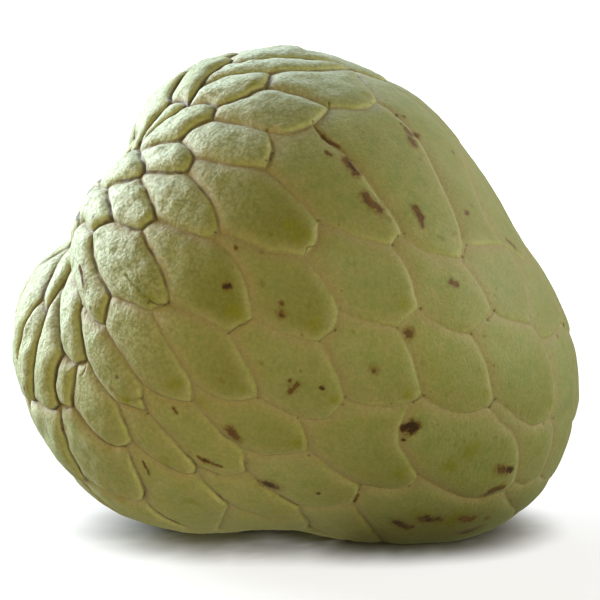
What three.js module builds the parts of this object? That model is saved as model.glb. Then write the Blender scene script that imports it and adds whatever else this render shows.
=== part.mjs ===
// Cherimoya (Annona cherimola): one whole fruit lying on its side.
// Millimetres, +Z up. The origin is on the resting plane, under the middle of the fruit's box, and +X is the
// fruit's long direction. The stem end is at -X, sunk in a shallow cavity between three shoulders, and the
// blossom end is low at +X. The skin is one continuous surface divided into fused, overlapping scales.
import * as THREE from 'three';

// ---- driving dimensions -------------------------------------------------------------------------------------
const CENTRE = [1.188, 0.176, 45.8];  // point inside the flesh that every radius is measured from
const GROOVE_STEM = 1.25;    // depth of the grooves between scales near the stem
const GROOVE_BODY = 0.45;    // and over the rest of the fruit
const PILLOW_STEM = 1.15;    // how far a scale swells above the body near the stem
const PILLOW_BODY = 0.55;    // and over the rest
const TIP_LIFT = 0.45;       // extra lift of a scale's far end, as a share of its swelling
const LONG_EDGE = 6.5;        // longest edge left across a long curved scale
const SHOULDER = 0.34;       // where the swelling starts, as a share of the way from the groove to the middle
const STEM = [-0.8264, 0.3983, 0.3983];       // direction of the stem scar from CENTRE
const BLOSSOM = [0.7427, 0.1004, -0.6624];    // direction of the blossom end
const KNOTS = 1200;          // directions of the body's radius table, spread evenly over the sphere
const BLEND = 0.085;         // width, in radians, over which neighbouring radii are blended
const FLESH = 0x8f8f55;      // dull sage green

// radius of the body at each knot, mm
const RADII = [
51.01,51.73,51.15,50.73,51.74,50.01,51.6,51.36,49.7,51.99,50.28,50.79,51.8,49.21,51.84,50.95,49.67,52.07,49.5,51.2,51.65,48.78,51.89,50.31,50.11,
52.11,48.75,51.58,51.19,48.92,52.25,49.55,50.65,51.88,48.25,51.86,50.63,49.41,52.48,48.73,51.14,51.55,48.39,52.22,49.88,50.11,52.26,48.12,51.61,50.93,
48.89,52.66,48.97,50.69,51.64,47.99,52.04,50.31,49.55,52.41,48.15,51.21,51.26,48.47,52.49,49.44,50.22,51.76,47.66,51.71,50.67,49.02,52.67,48.44,50.76,
51.33,47.97,52.15,49.94,49.75,51.67,47.57,51.32,50.97,48.54,52.4,48.93,50.36,51.22,47.41,51.92,50.37,49.21,52.15,47.89,50.91,51.16,47.91,52.18,49.53,
49.93,50.73,47.06,51.59,50.76,48.67,51.71,48.43,50.49,50.97,47.16,51.99,50.05,49.43,50.83,47.21,51.13,51.01,47.91,51.7,49.04,50.11,50.47,46.59,51.81,
50.49,48.91,50.22,47.86,50.69,51.01,46.98,51.88,49.69,49.69,49.77,46.58,51.49,50.85,48.14,51.47,48.57,50.28,50.71,46.09,51.95,50.22,49.2,48.4,47.13,
50.93,51.01,47.14,51.1,49.27,49.91,49.71,45.93,51.71,50.6,48.57,49.24,48.06,50.49,50.91,45.9,51.47,49.92,49.55,48.15,46.43,51.31,50.93,47.54,50.35,
48.9,50.13,50.47,45.3,51.93,50.4,49.03,45.87,47.35,50.78,51.07,46.22,50.57,49.64,49.85,49.58,45.67,51.65,50.79,48.13,46.99,48.44,50.37,50.93,45.07,
51.18,50.2,49.48,46.62,46.63,51.13,51.02,46.92,48.54,49.34,50.09,50.38,44.99,51.9,50.61,48.8,43.37,47.85,50.65,51.11,45.44,49.5,50,49.85,49.11,45.88,
51.54,50.93,47.67,43.64,48.97,50.32,50.96,44.72,51.23,50.46,49.39,46.74,47.11,50.97,51.12,46.25,43,49.79,50.14,50.38,45.06,51.89,50.79,48.51,41.5,
48.49,50.55,51.11,44.97,48.83,50.32,49.89,49.01,46.39,51.37,51.05,47.2,38.64,49.55,50.33,50.88,44.62,51.72,50.67,49.29,46.25,47.85,50.83,51.17,45.68,
43.53,50.21,50.25,50.21,45.48,51.82,50.94,48.11,44.18,49.23,50.53,51.11,44.7,49.34,50.59,49.96,49.13,47.07,51.21,51.14,46.71,33.37,50.14,50.44,50.65,
44.8,52.11,50.86,49.13,48.16,48.75,50.73,51.22,45.27,44.01,50.56,50.44,49.67,46.25,51.66,51.06,47.73,42.1,49.97,50.57,51.03,44.62,50.96,50.81,49.96,
49.68,48.04,51.04,51.23,46.21,39.74,50.6,50.66,50.31,45.36,52.15,51,48.89,49.81,49.64,50.7,51.24,44.98,46.17,50.84,50.56,49.09,47.24,51.45,51.18,
47.37,36.87,50.57,50.73,50.93,44.88,51.91,50.97,49.9,49.79,49.22,50.88,51.3,45.82,41.47,50.95,50.89,50.05,46.47,51.84,51.12,48.58,46.48,50.4,50.74,
51.25,44.94,49.83,51.01,50.61,49.67,48.49,51.17,51.3,47.04,35.2,51.05,50.96,50.73,45.8,52.39,51.08,49.79,46.16,50.14,50.79,51.37,45.62,42.04,51.16,
51.1,50.26,47.74,51.6,51.23,48.25,41.34,51.07,50.88,51.29,45.53,51.39,51.1,50.61,47.1,49.78,50.97,51.41,46.84,41.17,51.35,51.23,50.62,47.26,51.86,
51.17,49.6,44.39,50.96,50.78,51.48,45.95,46.33,51.25,51.29,48.35,49.14,51.2,51.37,48.04,38.16,51.6,51.09,51.28,47,51.89,51.16,50.59,46.09,50.75,50.79,
51.58,46.99,40.65,51.48,51.56,48.87,48.66,51.5,51.28,49.41,48.85,51.69,50.89,51.71,47.13,49.83,51.27,51.4,46.02,50.51,50.94,51.55,48.1,45.95,51.85,
51.39,51.33,48.6,51.65,51.23,50.5,52.28,51.62,50.72,51.79,47.78,44.45,51.5,51.81,46.52,50.18,51.18,51.43,49.36,52.27,52.14,51.08,51.77,48.79,50.09,
51.26,51.39,50.68,51.48,50.75,51.76,48.62,47.64,51.88,51.76,48.77,50.06,50.94,51.33,50.48,55.39,52.24,50.78,52.05,49.15,48.84,51.46,51.94,49.46,51.46,
50.83,51.64,49.65,53.47,52.32,51.36,51.39,50.23,50.76,51.29,51.32,56.89,52.24,50.62,52.03,49.6,49.83,51.79,52.05,48.6,51.55,50.96,51.48,50.64,56.6,
52.58,50.93,52.12,50.61,48.96,51.39,51.95,54.92,52.31,50.68,51.89,50.37,54.4,52.28,51.71,50.3,51.76,50.23,51.36,51.33,57.31,52.72,50.61,52.4,51.07,
50.95,51.65,52.2,54.47,52.65,50.66,51.7,51.09,56.4,52.69,51.17,51.53,52.11,49.87,51.35,51.92,57.01,52.93,50.5,52.17,51.53,54.44,52.08,51.98,51.55,
53.12,50.61,51.51,51.63,57.27,52.93,50.71,52.56,52.63,50.57,51.51,52.21,57.61,53.39,50.58,51.96,51.93,56.42,52.55,51.44,51.41,53.75,50.16,51.38,52,
57.71,53.21,50.45,52.53,53.11,53.72,51.81,52.13,55.45,54.08,50.51,51.71,52.17,57.5,52.92,50.86,52.44,54.29,50.62,51.39,52.2,58.21,53.8,50.38,52.3,
53.22,55.82,52.26,51.67,53.72,55.05,50.52,51.49,52.34,58.16,53.24,50.45,52.88,54.69,52.95,51.59,52.17,57.76,54.59,50.48,52,53.15,57.16,52.72,51.04,
52.99,55.91,51.03,51.38,52.34,58.65,53.83,50.29,52.68,54.71,55.18,51.91,51.82,56.79,55.88,50.58,51.67,52.93,58.01,53.11,50.54,53.14,56.42,52.39,51.42,
52.21,58.72,54.74,50.28,52.34,54.5,56.66,52.38,51.21,54.92,57.03,50.94,51.44,52.72,58.68,53.68,50.21,53.08,56.39,54.29,51.63,51.89,58.33,56.14,50.49,
51.95,54.04,57.67,52.83,50.63,53.63,57.94,52.16,51.33,52.4,59.1,54.63,50.16,52.77,55.92,55.85,51.95,51.35,56.85,57.58,50.9,51.57,53.37,58.52,53.4,
50.22,53.56,58.3,53.67,51.41,51.97,58.88,55.99,50.26,52.3,55.36,57.11,52.41,50.72,55.02,58.71,51.61,51.33,52.8,59.07,54.32,50.01,53.28,57.73,55.04,
51.6,51.43,57.83,57.68,50.6,51.79,54.5,58.06,52.95,50.25,54.29,59.53,52.87,51.21,52.21,59.08,55.6,50.07,52.68,56.83,56.35,51.96,50.82,56.59,58.99,
51.25,51.41,53.48,58.74,53.83,49.92,53.79,59.4,54.17,51.31,51.53,58.43,57.49,50.32,52.07,55.8,57.38,52.44,50.3,55.45,60.02,52.18,51.12,52.61,58.89,
55.04,49.85,53.14,58.56,55.53,51.55,50.91,57.53,59.09,50.78,51.54,54.61,58.17,53.17,49.87,54.38,60.38,53.27,51.02,51.78,58.55,56.99,50.02,52.41,57.27,
56.56,51.93,50.33,56.44,60.39,51.51,51.07,53.28,58.52,54.36,49.67,53.66,59.99,54.52,51.11,51.04,57.9,58.89,50.37,51.7,55.8,57.49,52.54,49.81,55.28,
61.06,52.47,50.79,52.19,58.41,56.14,49.68,52.8,58.83,55.62,51.38,50.34,56.96,60.63,50.91,51.04,54.34,58.03,53.56,49.51,54.28,61.12,53.52,50.69,51.24,
58,58.34,49.9,51.84,57.05,56.54,51.86,49.76,56.05,61.74,51.67,50.56,52.81,58.18,55.15,49.42,53.2,60.15,54.63,50.81,50.4,57.35,60.21,50.29,50.99,55.39,
57.29,52.72,49.39,54.88,62,52.55,50.32,51.6,57.99,57.36,49.51,52.04,58.44,55.45,51.16,49.74,56.48,61.84,50.88,50.32,53.71,57.65,54.11,49.21,53.59,
61.2,53.52,50.28,50.57,57.57,59.34,49.76,50.96,56.39,56.26,51.86,49.29,55.38,62.34,51.62,49.91,52.14,57.67,56.08,49.16,52.23,59.6,54.37,50.51,49.8,
56.72,60.98,50.17,50.06,54.67,56.82,53.04,49,53.92,61.68,52.4,49.67,50.89,57.43,58.25,49.29,50.96,57.43,55.02,51.09,49.23,55.64,61.79,50.71,49.34,
52.81,56.95,54.67,48.82,52.34,60.16,53.23,49.69,49.95,56.7,59.72,49.58,49.8,55.45,55.59,52.06,48.78,54.09,61.35,51.27,48.85,51.25,56.73,56.65,48.78,
50.92,58.04,53.82,50.15,49.22,55.49,60.42,49.96,48.68,53.48,55.69,53.3,48.51,52.19,59.82,51.84,48.68,50.2,56.01,58.19,48.92,49.5,55.88,54.15,50.99,
48.62,53.83,60.02,50.33,47.96,51.57,55.35,54.66,48.34,50.66,57.76,52.37,48.94,49.25,54.78,58.7,49.14,48.07,53.75,54.11,52.04,48.21,51.79,58.59,50.58,
47.54,50.31,54.58,55.87,48.31,48.97,55.69,52.61,49.56,48.48,53.05,58.21,49.35,47.01,51.65,53.67,52.98,47.93,50.13,56.75,50.79,47.58,49.16,53.37,56.28,
48.32,47.29,53.37,52.41,50.43,47.95,51,56.8,49.45,46.34,50.18,52.77,53.49,47.79,48.28,54.55,50.73,48.06,48.28,51.47,55.47,48.35,46.06,51.16,51.65,
51.14,47.6,49.24,54.62,49.35,46.27,48.96,51.19,53.12,47.69,46.49,51.96,50.19,48.77,47.69,49.51,53.58,48.31,45.46,49.62,50.3,51.08,47.37,47.34,52.01,
48.91,46.61,48,49.25,51.81,47.51,45.38,49.84,49.1,48.73,47.27,47.61,51.13,47.9,45.28,48.23,48.48,49.72,47.05,45.8,49.47,47.91,46.45,47.21,47.15,49.33,
47.08,45.05,47.96,47.43,47.44,46.77,45.8,48.15,46.86,45.43,46.95,46.34,47.22,46.41,45.28,46.94,46.22,45.87,46.19,45.63,45.99,
];
// where three or more scales meet: longitude and latitude in 1e-4 radian
const CORNERS = [
[26054,10978],[25801,-4712],[-11527,-2041],[4189,-4658],[25050,4249],[13483,-4661],[-30983,11538],[-11301,1369],[10588,-8386],[-24215,6217],
[19151,-10],[-30650,-10833],[18188,2704],[27991,1176],[-13047,-7109],[18466,5413],[14860,-2748],[-27846,-15307],[-4260,-12699],[27679,-2528],
[-25273,10846],[-2087,-778],[18376,-306],[27957,10207],[-28232,-2871],[-29940,-1879],[29607,4920],[-1109,-6319],[16432,10560],[28310,5578],
[16898,-9638],[25462,8450],[24267,-11750],[-21419,6597],[-25535,984],[-28814,-5673],[-19791,-1295],[-10489,-5319],[28961,8260],[26631,6327],
[28994,2178],[14361,-1639],[24144,817],[20731,12134],[26186,2967],[23939,-5159],[11729,-1270],[-28541,2894],[14076,1981],[2778,-10399],[13181,1690],
[26903,-2196],[27859,8990],[-4504,-3271],[7339,-1659],[10333,5933],[31342,-7251],[27009,6919],[24237,5804],[23389,1459],[4300,-2452],[27275,3972],
[9779,9199],[-20337,-5262],[24573,9612],[-13813,-11586],[18229,15087],[1188,-10004],[15511,6841],[-19279,4090],[-3829,13379],[-14288,1475],
[4504,-8845],[-8560,3555],[21292,1885],[1813,-7234],[3707,-5047],[-8404,-10854],[-29616,-9373],[25641,-384],[-27086,-5889],[-8749,10727],
[-23602,1505],[28726,-1769],[17292,-2541],[25082,5725],[15322,-6218],[-22992,8046],[29649,-7134],[17640,6734],[-1224,12237],[30996,6210],[26750,1960],
[14036,-11877],[27442,3],[-26516,-2879],[-22105,4578],[-5476,-5658],[9940,-11744],[28063,2815],[19783,-6469],[-25385,-1292],[-20145,-4965],
[-19816,-2092],[29268,-2026],[12032,4816],[1739,-7452],[-875,-10307],[25087,-906],[23603,-3125],[-25705,-2906],[19721,5281],[-22722,4117],
[17233,-5578],[30876,1495],[-3876,13894],[7801,2644],[-29907,-2741],[-12194,765],[-1560,-14129],[-12954,-5862],[6741,-4595],[-29461,-2979],
[-22783,-3953],[16781,9449],[10357,-3779],[-2453,2711],[28519,-10494],[4322,9285],[27988,-4603],[4425,1951],[-26694,5507],[-9233,308],[1997,5217],
[25631,6428],[2723,247],[27221,5191],[21268,-3577],[-9031,3059],[-25906,3680],[25449,2889],[-30906,2556],[13800,-8197],[20716,-5902],[-21789,-2626],
[-8166,-2523],[25123,1340],[-15543,3441],[9502,-6911],[-1858,8488],[-9836,-11605],[-30475,12864],[7323,-4060],[9614,1882],[-13601,10199],
[18780,-9009],[-15019,355],[460,3444],[-14068,-1860],[-1658,3697],[31118,7667],[11680,7954],[20831,-809],[12131,10996],[15427,3975],[-17544,8672],
[22914,7059],[30556,-740],[-29568,4746],[27601,2025],[22304,-12765],[29783,-4078],[25751,4795],[-7934,-2276],[26471,1281],[6011,-1229],[-24663,9828],
[-28495,3666],[-26920,9818],[11302,-4992],[-21519,1184],[3447,-6532],[6618,-6616],[25784,887],[-2109,-9348],[25576,11725],[-26916,12562],
[-14863,9215],[-1143,-6925],[-15639,-7590],[-11135,-1764],[145,-5695],[-2657,7777],[-31184,-2881],[22258,1030],[30499,6825],[14058,5266],[1140,666],
[-20771,1529],[-21903,-1540],[26981,4739],[22180,3125],[660,-3002],[-22875,-10517],[-3922,-9179],[-19263,12480],[23313,-5987],[9,-906],[2009,-4909],
[28234,-8306],[23907,-309],[-24147,6471],[-18929,11321],[-21407,-11989],[26695,-5405],[29293,13277],[16455,803],[-17348,6929],[-12055,3741],
[31072,-4237],[-30721,-5827],[-31129,-204],[-21399,7314],[5160,-12072],[20435,3925],[24189,4281],[30555,8629],[28768,6593],[25004,-2042],
[-28046,-6220],[20113,1621],[22230,9720],[-24759,4297],[18137,-3428],[-17445,1148],[-26035,7417],[-23777,363],[30496,-1404],[-21471,9166],
[-24746,-1010],[28508,-852],[14799,13551],[23321,5039],[26465,-7522],[-1837,-3529],[-29305,616],[27929,3634],[24717,7621],[21604,-426],[-5015,-468],
[-23149,-2420],[19908,11187],[-26640,7615],[22978,-1018],[20093,-2817],[29639,2262],[29799,3360],[28440,6995],[-28232,7713],[-5483,3239],[11138,2697],
[-5586,106],[-15714,-2591],[21784,9027],[-25454,-13347],[5676,-7071],[-18293,618],[-3066,-7456],[6325,5970],[29284,392],[-1866,-536],[16195,724],
[4277,4532],[1122,-7683],[-5125,3047],[-405,-4122],[-3789,-5477],[-29211,6126],[26874,-731],[19477,7698],[23345,7672],[30438,1563],[1814,7675],
[16944,4140],[21411,6758],[31187,3329],[29685,314],[8380,-9527],[1014,-5992],[-2383,-5523],[-26353,-1002],[21302,5992],[-23265,-4174],[-15371,-4065],
[6938,8448],[-19524,-7434],[-28407,182],[29046,3913],[-28215,2109],[-19081,4329],[-31372,4427],[-27518,-8837],[-28989,5926],[23880,-8304],
[-18010,-4058],[14392,8105],[22742,-2783],[30889,10796],[28952,-4922],[22891,5029],[-14910,4758],[-24489,-9876],[-28437,1985],[-5738,-6045],
[30364,5097],[9152,-397],[21558,3876],[5007,-8744],[-22005,9918],[8316,5158],[23052,-9174],[-11476,4121],[23236,3176],[-5,-7611],[-23975,-6862],
[19097,2776],[28822,1049],[6031,1381],[9741,12504],[26471,8251],[23841,2540],[-8008,1009],[19449,8588],[4921,11780],[26101,-2749],[2954,-1990],
[-17996,-5182],[-15704,-8296],[1628,-3332],[-17290,-1771],
];
// each seam: the scale on its left, the scale on its right, its two corners, then the points between them
const SEAMS = [
[171,175,75,106],[16,19,298,312],[0,82,277,302],[0,4,9,211],[127,123,216,271],[52,166,21,270],[4,28,69,299],[171,160,72,317],[47,51,145,173],
[12,24,63,102],[18,119,117,122],[90,83,242,309],[54,49,259,274],[84,67,114,281],[72,94,269,286],[0,31,235,252],[38,116,70,115],[65,78,227,257],
[44,46,2,190],[55,46,97,313],[60,63,136,200],[167,175,106,273],[22,11,123,292],[165,163,3,76],[94,102,83,104],[175,55,27,188],[59,72,40,255],
[68,65,39,57],[99,94,167,237],[14,15,110,95],[70,62,26,314],[42,48,218,321],[74,66,44,140],[93,76,166,280],[60,61,61,246],[49,41,73,138],
[80,68,31,329],[16,11,101,239],[76,71,58,85],[57,24,189,337],[1,29,33,222],[70,89,91,195],[69,74,92,174],[21,126,35,229],[33,91,6,307],
[87,101,231,263],[5,2,96,112],[161,158,121,152],[97,92,79,108],[83,106,284,291],[96,91,0,185],[79,71,4,225],[172,175,191,288],[81,74,174,183],
[74,92,146,183],[50,52,249,261],[77,72,269,326],[26,8,36,103],[147,40,149,192],[63,68,39,134],[66,60,61,200],[173,175,273,323],[110,88,19,51],
[31,36,238,318],[120,115,10,22],[61,59,99,246],[76,63,85,134],[64,77,13,326],[61,69,92,169],[71,66,4,172],[6,9,180,198],[18,99,25,117],
[162,165,182,265],[75,7,47,177],[108,112,162,248],[79,95,322,330],[88,81,94,278],[111,115,12,325],[124,105,109,306],[113,93,279,332],[59,62,256,297],
[102,122,129,308],[164,167,49,67],[64,61,99,169],[134,130,48,50],[91,39,151,215],[89,78,160,195],[69,64,13,169],[88,94,83,240],[131,136,100,143],
[103,90,201,316],[110,97,51,334],[169,57,77,150],[68,87,31,247],[159,172,202,338],[129,124,45,206],[100,86,42,59],[76,87,247,280],[67,75,141,285],
[96,109,43,251],[90,95,201,322],[27,5,234,266],[7,19,47,298],[35,34,20,176],[60,65,29,136],[141,136,303,320],[15,16,101,290],[73,85,38,52],
[98,103,224,316],[110,129,1,214],[67,72,255,281],[23,21,80,229],[60,59,246,297],[65,70,29,227],[47,43,7,118],[90,71,225,242],[175,174,188,323],
[106,111,15,111],[138,22,203,311],[71,83,58,242],[63,71,85,172],[73,65,57,257],[63,66,172,200],[39,34,151,186],[64,59,40,99],[86,92,42,146],
[59,67,255,256],[10,13,144,199],[101,121,28,124],[164,173,67,107],[114,102,171,308],[62,75,285,300],[62,60,26,297],[97,105,108,228],[25,13,304,336],
[72,64,40,326],[61,74,44,92],[92,100,42,210],[73,80,52,329],[105,100,210,253],[95,86,59,330],[8,7,82,236],[169,173,107,184],[62,82,300,314],
[19,18,245,296],[107,114,171,219],[108,103,74,230],[83,93,166,284],[120,139,84,233],[100,95,59,194],[37,35,205,212],[54,154,126,159],[145,148,32,170],
[91,80,0,23],[146,127,16,41],[85,80,23,52],[55,170,27,289],[85,78,38,226],[116,40,70,90,-2245,12836],[77,69,13,94],[82,70,91,314],[41,36,154,187],
[65,63,39,136],[170,175,27,191],[169,174,184,204],[34,32,178,176],[78,33,160,226],[88,102,19,83],[21,18,24,122],[97,117,228,334],[3,6,139,232],
[92,81,79,183],[82,3,168,302],[81,97,79,278,26218,-712],[133,114,56,88,30466,-7391],[95,108,74,194,21674,1341],[143,148,30,155],[119,99,117,193],
[87,80,31,64],[25,56,14,120],[60,70,26,29,29051,5370],[62,67,256,285],[77,88,94,240,27888,-526],[78,73,38,257],[105,92,108,210,24401,-790],
[87,96,64,231,23423,9800],[131,112,137,254,20575,-3335],[53,55,276,289],[94,107,104,237,29970,-1875],[94,84,167,286,30109,-222],
[70,78,195,227,29613,6787],[168,172,208,288,1619,-5516],[76,68,134,247,25202,7032],[161,149,54,175,6620,-1603],[66,79,4,140,25096,3531],
[68,73,57,329,26744,7584],[122,110,129,214,27439,-5111],[163,156,60,335,3569,-2382],[12,10,144,250,-22467,-2494],[30,1,87,222,-22094,7777],
[175,168,75,288,1261,-6671],[118,123,164,283,16183,4067],[84,99,167,221,31218,-661],[79,90,225,322,23639,3780],[91,34,6,151,-30803,12203],
[3,75,168,177,-29002,4226],[44,28,71,156,-14475,797],[126,138,78,301,-28406,-9308],[66,61,44,61,26701,3493],[48,50,132,331,-8581,588],
[168,171,75,181,2638,-6878],[84,72,281,286,30201,850],[119,107,193,219,-31357,-3601],[97,88,51,278,26903,-1463],[77,94,240,269,29021,-307],
[141,122,209,243,27163,-8098],[146,158,125,179,10633,-4506],[35,31,176,318,-23358,10064],[118,106,15,89,17840,5978],[100,112,248,253,22223,-875],
[98,111,111,224,19901,4526],[172,166,202,275,269,-3676],[168,163,76,208,2831,-5178],[165,168,76,181,3421,-5770],[125,113,68,305,14800,7388],
[103,95,74,201,21687,2535],[29,43,147,310,-15071,4031],[106,98,111,291,20465,5696],[115,103,230,325,19462,2082],[58,138,203,213,-22248,-11262],
[33,0,258,252,-27503,7207],[164,157,18,119,-2800,-13383],[69,81,174,94,26908,605],[174,55,188,267,-2064,-7251],[93,101,263,332,20544,8926],
[114,126,56,220,-30944,-6591],[133,122,88,209,29110,-7807],[152,155,93,98,11953,-11891],[67,20,114,141,31344,2093],[133,138,11,78,-29889,-10145],
[74,86,140,146,25283,2115],[166,170,244,275,-1165,-3923],[57,157,65,150,-11829,-11673],[80,96,0,64,25062,10354],[45,26,262,293,-15484,-3314],
[86,79,140,330,24639,2731],[31,30,87,238,-22462,8730],[11,12,123,250,-22972,-3187],[100,108,194,248,21881,324],[112,124,137,306,22038,-3227],
[75,82,168,300,-30480,4617],[104,116,66,241,14055,14361],[172,163,208,338,1746,-4135],[159,151,135,197,1881,252],[83,76,58,166,23613,6447],
[170,172,191,275,-134,-4907],[113,118,68,89,16580,6811],[83,98,291,309,22101,5503],[90,98,309,316,22143,4521],[109,116,241,328,11638,13147],
[162,150,8,148,9733,-7757],[91,85,23,307,29236,10680],[51,55,97,276,-4598,-5801],[11,15,101,110,-25625,-2080],[113,106,89,279,18438,7320],
[144,156,130,327,5161,1483],[137,142,153,260,10372,2290],[129,117,1,45,24932,-5131],[126,119,35,220,-29742,-5959],[103,111,224,325,19727,3384],
[87,93,263,280,22630,8368],[139,143,86,113,16296,-5914],[109,101,28,251,17978,11032],[93,106,279,284,20491,7259],[105,117,109,228,24354,-2640],
[162,171,265,317,5070,-7852],[26,27,262,339,-16526,-2220],[121,132,62,161,10572,8448],[128,109,163,328,10665,11653],[0,89,258,277,-28671,6895],
[130,118,164,196,14608,4499],[0,1,211,235,-25019,6999],[105,112,253,306,22822,-1895],[155,162,8,287,9425,-8884],[152,160,98,223,7585,-11878],
[145,133,11,127,30218,-10919],[128,116,328,333,7111,12222],[165,171,181,265,4493,-6939],[42,30,165,217,-17197,7814],[104,96,43,185,23358,12141],
[56,174,204,267,-3448,-8323],[157,138,213,264,-22312,-12872],[125,130,105,196,13032,5066],[119,114,219,220,-31264,-5038],[125,137,55,105,11056,5220],
[167,160,49,72,3374,-9509],[128,140,128,294,5538,8713],[163,159,335,338,2370,-2728],[123,111,12,283,17414,3301],[111,118,15,283,17627,4837],
[107,99,193,237,31065,-2144],[108,120,10,162,19901,-595],[101,113,124,332,18175,9046],[36,42,165,187,-16156,8781],[101,96,231,251,21260,10499],
[132,144,268,319,7230,5379],[137,132,55,319,9314,5541],[121,125,161,305,13025,8072],[6,2,112,232,-23744,4159],[115,108,10,230,19564,844],
[137,149,116,153,8629,2082],[7,10,34,236,-24685,588],[159,154,197,207,645,-171],[157,152,17,119,-2950,-15088],[17,21,24,95,-27362,-3125],
[132,128,62,294,8305,8857],[160,164,49,223,3700,-11277],[120,131,233,254,19139,-3178],[150,146,5,179,12410,-4889],[104,91,185,215,26694,12613],
[145,157,17,264,-24845,-14337],[118,125,68,196,14633,6134],[141,129,243,303,25326,-8127],[99,20,25,221,-30525,-1032],[166,154,207,270,-981,-957],
[117,110,1,334,25943,-3728],[34,38,20,186,-26280,11664],[45,27,158,262,-14706,-2611],[20,84,114,221,31294,647],[23,138,301,311,-26102,-9402],
[13,24,102,336,-19116,-5384],[57,25,14,189,-14291,-7456],[158,165,121,182,6412,-5594],[113,121,124,305,15374,8891],[154,147,157,159,-626,3318],
[124,117,45,109,23642,-4161],[121,109,28,163,14374,10881],[156,161,60,175,5207,-1904],[102,110,19,129,27845,-3564],[6,8,82,180,-22554,1370],
[107,102,104,171,29520,-3052],[2,3,131,232,-25669,4945],[122,129,214,243,26579,-6463],[140,151,133,272,2677,4786,3460,4563],
[112,120,162,254,20443,-1807],[109,104,43,241,18448,12940],[149,144,116,327,6897,2030],[124,136,143,206,21542,-6189,22451,-6208],
[89,82,91,277,-30521,6173],[10,11,239,250,-24007,-1774],[17,15,95,290,-26714,-1919],[150,155,8,142,12211,-8360],[128,121,62,163,10619,10186],
[36,35,212,318,-20320,10488],[13,8,103,199,-20909,-1989],[166,159,202,207,309,-1961],[141,133,127,209,28345,-9401],[149,153,54,315,8247,-1027],
[160,162,287,317,6591,-9227],[85,33,226,307,30805,9707],[163,161,3,60,4116,-3919,4145,-3179],[139,150,5,86,13852,-5351,14481,-5895],
[10,16,34,239,-25246,-52],[4,1,33,211,-22784,6517],[19,17,296,312,-28473,1089],[127,115,22,216,17640,-109,16974,253],
[39,104,66,215,25899,14658,28332,13992],[116,39,66,115,2766,15274,-2775,14627],[3,0,131,302,-27925,5442],[174,173,184,323,-1247,-8830,-543,-8249],
[142,130,50,260,12433,1881,11739,2211],[141,145,32,127,26099,-11537,27537,-11092],[156,159,135,335,2723,-505,2810,-1252],
[151,147,133,157,1541,4577,1029,3982],[43,44,71,118,-13266,1043],[2,0,9,131,-25512,5948],[162,158,148,182,8517,-6933,7543,-6842],
[157,169,18,150,-6221,-12276,-8043,-11898],[132,125,55,161,10627,6654,11080,7330],[130,137,105,260,11632,4145,11355,3428],
[144,140,268,272,5635,5477,4933,5020],[143,131,100,113,18811,-6398,17925,-6101],[143,150,86,142,14772,-6846,14251,-7502],
[122,114,88,308,29392,-6399,29174,-5659],[161,165,3,121,5036,-4809,5901,-4773],[139,131,113,233,17434,-4827,17770,-4118],
[146,139,5,16,13957,-4025,14402,-3380],[140,135,128,282,3417,8759,2567,8234],[1,31,87,235,-24055,7904,-25059,7663],
[173,167,67,273,1190,-9230,1174,-8456],[24,22,63,295,-20055,-5979,-19728,-6696],[142,149,153,315,9347,1148,9200,382],
[160,155,98,287,8826,-11090,8348,-10324],[116,135,90,333,843,11980,2888,11844],[167,171,72,106,3517,-8398,2591,-7936],
[127,139,16,84,15679,-2812,16494,-2717],[49,48,138,331,-8565,2435,-8202,1751],[129,136,206,303,23293,-6783,23461,-7570],
[28,43,71,147,-14607,2176,-15027,2839],[130,123,48,164,14445,2688,14907,3348],[124,131,137,143,21014,-4340,20790,-5113],
[48,47,7,132,-10690,870,-9995,498],[156,151,130,135,3892,1346,3332,769],[153,161,54,152,7125,-2448,7121,-3264],
[155,143,30,142,15549,-9387,14491,-8883],[158,150,148,179,10037,-6216,10630,-5566],[123,134,48,271,14696,1421,15407,991],
[147,140,133,282,1911,6035,1848,6854],[126,133,56,78,-30938,-7969,-30341,-8685],[44,27,156,158,-14618,-346,-14266,-1073],
[19,75,47,141,-29335,2789,-30125,2678],[120,127,22,84,17950,-1017,17580,-1761],[4,2,9,96,-23397,5767,-22699,5204],
[135,128,128,333,4301,10125,4498,10959],[140,132,268,294,6392,6811,6582,7642],[25,26,293,304,-16253,-4224,-17149,-4291],
[115,123,12,216,17574,2096,16992,1466],[30,36,165,238,-18776,8961,-20104,9116],[144,137,116,319,7848,3502,8006,4344],
[43,48,7,218,-11391,2205,-11602,3019],[31,32,176,252,-25377,9097,-26211,8429],[164,152,119,223,1200,-13411,3265,-12708],
[151,144,130,272,4235,2795,4200,3664],[27,28,156,234,-15857,501,-16659,801],[146,134,41,46,13463,-1680,12575,-1560],
[148,155,30,93,15924,-10341,14938,-11081],[45,44,2,158,-12377,-2203,-13235,-2097],[53,51,53,276,-3985,-3896,-3788,-4673],
[156,149,175,327,5893,-360,5893,516],[170,53,244,289,-2271,-4488],[136,148,155,320,20093,-9415,21616,-9443],
[23,126,229,301,-27893,-7093,-27711,-7965],[48,41,138,321,-9917,3267,-10769,3551],[136,143,100,155,19409,-7303,19057,-8146],
[148,141,32,320,23354,-10946,23007,-10069],[50,49,261,331,-6415,356,-7249,594],[26,13,103,304,-19256,-2771,-18664,-3434],
[5,9,198,266,-19930,1265,-19098,973],[56,45,37,120,-10896,-6019,-11931,-6051],[41,37,81,154,-10291,10311,-11935,10205],
[5,4,69,96,-20219,4156,-21155,4378],[153,142,46,315,10795,-1214,9905,-939],[27,9,266,339,-17870,-156,-17455,-928],
[10,8,199,236,-22507,-880,-23140,-256],[22,12,63,123,-21313,-5112,-22142,-4615],[135,147,149,282,-704,8006,535,7742],
[9,26,36,339,-19036,-1766,-18165,-1961],[169,164,18,107,-2690,-11950,-1638,-11143],[56,55,267,313,-3925,-6928,-4902,-6565],
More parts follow.
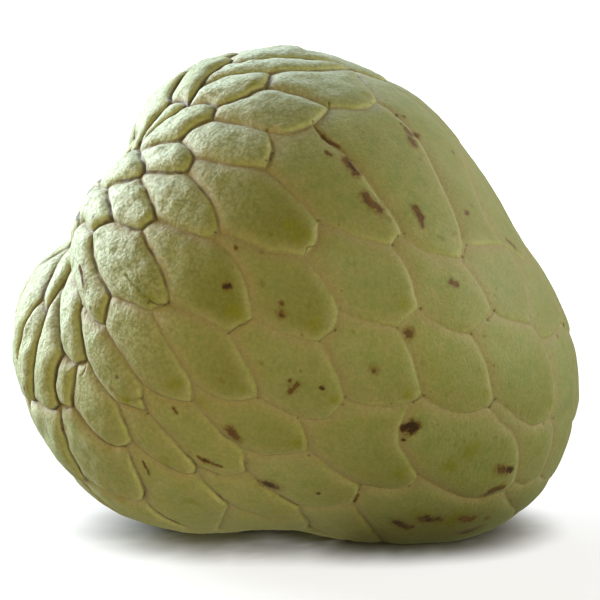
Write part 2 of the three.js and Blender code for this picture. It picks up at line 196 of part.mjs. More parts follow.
[7,3,139,177,-26813,3819,-27715,4009],[166,53,21,244,-1959,-1690,-1885,-2609],[32,33,178,252,-27199,9055,-27206,8277],
[20,19,245,141,-29922,1186,-30428,1859],[119,21,35,122,-29073,-4781,-29295,-3885],[47,44,118,190,-11745,-28,-11421,-887],
[36,37,154,212,-15052,10760,-16865,11136],[11,14,110,292,-25025,-3561,-24233,-4102],[146,153,46,125,11187,-2055,10730,-2896],
[148,152,93,170,15895,-12586,18965,-12922],[158,153,125,152,9373,-4028,8350,-4114],[33,89,160,258,-30549,7976,-29295,8079],
[56,169,77,204,-6555,-10471,-5078,-9885],[14,23,80,324,-26176,-6410,-25133,-6787],[25,45,120,293,-13870,-5350,-14624,-4701],
[152,145,17,170,22537,-14689,21848,-13727],[22,14,292,324,-23198,-5119,-23332,-6066],[12,13,102,144,-20614,-4138,-21202,-3377],
[151,154,157,197,647,2507,854,1576],[157,58,65,213,-16093,-11985,-18748,-12129],[43,42,218,310,-13021,4011,-13933,4426],
[34,33,6,178,-29555,10896,-28382,10212],[50,47,132,173,-8637,-460,-8236,-1348],[40,49,73,259,-7534,3442,-6504,3366],
[134,127,41,271,14949,-831,15571,-53],[38,35,20,205,-24108,11648,-21987,12185],[42,29,217,310,-16480,6218,-15639,5516],
[138,145,11,264,-29619,-11747,-28060,-12609],[20,18,25,245,-29451,-1196,-29323,-295],[8,9,36,180,-20344,-453,-20942,358],
[49,52,261,274,-5435,1058,-5215,2044],[50,53,53,249,-4339,-2300,-4571,-1349],[24,25,189,336,-16579,-6852,-17358,-6045],
[52,54,126,274,-3418,2559,-4276,2549],[29,30,217,222,-18352,7024,-19364,7087,-20375,7215],[16,7,34,298,-26338,1529,-27263,1895],
[46,47,145,190,-8962,-2654,-9760,-2544,-10491,-2222],[29,4,33,299,-20601,6185,-19883,5687,-19364,5060],[21,14,80,95,-26965,-4873,-26805,-3863],
[7,6,82,139,-24257,1973,-24911,2444,-25512,2986],[18,17,24,296,-28140,-2101,-28102,-1327,-28173,-557],
[154,52,126,270,-2298,1901,-2154,1088,-2012,276],[134,142,50,46,12745,986,12335,268,11996,-487],[5,6,112,198,-22147,3510,-21534,2947,-21041,2293],
[53,52,21,249,-2636,-269,-3430,-360,-4219,-488],[23,22,311,324,-24115,-8887,-24102,-7871],[24,58,295,337,-18835,-8080,-17960,-8648,-16721,-8748],
[28,29,147,299,-16433,3619,-17321,3787,-18187,4084],[40,37,70,81,-6044,12846,-7345,12176,-7984,11434],
[28,5,69,234,-18531,3537,-17942,2848,-17612,2023],[51,50,53,173,-5435,-3469,-6327,-3188,-7121,-2703],
[58,57,65,337,-14930,-10879,-14995,-9998,-15282,-9132],[46,45,2,37,-11795,-2922,-11689,-3826,-11104,-4572],
[135,40,90,149,-1429,11299,-1561,10361,-1700,9423],[22,58,203,295,-21835,-9772,-20917,-9022,-20170,-8234],
[17,16,290,312,-26941,-288,-27591,371,-28152,1107],[46,51,97,145,-5728,-4853,-6137,-4106,-6776,-3528,-7496,-3045],
[54,147,159,192,-1921,4499,-2189,5303,-2435,6114,-2596,6941],[46,56,37,313,-9639,-5759,-8729,-6139,-7740,-6412,-6698,-6370],
[37,38,70,205,-7365,13427,-10795,13296,-14001,13133,-16940,12908],[56,57,14,77,-12392,-7908,-11591,-8673,-10705,-9431,-9624,-10146],
[38,39,115,186,-9176,14312,-16220,14413,-21854,13984,-24659,13248],[54,40,192,259,-3718,7252,-4593,6597,-5290,5852,-5755,5003,-5904,4081],
[41,42,187,321,-14377,8457,-13541,7866,-12878,7197,-12464,6434,-12093,5663,-11672,4924],
[41,40,73,81,-8384,4452,-8270,5366,-8200,6281,-8007,7188,-7784,8089,-7700,9002,-8081,9887],
];

// ---- small vector helpers -----------------------------------------------------------------------------------
const add = (a, b, s = 1) => [a[0] + b[0] * s, a[1] + b[1] * s, a[2] + b[2] * s];
const dot = (a, b) => a[0] * b[0] + a[1] * b[1] + a[2] * b[2];
const cross = (a, b) => [a[1] * b[2] - a[2] * b[1], a[2] * b[0] - a[0] * b[2], a[0] * b[1] - a[1] * b[0]];
const unit = (a) => { const l = Math.hypot(a[0], a[1], a[2]); return [a[0] / l, a[1] / l, a[2] / l]; };
const fromAngles = (lon, lat) => [Math.cos(lat * 1e-4) * Math.cos(lon * 1e-4), Math.cos(lat * 1e-4) * Math.sin(lon * 1e-4), Math.sin(lat * 1e-4)];
const ramp = (x, a, b) => { const t = Math.min(1, Math.max(0, (x - a) / (b - a))); return t * t * (3 - 2 * t); };

// ---- body: a blended radius in every direction --------------------------------------------------------------
const knots = [];
for (let k = 0; k < KNOTS; k++) {
  const z = 1 - (2 * k + 1) / KNOTS, s = Math.sqrt(1 - z * z), p = k * Math.PI * (3 - Math.sqrt(5));
  knots.push([s * Math.cos(p), s * Math.sin(p), z]);
}
function bodyRadius(d) {
  let sw = 0, sr = 0;
  for (let k = 0; k < KNOTS; k++) {
    const c = dot(d, knots[k]);
    if (c < 0.93) continue;
    const w = Math.exp((c - 1) / (BLEND * BLEND));
    sw += w; sr += w * RADII[k];
  }
  return sr / sw;
}

// ---- scales -------------------------------------------------------------------------------------------------
// the scales point away from the stem, towards the blossom end
function flow(d) {
  const a = add(STEM, d, -dot(STEM, d)), b = add(BLOSSOM, d, -dot(BLOSSOM, d));
  const g = add([0, 0, 0], a, -1 / (1.02 - dot(STEM, d)));
  return unit(add(g, b, 1 / (1.02 - dot(BLOSSOM, d))));
}
const nearStem = (d) => 1 - ramp(Math.acos(Math.max(-1, Math.min(1, dot(d, STEM)))), 1.15, 1.85);
const groove = (d) => GROOVE_BODY + (GROOVE_STEM - GROOVE_BODY) * nearStem(d);
const pillow = (d) => PILLOW_BODY + (PILLOW_STEM - PILLOW_BODY) * nearStem(d);

function place(d, lift) {
  const r = bodyRadius(d) + lift;
  return [CENTRE[0] + d[0] * r, CENTRE[1] + d[1] * r, Math.max(0, CENTRE[2] + d[2] * r)];
}

const points = [], triangles = [];
const addPoint = (p) => points.push(p) - 1;
const cornerDirs = CORNERS.map((c) => fromAngles(c[0], c[1]));
const cornerIds = cornerDirs.map((d) => addPoint(place(d, -groove(d) * 1.1)));
const sides = new Map();     // scale -> its seams, each running anticlockwise seen from outside
for (const [left, right, from, to, ...mid] of SEAMS) {
  const run = [];
  for (let i = 0; i < mid.length; i += 2) {
    const d = fromAngles(mid[i], mid[i + 1]);
    run.push({ d, id: addPoint(place(d, -groove(d))) });
  }
  const a = { d: cornerDirs[from], id: cornerIds[from] }, b = { d: cornerDirs[to], id: cornerIds[to] };
  if (!sides.has(left)) sides.set(left, []);
  if (!sides.has(right)) sides.set(right, []);
  sides.get(left).push({ from, to, run: [a, ...run] });
  sides.get(right).push({ from: to, to: from, run: [b, ...run.slice().reverse()] });
}

for (const [, list] of sides) {
  // the closed outline of this scale
  const byStart = new Map(list.map((s) => [s.from, s]));
  const ring = [];
  let s = list[0];
  do { ring.push(...s.run); s = byStart.get(s.to); } while (s !== list[0]);
  // its middle: the point that sees the whole outline best
  let mean = [0, 0, 0];
  for (const v of ring) mean = add(mean, v.d);
  mean = unit(mean);
  const sees = (m) => {
    let low = Infinity;
    for (let i = 0; i < ring.length; i++) {
      const a = ring[i].d, b = ring[(i + 1) % ring.length].d;
      low = Math.min(low, dot(m, cross(a, b)) / Math.hypot(...add(b, a, -1)));
    }
    return low;
  };
  let best = mean, score = sees(mean);
  for (let reach = 0.06; reach > 0.002; reach *= 0.6) {
    for (let turn = 0; turn < 12; turn++) {
      const e1 = unit(cross(best, [0.31, 0.52, 0.79])), e2 = cross(best, e1), t = turn * Math.PI / 6;
      const m = unit(add(add(best, e1, reach * Math.cos(t)), e2, reach * Math.sin(t)));
      const q = sees(m);
      if (q > score) { score = q; best = m; }
    }
  }
  const n = ring.length;
  if (score > 0.004) {
    const inner = ring.map((v) => {
      const d = unit(add(add([0, 0, 0], v.d, 1 - SHOULDER), best, SHOULDER));
      const out = unit(add(v.d, best, -1));
      const tip = dot(out, flow(d));
      return addPoint(place(d, pillow(d) * (0.75 + TIP_LIFT * tip)));
    });
    const middle = addPoint(place(best, pillow(best) * 1.05));
    for (let i = 0; i < n; i++) {
      const j = (i + 1) % n;
      triangles.push([ring[i].id, ring[j].id, inner[j]], [ring[i].id, inner[j], inner[i]], [inner[i], inner[j], middle]);
    }
  } else {
    // a long curved scale: its outline is filled, and every long edge across it is split on the swollen surface
    const e1 = unit(cross(mean, [0.31, 0.52, 0.79])), e2 = cross(mean, e1);
    const dir = ring.map((v) => v.d), id = ring.map((v) => v.id);
    const flat = ring.map((v) => new THREE.Vector2(dot(v.d, e1), dot(v.d, e2)));
    const faces = THREE.ShapeUtils.triangulateShape(flat, []).map(([a, b, c]) => {
      const turn = (flat[b].x - flat[a].x) * (flat[c].y - flat[a].y) - (flat[b].y - flat[a].y) * (flat[c].x - flat[a].x);
      return turn > 0 ? [a, b, c] : [a, c, b];
    });
    for (let round = 0; round < 400; round++) {
      const owners = new Map();
      faces.forEach((f, k) => f.forEach((a, i) => {
        const b = f[(i + 1) % 3], key = Math.min(a, b) + '_' + Math.max(a, b);
        if (!owners.has(key)) owners.set(key, []);
        owners.get(key).push([k, a, b, f[(i + 2) % 3]]);
      }));
      let longest = LONG_EDGE / 52, pick = null;
      for (const o of owners.values()) {
        const l = Math.hypot(...add(dir[o[0][1]], dir[o[0][2]], -1));
        if (o.length === 2 && l > longest) { longest = l; pick = o; }
      }
      if (!pick) break;
      const d = unit(add(dir[pick[0][1]], dir[pick[0][2]]));
      const m = dir.push(d) - 1;
      id.push(addPoint(place(d, pillow(d) * 0.8)));
      for (const [k, a, b, c] of pick) { faces[k] = [a, m, c]; faces.push([m, b, c]); }
    }
    for (const [a, b, c] of faces) triangles.push([id[a], id[b], id[c]]);
  }
}

const geometry = new THREE.BufferGeometry();
geometry.setAttribute('position', new THREE.Float32BufferAttribute(points.flat(), 3));
geometry.setIndex(triangles.flat());
geometry.computeVertexNormals();

const skin = new THREE.MeshStandardMaterial({ color: FLESH, roughness: 0.62, metalness: 0 });
const fruit = new THREE.Mesh(geometry, skin);
fruit.name = 'cherimoya';

const group = new THREE.Group();
group.add(fruit);

export default group;
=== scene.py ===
"""Cherimoya: the fruit's visible skin, its finish, the studio and the camera."""
import math
import bpy
import numpy as np
from mathutils import geometry, Vector, Matrix


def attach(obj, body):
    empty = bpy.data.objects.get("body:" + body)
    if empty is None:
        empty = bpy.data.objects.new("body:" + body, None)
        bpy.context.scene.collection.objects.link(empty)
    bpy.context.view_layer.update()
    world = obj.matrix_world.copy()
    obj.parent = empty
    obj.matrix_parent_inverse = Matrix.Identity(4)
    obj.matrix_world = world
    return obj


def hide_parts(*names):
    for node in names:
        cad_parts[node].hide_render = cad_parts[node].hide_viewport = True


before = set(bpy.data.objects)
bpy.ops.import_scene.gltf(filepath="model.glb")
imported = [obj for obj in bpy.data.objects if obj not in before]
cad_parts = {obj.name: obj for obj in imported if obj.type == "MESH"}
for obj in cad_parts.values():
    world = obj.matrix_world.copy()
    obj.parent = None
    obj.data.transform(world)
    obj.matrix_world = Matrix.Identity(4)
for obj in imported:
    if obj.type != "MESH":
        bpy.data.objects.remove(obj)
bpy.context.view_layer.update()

# ------------------------------------------------------------------------------------------------------------
# The fruit's construction, in millimetres, as in the CAD part
# ------------------------------------------------------------------------------------------------------------
CENTRE = np.array([1.188, 0.176, 45.8])
STEM = np.array([-0.8264, 0.3983, 0.3983])
BLOSSOM = np.array([0.7427, 0.1004, -0.6624])
KNOTS = 1200
BLEND = 0.085
RADII = np.array([
51.01,51.73,51.15,50.73,51.74,50.01,51.6,51.36,49.7,51.99,50.28,50.79,51.8,49.21,51.84,50.95,49.67,52.07,49.5,51.2,51.65,48.78,51.89,50.31,50.11,
52.11,48.75,51.58,51.19,48.92,52.25,49.55,50.65,51.88,48.25,51.86,50.63,49.41,52.48,48.73,51.14,51.55,48.39,52.22,49.88,50.11,52.26,48.12,51.61,50.93,
48.89,52.66,48.97,50.69,51.64,47.99,52.04,50.31,49.55,52.41,48.15,51.21,51.26,48.47,52.49,49.44,50.22,51.76,47.66,51.71,50.67,49.02,52.67,48.44,50.76,
51.33,47.97,52.15,49.94,49.75,51.67,47.57,51.32,50.97,48.54,52.4,48.93,50.36,51.22,47.41,51.92,50.37,49.21,52.15,47.89,50.91,51.16,47.91,52.18,49.53,
49.93,50.73,47.06,51.59,50.76,48.67,51.71,48.43,50.49,50.97,47.16,51.99,50.05,49.43,50.83,47.21,51.13,51.01,47.91,51.7,49.04,50.11,50.47,46.59,51.81,
50.49,48.91,50.22,47.86,50.69,51.01,46.98,51.88,49.69,49.69,49.77,46.58,51.49,50.85,48.14,51.47,48.57,50.28,50.71,46.09,51.95,50.22,49.2,48.4,47.13,
50.93,51.01,47.14,51.1,49.27,49.91,49.71,45.93,51.71,50.6,48.57,49.24,48.06,50.49,50.91,45.9,51.47,49.92,49.55,48.15,46.43,51.31,50.93,47.54,50.35,
48.9,50.13,50.47,45.3,51.93,50.4,49.03,45.87,47.35,50.78,51.07,46.22,50.57,49.64,49.85,49.58,45.67,51.65,50.79,48.13,46.99,48.44,50.37,50.93,45.07,
51.18,50.2,49.48,46.62,46.63,51.13,51.02,46.92,48.54,49.34,50.09,50.38,44.99,51.9,50.61,48.8,43.37,47.85,50.65,51.11,45.44,49.5,50,49.85,49.11,45.88,
51.54,50.93,47.67,43.64,48.97,50.32,50.96,44.72,51.23,50.46,49.39,46.74,47.11,50.97,51.12,46.25,43,49.79,50.14,50.38,45.06,51.89,50.79,48.51,41.5,
48.49,50.55,51.11,44.97,48.83,50.32,49.89,49.01,46.39,51.37,51.05,47.2,38.64,49.55,50.33,50.88,44.62,51.72,50.67,49.29,46.25,47.85,50.83,51.17,45.68,
43.53,50.21,50.25,50.21,45.48,51.82,50.94,48.11,44.18,49.23,50.53,51.11,44.7,49.34,50.59,49.96,49.13,47.07,51.21,51.14,46.71,33.37,50.14,50.44,50.65,
44.8,52.11,50.86,49.13,48.16,48.75,50.73,51.22,45.27,44.01,50.56,50.44,49.67,46.25,51.66,51.06,47.73,42.1,49.97,50.57,51.03,44.62,50.96,50.81,49.96,
49.68,48.04,51.04,51.23,46.21,39.74,50.6,50.66,50.31,45.36,52.15,51,48.89,49.81,49.64,50.7,51.24,44.98,46.17,50.84,50.56,49.09,47.24,51.45,51.18,
47.37,36.87,50.57,50.73,50.93,44.88,51.91,50.97,49.9,49.79,49.22,50.88,51.3,45.82,41.47,50.95,50.89,50.05,46.47,51.84,51.12,48.58,46.48,50.4,50.74,
51.25,44.94,49.83,51.01,50.61,49.67,48.49,51.17,51.3,47.04,35.2,51.05,50.96,50.73,45.8,52.39,51.08,49.79,46.16,50.14,50.79,51.37,45.62,42.04,51.16,
51.1,50.26,47.74,51.6,51.23,48.25,41.34,51.07,50.88,51.29,45.53,51.39,51.1,50.61,47.1,49.78,50.97,51.41,46.84,41.17,51.35,51.23,50.62,47.26,51.86,
51.17,49.6,44.39,50.96,50.78,51.48,45.95,46.33,51.25,51.29,48.35,49.14,51.2,51.37,48.04,38.16,51.6,51.09,51.28,47,51.89,51.16,50.59,46.09,50.75,50.79,
51.58,46.99,40.65,51.48,51.56,48.87,48.66,51.5,51.28,49.41,48.85,51.69,50.89,51.71,47.13,49.83,51.27,51.4,46.02,50.51,50.94,51.55,48.1,45.95,51.85,
51.39,51.33,48.6,51.65,51.23,50.5,52.28,51.62,50.72,51.79,47.78,44.45,51.5,51.81,46.52,50.18,51.18,51.43,49.36,52.27,52.14,51.08,51.77,48.79,50.09,
51.26,51.39,50.68,51.48,50.75,51.76,48.62,47.64,51.88,51.76,48.77,50.06,50.94,51.33,50.48,55.39,52.24,50.78,52.05,49.15,48.84,51.46,51.94,49.46,51.46,
50.83,51.64,49.65,53.47,52.32,51.36,51.39,50.23,50.76,51.29,51.32,56.89,52.24,50.62,52.03,49.6,49.83,51.79,52.05,48.6,51.55,50.96,51.48,50.64,56.6,
52.58,50.93,52.12,50.61,48.96,51.39,51.95,54.92,52.31,50.68,51.89,50.37,54.4,52.28,51.71,50.3,51.76,50.23,51.36,51.33,57.31,52.72,50.61,52.4,51.07,
50.95,51.65,52.2,54.47,52.65,50.66,51.7,51.09,56.4,52.69,51.17,51.53,52.11,49.87,51.35,51.92,57.01,52.93,50.5,52.17,51.53,54.44,52.08,51.98,51.55,
53.12,50.61,51.51,51.63,57.27,52.93,50.71,52.56,52.63,50.57,51.51,52.21,57.61,53.39,50.58,51.96,51.93,56.42,52.55,51.44,51.41,53.75,50.16,51.38,52,
57.71,53.21,50.45,52.53,53.11,53.72,51.81,52.13,55.45,54.08,50.51,51.71,52.17,57.5,52.92,50.86,52.44,54.29,50.62,51.39,52.2,58.21,53.8,50.38,52.3,
53.22,55.82,52.26,51.67,53.72,55.05,50.52,51.49,52.34,58.16,53.24,50.45,52.88,54.69,52.95,51.59,52.17,57.76,54.59,50.48,52,53.15,57.16,52.72,51.04,
52.99,55.91,51.03,51.38,52.34,58.65,53.83,50.29,52.68,54.71,55.18,51.91,51.82,56.79,55.88,50.58,51.67,52.93,58.01,53.11,50.54,53.14,56.42,52.39,51.42,
52.21,58.72,54.74,50.28,52.34,54.5,56.66,52.38,51.21,54.92,57.03,50.94,51.44,52.72,58.68,53.68,50.21,53.08,56.39,54.29,51.63,51.89,58.33,56.14,50.49,
51.95,54.04,57.67,52.83,50.63,53.63,57.94,52.16,51.33,52.4,59.1,54.63,50.16,52.77,55.92,55.85,51.95,51.35,56.85,57.58,50.9,51.57,53.37,58.52,53.4,
50.22,53.56,58.3,53.67,51.41,51.97,58.88,55.99,50.26,52.3,55.36,57.11,52.41,50.72,55.02,58.71,51.61,51.33,52.8,59.07,54.32,50.01,53.28,57.73,55.04,
51.6,51.43,57.83,57.68,50.6,51.79,54.5,58.06,52.95,50.25,54.29,59.53,52.87,51.21,52.21,59.08,55.6,50.07,52.68,56.83,56.35,51.96,50.82,56.59,58.99,
51.25,51.41,53.48,58.74,53.83,49.92,53.79,59.4,54.17,51.31,51.53,58.43,57.49,50.32,52.07,55.8,57.38,52.44,50.3,55.45,60.02,52.18,51.12,52.61,58.89,
55.04,49.85,53.14,58.56,55.53,51.55,50.91,57.53,59.09,50.78,51.54,54.61,58.17,53.17,49.87,54.38,60.38,53.27,51.02,51.78,58.55,56.99,50.02,52.41,57.27,
56.56,51.93,50.33,56.44,60.39,51.51,51.07,53.28,58.52,54.36,49.67,53.66,59.99,54.52,51.11,51.04,57.9,58.89,50.37,51.7,55.8,57.49,52.54,49.81,55.28,
61.06,52.47,50.79,52.19,58.41,56.14,49.68,52.8,58.83,55.62,51.38,50.34,56.96,60.63,50.91,51.04,54.34,58.03,53.56,49.51,54.28,61.12,53.52,50.69,51.24,
58,58.34,49.9,51.84,57.05,56.54,51.86,49.76,56.05,61.74,51.67,50.56,52.81,58.18,55.15,49.42,53.2,60.15,54.63,50.81,50.4,57.35,60.21,50.29,50.99,55.39,
57.29,52.72,49.39,54.88,62,52.55,50.32,51.6,57.99,57.36,49.51,52.04,58.44,55.45,51.16,49.74,56.48,61.84,50.88,50.32,53.71,57.65,54.11,49.21,53.59,
61.2,53.52,50.28,50.57,57.57,59.34,49.76,50.96,56.39,56.26,51.86,49.29,55.38,62.34,51.62,49.91,52.14,57.67,56.08,49.16,52.23,59.6,54.37,50.51,49.8,
56.72,60.98,50.17,50.06,54.67,56.82,53.04,49,53.92,61.68,52.4,49.67,50.89,57.43,58.25,49.29,50.96,57.43,55.02,51.09,49.23,55.64,61.79,50.71,49.34,
52.81,56.95,54.67,48.82,52.34,60.16,53.23,49.69,49.95,56.7,59.72,49.58,49.8,55.45,55.59,52.06,48.78,54.09,61.35,51.27,48.85,51.25,56.73,56.65,48.78,
50.92,58.04,53.82,50.15,49.22,55.49,60.42,49.96,48.68,53.48,55.69,53.3,48.51,52.19,59.82,51.84,48.68,50.2,56.01,58.19,48.92,49.5,55.88,54.15,50.99,
48.62,53.83,60.02,50.33,47.96,51.57,55.35,54.66,48.34,50.66,57.76,52.37,48.94,49.25,54.78,58.7,49.14,48.07,53.75,54.11,52.04,48.21,51.79,58.59,50.58,
47.54,50.31,54.58,55.87,48.31,48.97,55.69,52.61,49.56,48.48,53.05,58.21,49.35,47.01,51.65,53.67,52.98,47.93,50.13,56.75,50.79,47.58,49.16,53.37,56.28,
48.32,47.29,53.37,52.41,50.43,47.95,51,56.8,49.45,46.34,50.18,52.77,53.49,47.79,48.28,54.55,50.73,48.06,48.28,51.47,55.47,48.35,46.06,51.16,51.65,
51.14,47.6,49.24,54.62,49.35,46.27,48.96,51.19,53.12,47.69,46.49,51.96,50.19,48.77,47.69,49.51,53.58,48.31,45.46,49.62,50.3,51.08,47.37,47.34,52.01,
48.91,46.61,48,49.25,51.81,47.51,45.38,49.84,49.1,48.73,47.27,47.61,51.13,47.9,45.28,48.23,48.48,49.72,47.05,45.8,49.47,47.91,46.45,47.21,47.15,49.33,
47.08,45.05,47.96,47.43,47.44,46.77,45.8,48.15,46.86,45.43,46.95,46.34,47.22,46.41,45.28,46.94,46.22,45.87,46.19,45.63,45.99,
])
CORNERS = [
26054,10978,25801,-4712,-11527,-2041,4189,-4658,25050,4249,13483,-4661,-30983,11538,-11301,1369,10588,-8386,-24215,6217,
19151,-10,-30650,-10833,18188,2704,27991,1176,-13047,-7109,18466,5413,14860,-2748,-27846,-15307,-4260,-12699,27679,-2528,
-25273,10846,-2087,-778,18376,-306,27957,10207,-28232,-2871,-29940,-1879,29607,4920,-1109,-6319,16432,10560,28310,5578,
16898,-9638,25462,8450,24267,-11750,-21419,6597,-25535,984,-28814,-5673,-19791,-1295,-10489,-5319,28961,8260,26631,6327,
28994,2178,14361,-1639,24144,817,20731,12134,26186,2967,23939,-5159,11729,-1270,-28541,2894,14076,1981,2778,-10399,13181,1690,
26903,-2196,27859,8990,-4504,-3271,7339,-1659,10333,5933,31342,-7251,27009,6919,24237,5804,23389,1459,4300,-2452,27275,3972,
9779,9199,-20337,-5262,24573,9612,-13813,-11586,18229,15087,1188,-10004,15511,6841,-19279,4090,-3829,13379,-14288,1475,
4504,-8845,-8560,3555,21292,1885,1813,-7234,3707,-5047,-8404,-10854,-29616,-9373,25641,-384,-27086,-5889,-8749,10727,
-23602,1505,28726,-1769,17292,-2541,25082,5725,15322,-6218,-22992,8046,29649,-7134,17640,6734,-1224,12237,30996,6210,26750,1960,
14036,-11877,27442,3,-26516,-2879,-22105,4578,-5476,-5658,9940,-11744,28063,2815,19783,-6469,-25385,-1292,-20145,-4965,
-19816,-2092,29268,-2026,12032,4816,1739,-7452,-875,-10307,25087,-906,23603,-3125,-25705,-2906,19721,5281,-22722,4117,
17233,-5578,30876,1495,-3876,13894,7801,2644,-29907,-2741,-12194,765,-1560,-14129,-12954,-5862,6741,-4595,-29461,-2979,
-22783,-3953,16781,9449,10357,-3779,-2453,2711,28519,-10494,4322,9285,27988,-4603,4425,1951,-26694,5507,-9233,308,1997,5217,
25631,6428,2723,247,27221,5191,21268,-3577,-9031,3059,-25906,3680,25449,2889,-30906,2556,13800,-8197,20716,-5902,-21789,-2626,
-8166,-2523,25123,1340,-15543,3441,9502,-6911,-1858,8488,-9836,-11605,-30475,12864,7323,-4060,9614,1882,-13601,10199,
18780,-9009,-15019,355,460,3444,-14068,-1860,-1658,3697,31118,7667,11680,7954,20831,-809,12131,10996,15427,3975,-17544,8672,
22914,7059,30556,-740,-29568,4746,27601,2025,22304,-12765,29783,-4078,25751,4795,-7934,-2276,26471,1281,6011,-1229,-24663,9828,
-28495,3666,-26920,9818,11302,-4992,-21519,1184,3447,-6532,6618,-6616,25784,887,-2109,-9348,25576,11725,-26916,12562,
-14863,9215,-1143,-6925,-15639,-7590,-11135,-1764,145,-5695,-2657,7777,-31184,-2881,22258,1030,30499,6825,14058,5266,1140,666,
-20771,1529,-21903,-1540,26981,4739,22180,3125,660,-3002,-22875,-10517,-3922,-9179,-19263,12480,23313,-5987,9,-906,2009,-4909,
28234,-8306,23907,-309,-24147,6471,-18929,11321,-21407,-11989,26695,-5405,29293,13277,16455,803,-17348,6929,-12055,3741,
31072,-4237,-30721,-5827,-31129,-204,-21399,7314,5160,-12072,20435,3925,24189,4281,30555,8629,28768,6593,25004,-2042,
-28046,-6220,20113,1621,22230,9720,-24759,4297,18137,-3428,-17445,1148,-26035,7417,-23777,363,30496,-1404,-21471,9166,
-24746,-1010,28508,-852,14799,13551,23321,5039,26465,-7522,-1837,-3529,-29305,616,27929,3634,24717,7621,21604,-426,-5015,-468,
-23149,-2420,19908,11187,-26640,7615,22978,-1018,20093,-2817,29639,2262,29799,3360,28440,6995,-28232,7713,-5483,3239,11138,2697,
-5586,106,-15714,-2591,21784,9027,-25454,-13347,5676,-7071,-18293,618,-3066,-7456,6325,5970,29284,392,-1866,-536,16195,724,
4277,4532,1122,-7683,-5125,3047,-405,-4122,-3789,-5477,-29211,6126,26874,-731,19477,7698,23345,7672,30438,1563,1814,7675,
16944,4140,21411,6758,31187,3329,29685,314,8380,-9527,1014,-5992,-2383,-5523,-26353,-1002,21302,5992,-23265,-4174,-15371,-4065,
6938,8448,-19524,-7434,-28407,182,29046,3913,-28215,2109,-19081,4329,-31372,4427,-27518,-8837,-28989,5926,23880,-8304,
-18010,-4058,14392,8105,22742,-2783,30889,10796,28952,-4922,22891,5029,-14910,4758,-24489,-9876,-28437,1985,-5738,-6045,
30364,5097,9152,-397,21558,3876,5007,-8744,-22005,9918,8316,5158,23052,-9174,-11476,4121,23236,3176,-5,-7611,-23975,-6862,
19097,2776,28822,1049,6031,1381,9741,12504,26471,8251,23841,2540,-8008,1009,19449,8588,4921,11780,26101,-2749,2954,-1990,
-17996,-5182,-15704,-8296,1628,-3332,-17290,-1771,
]
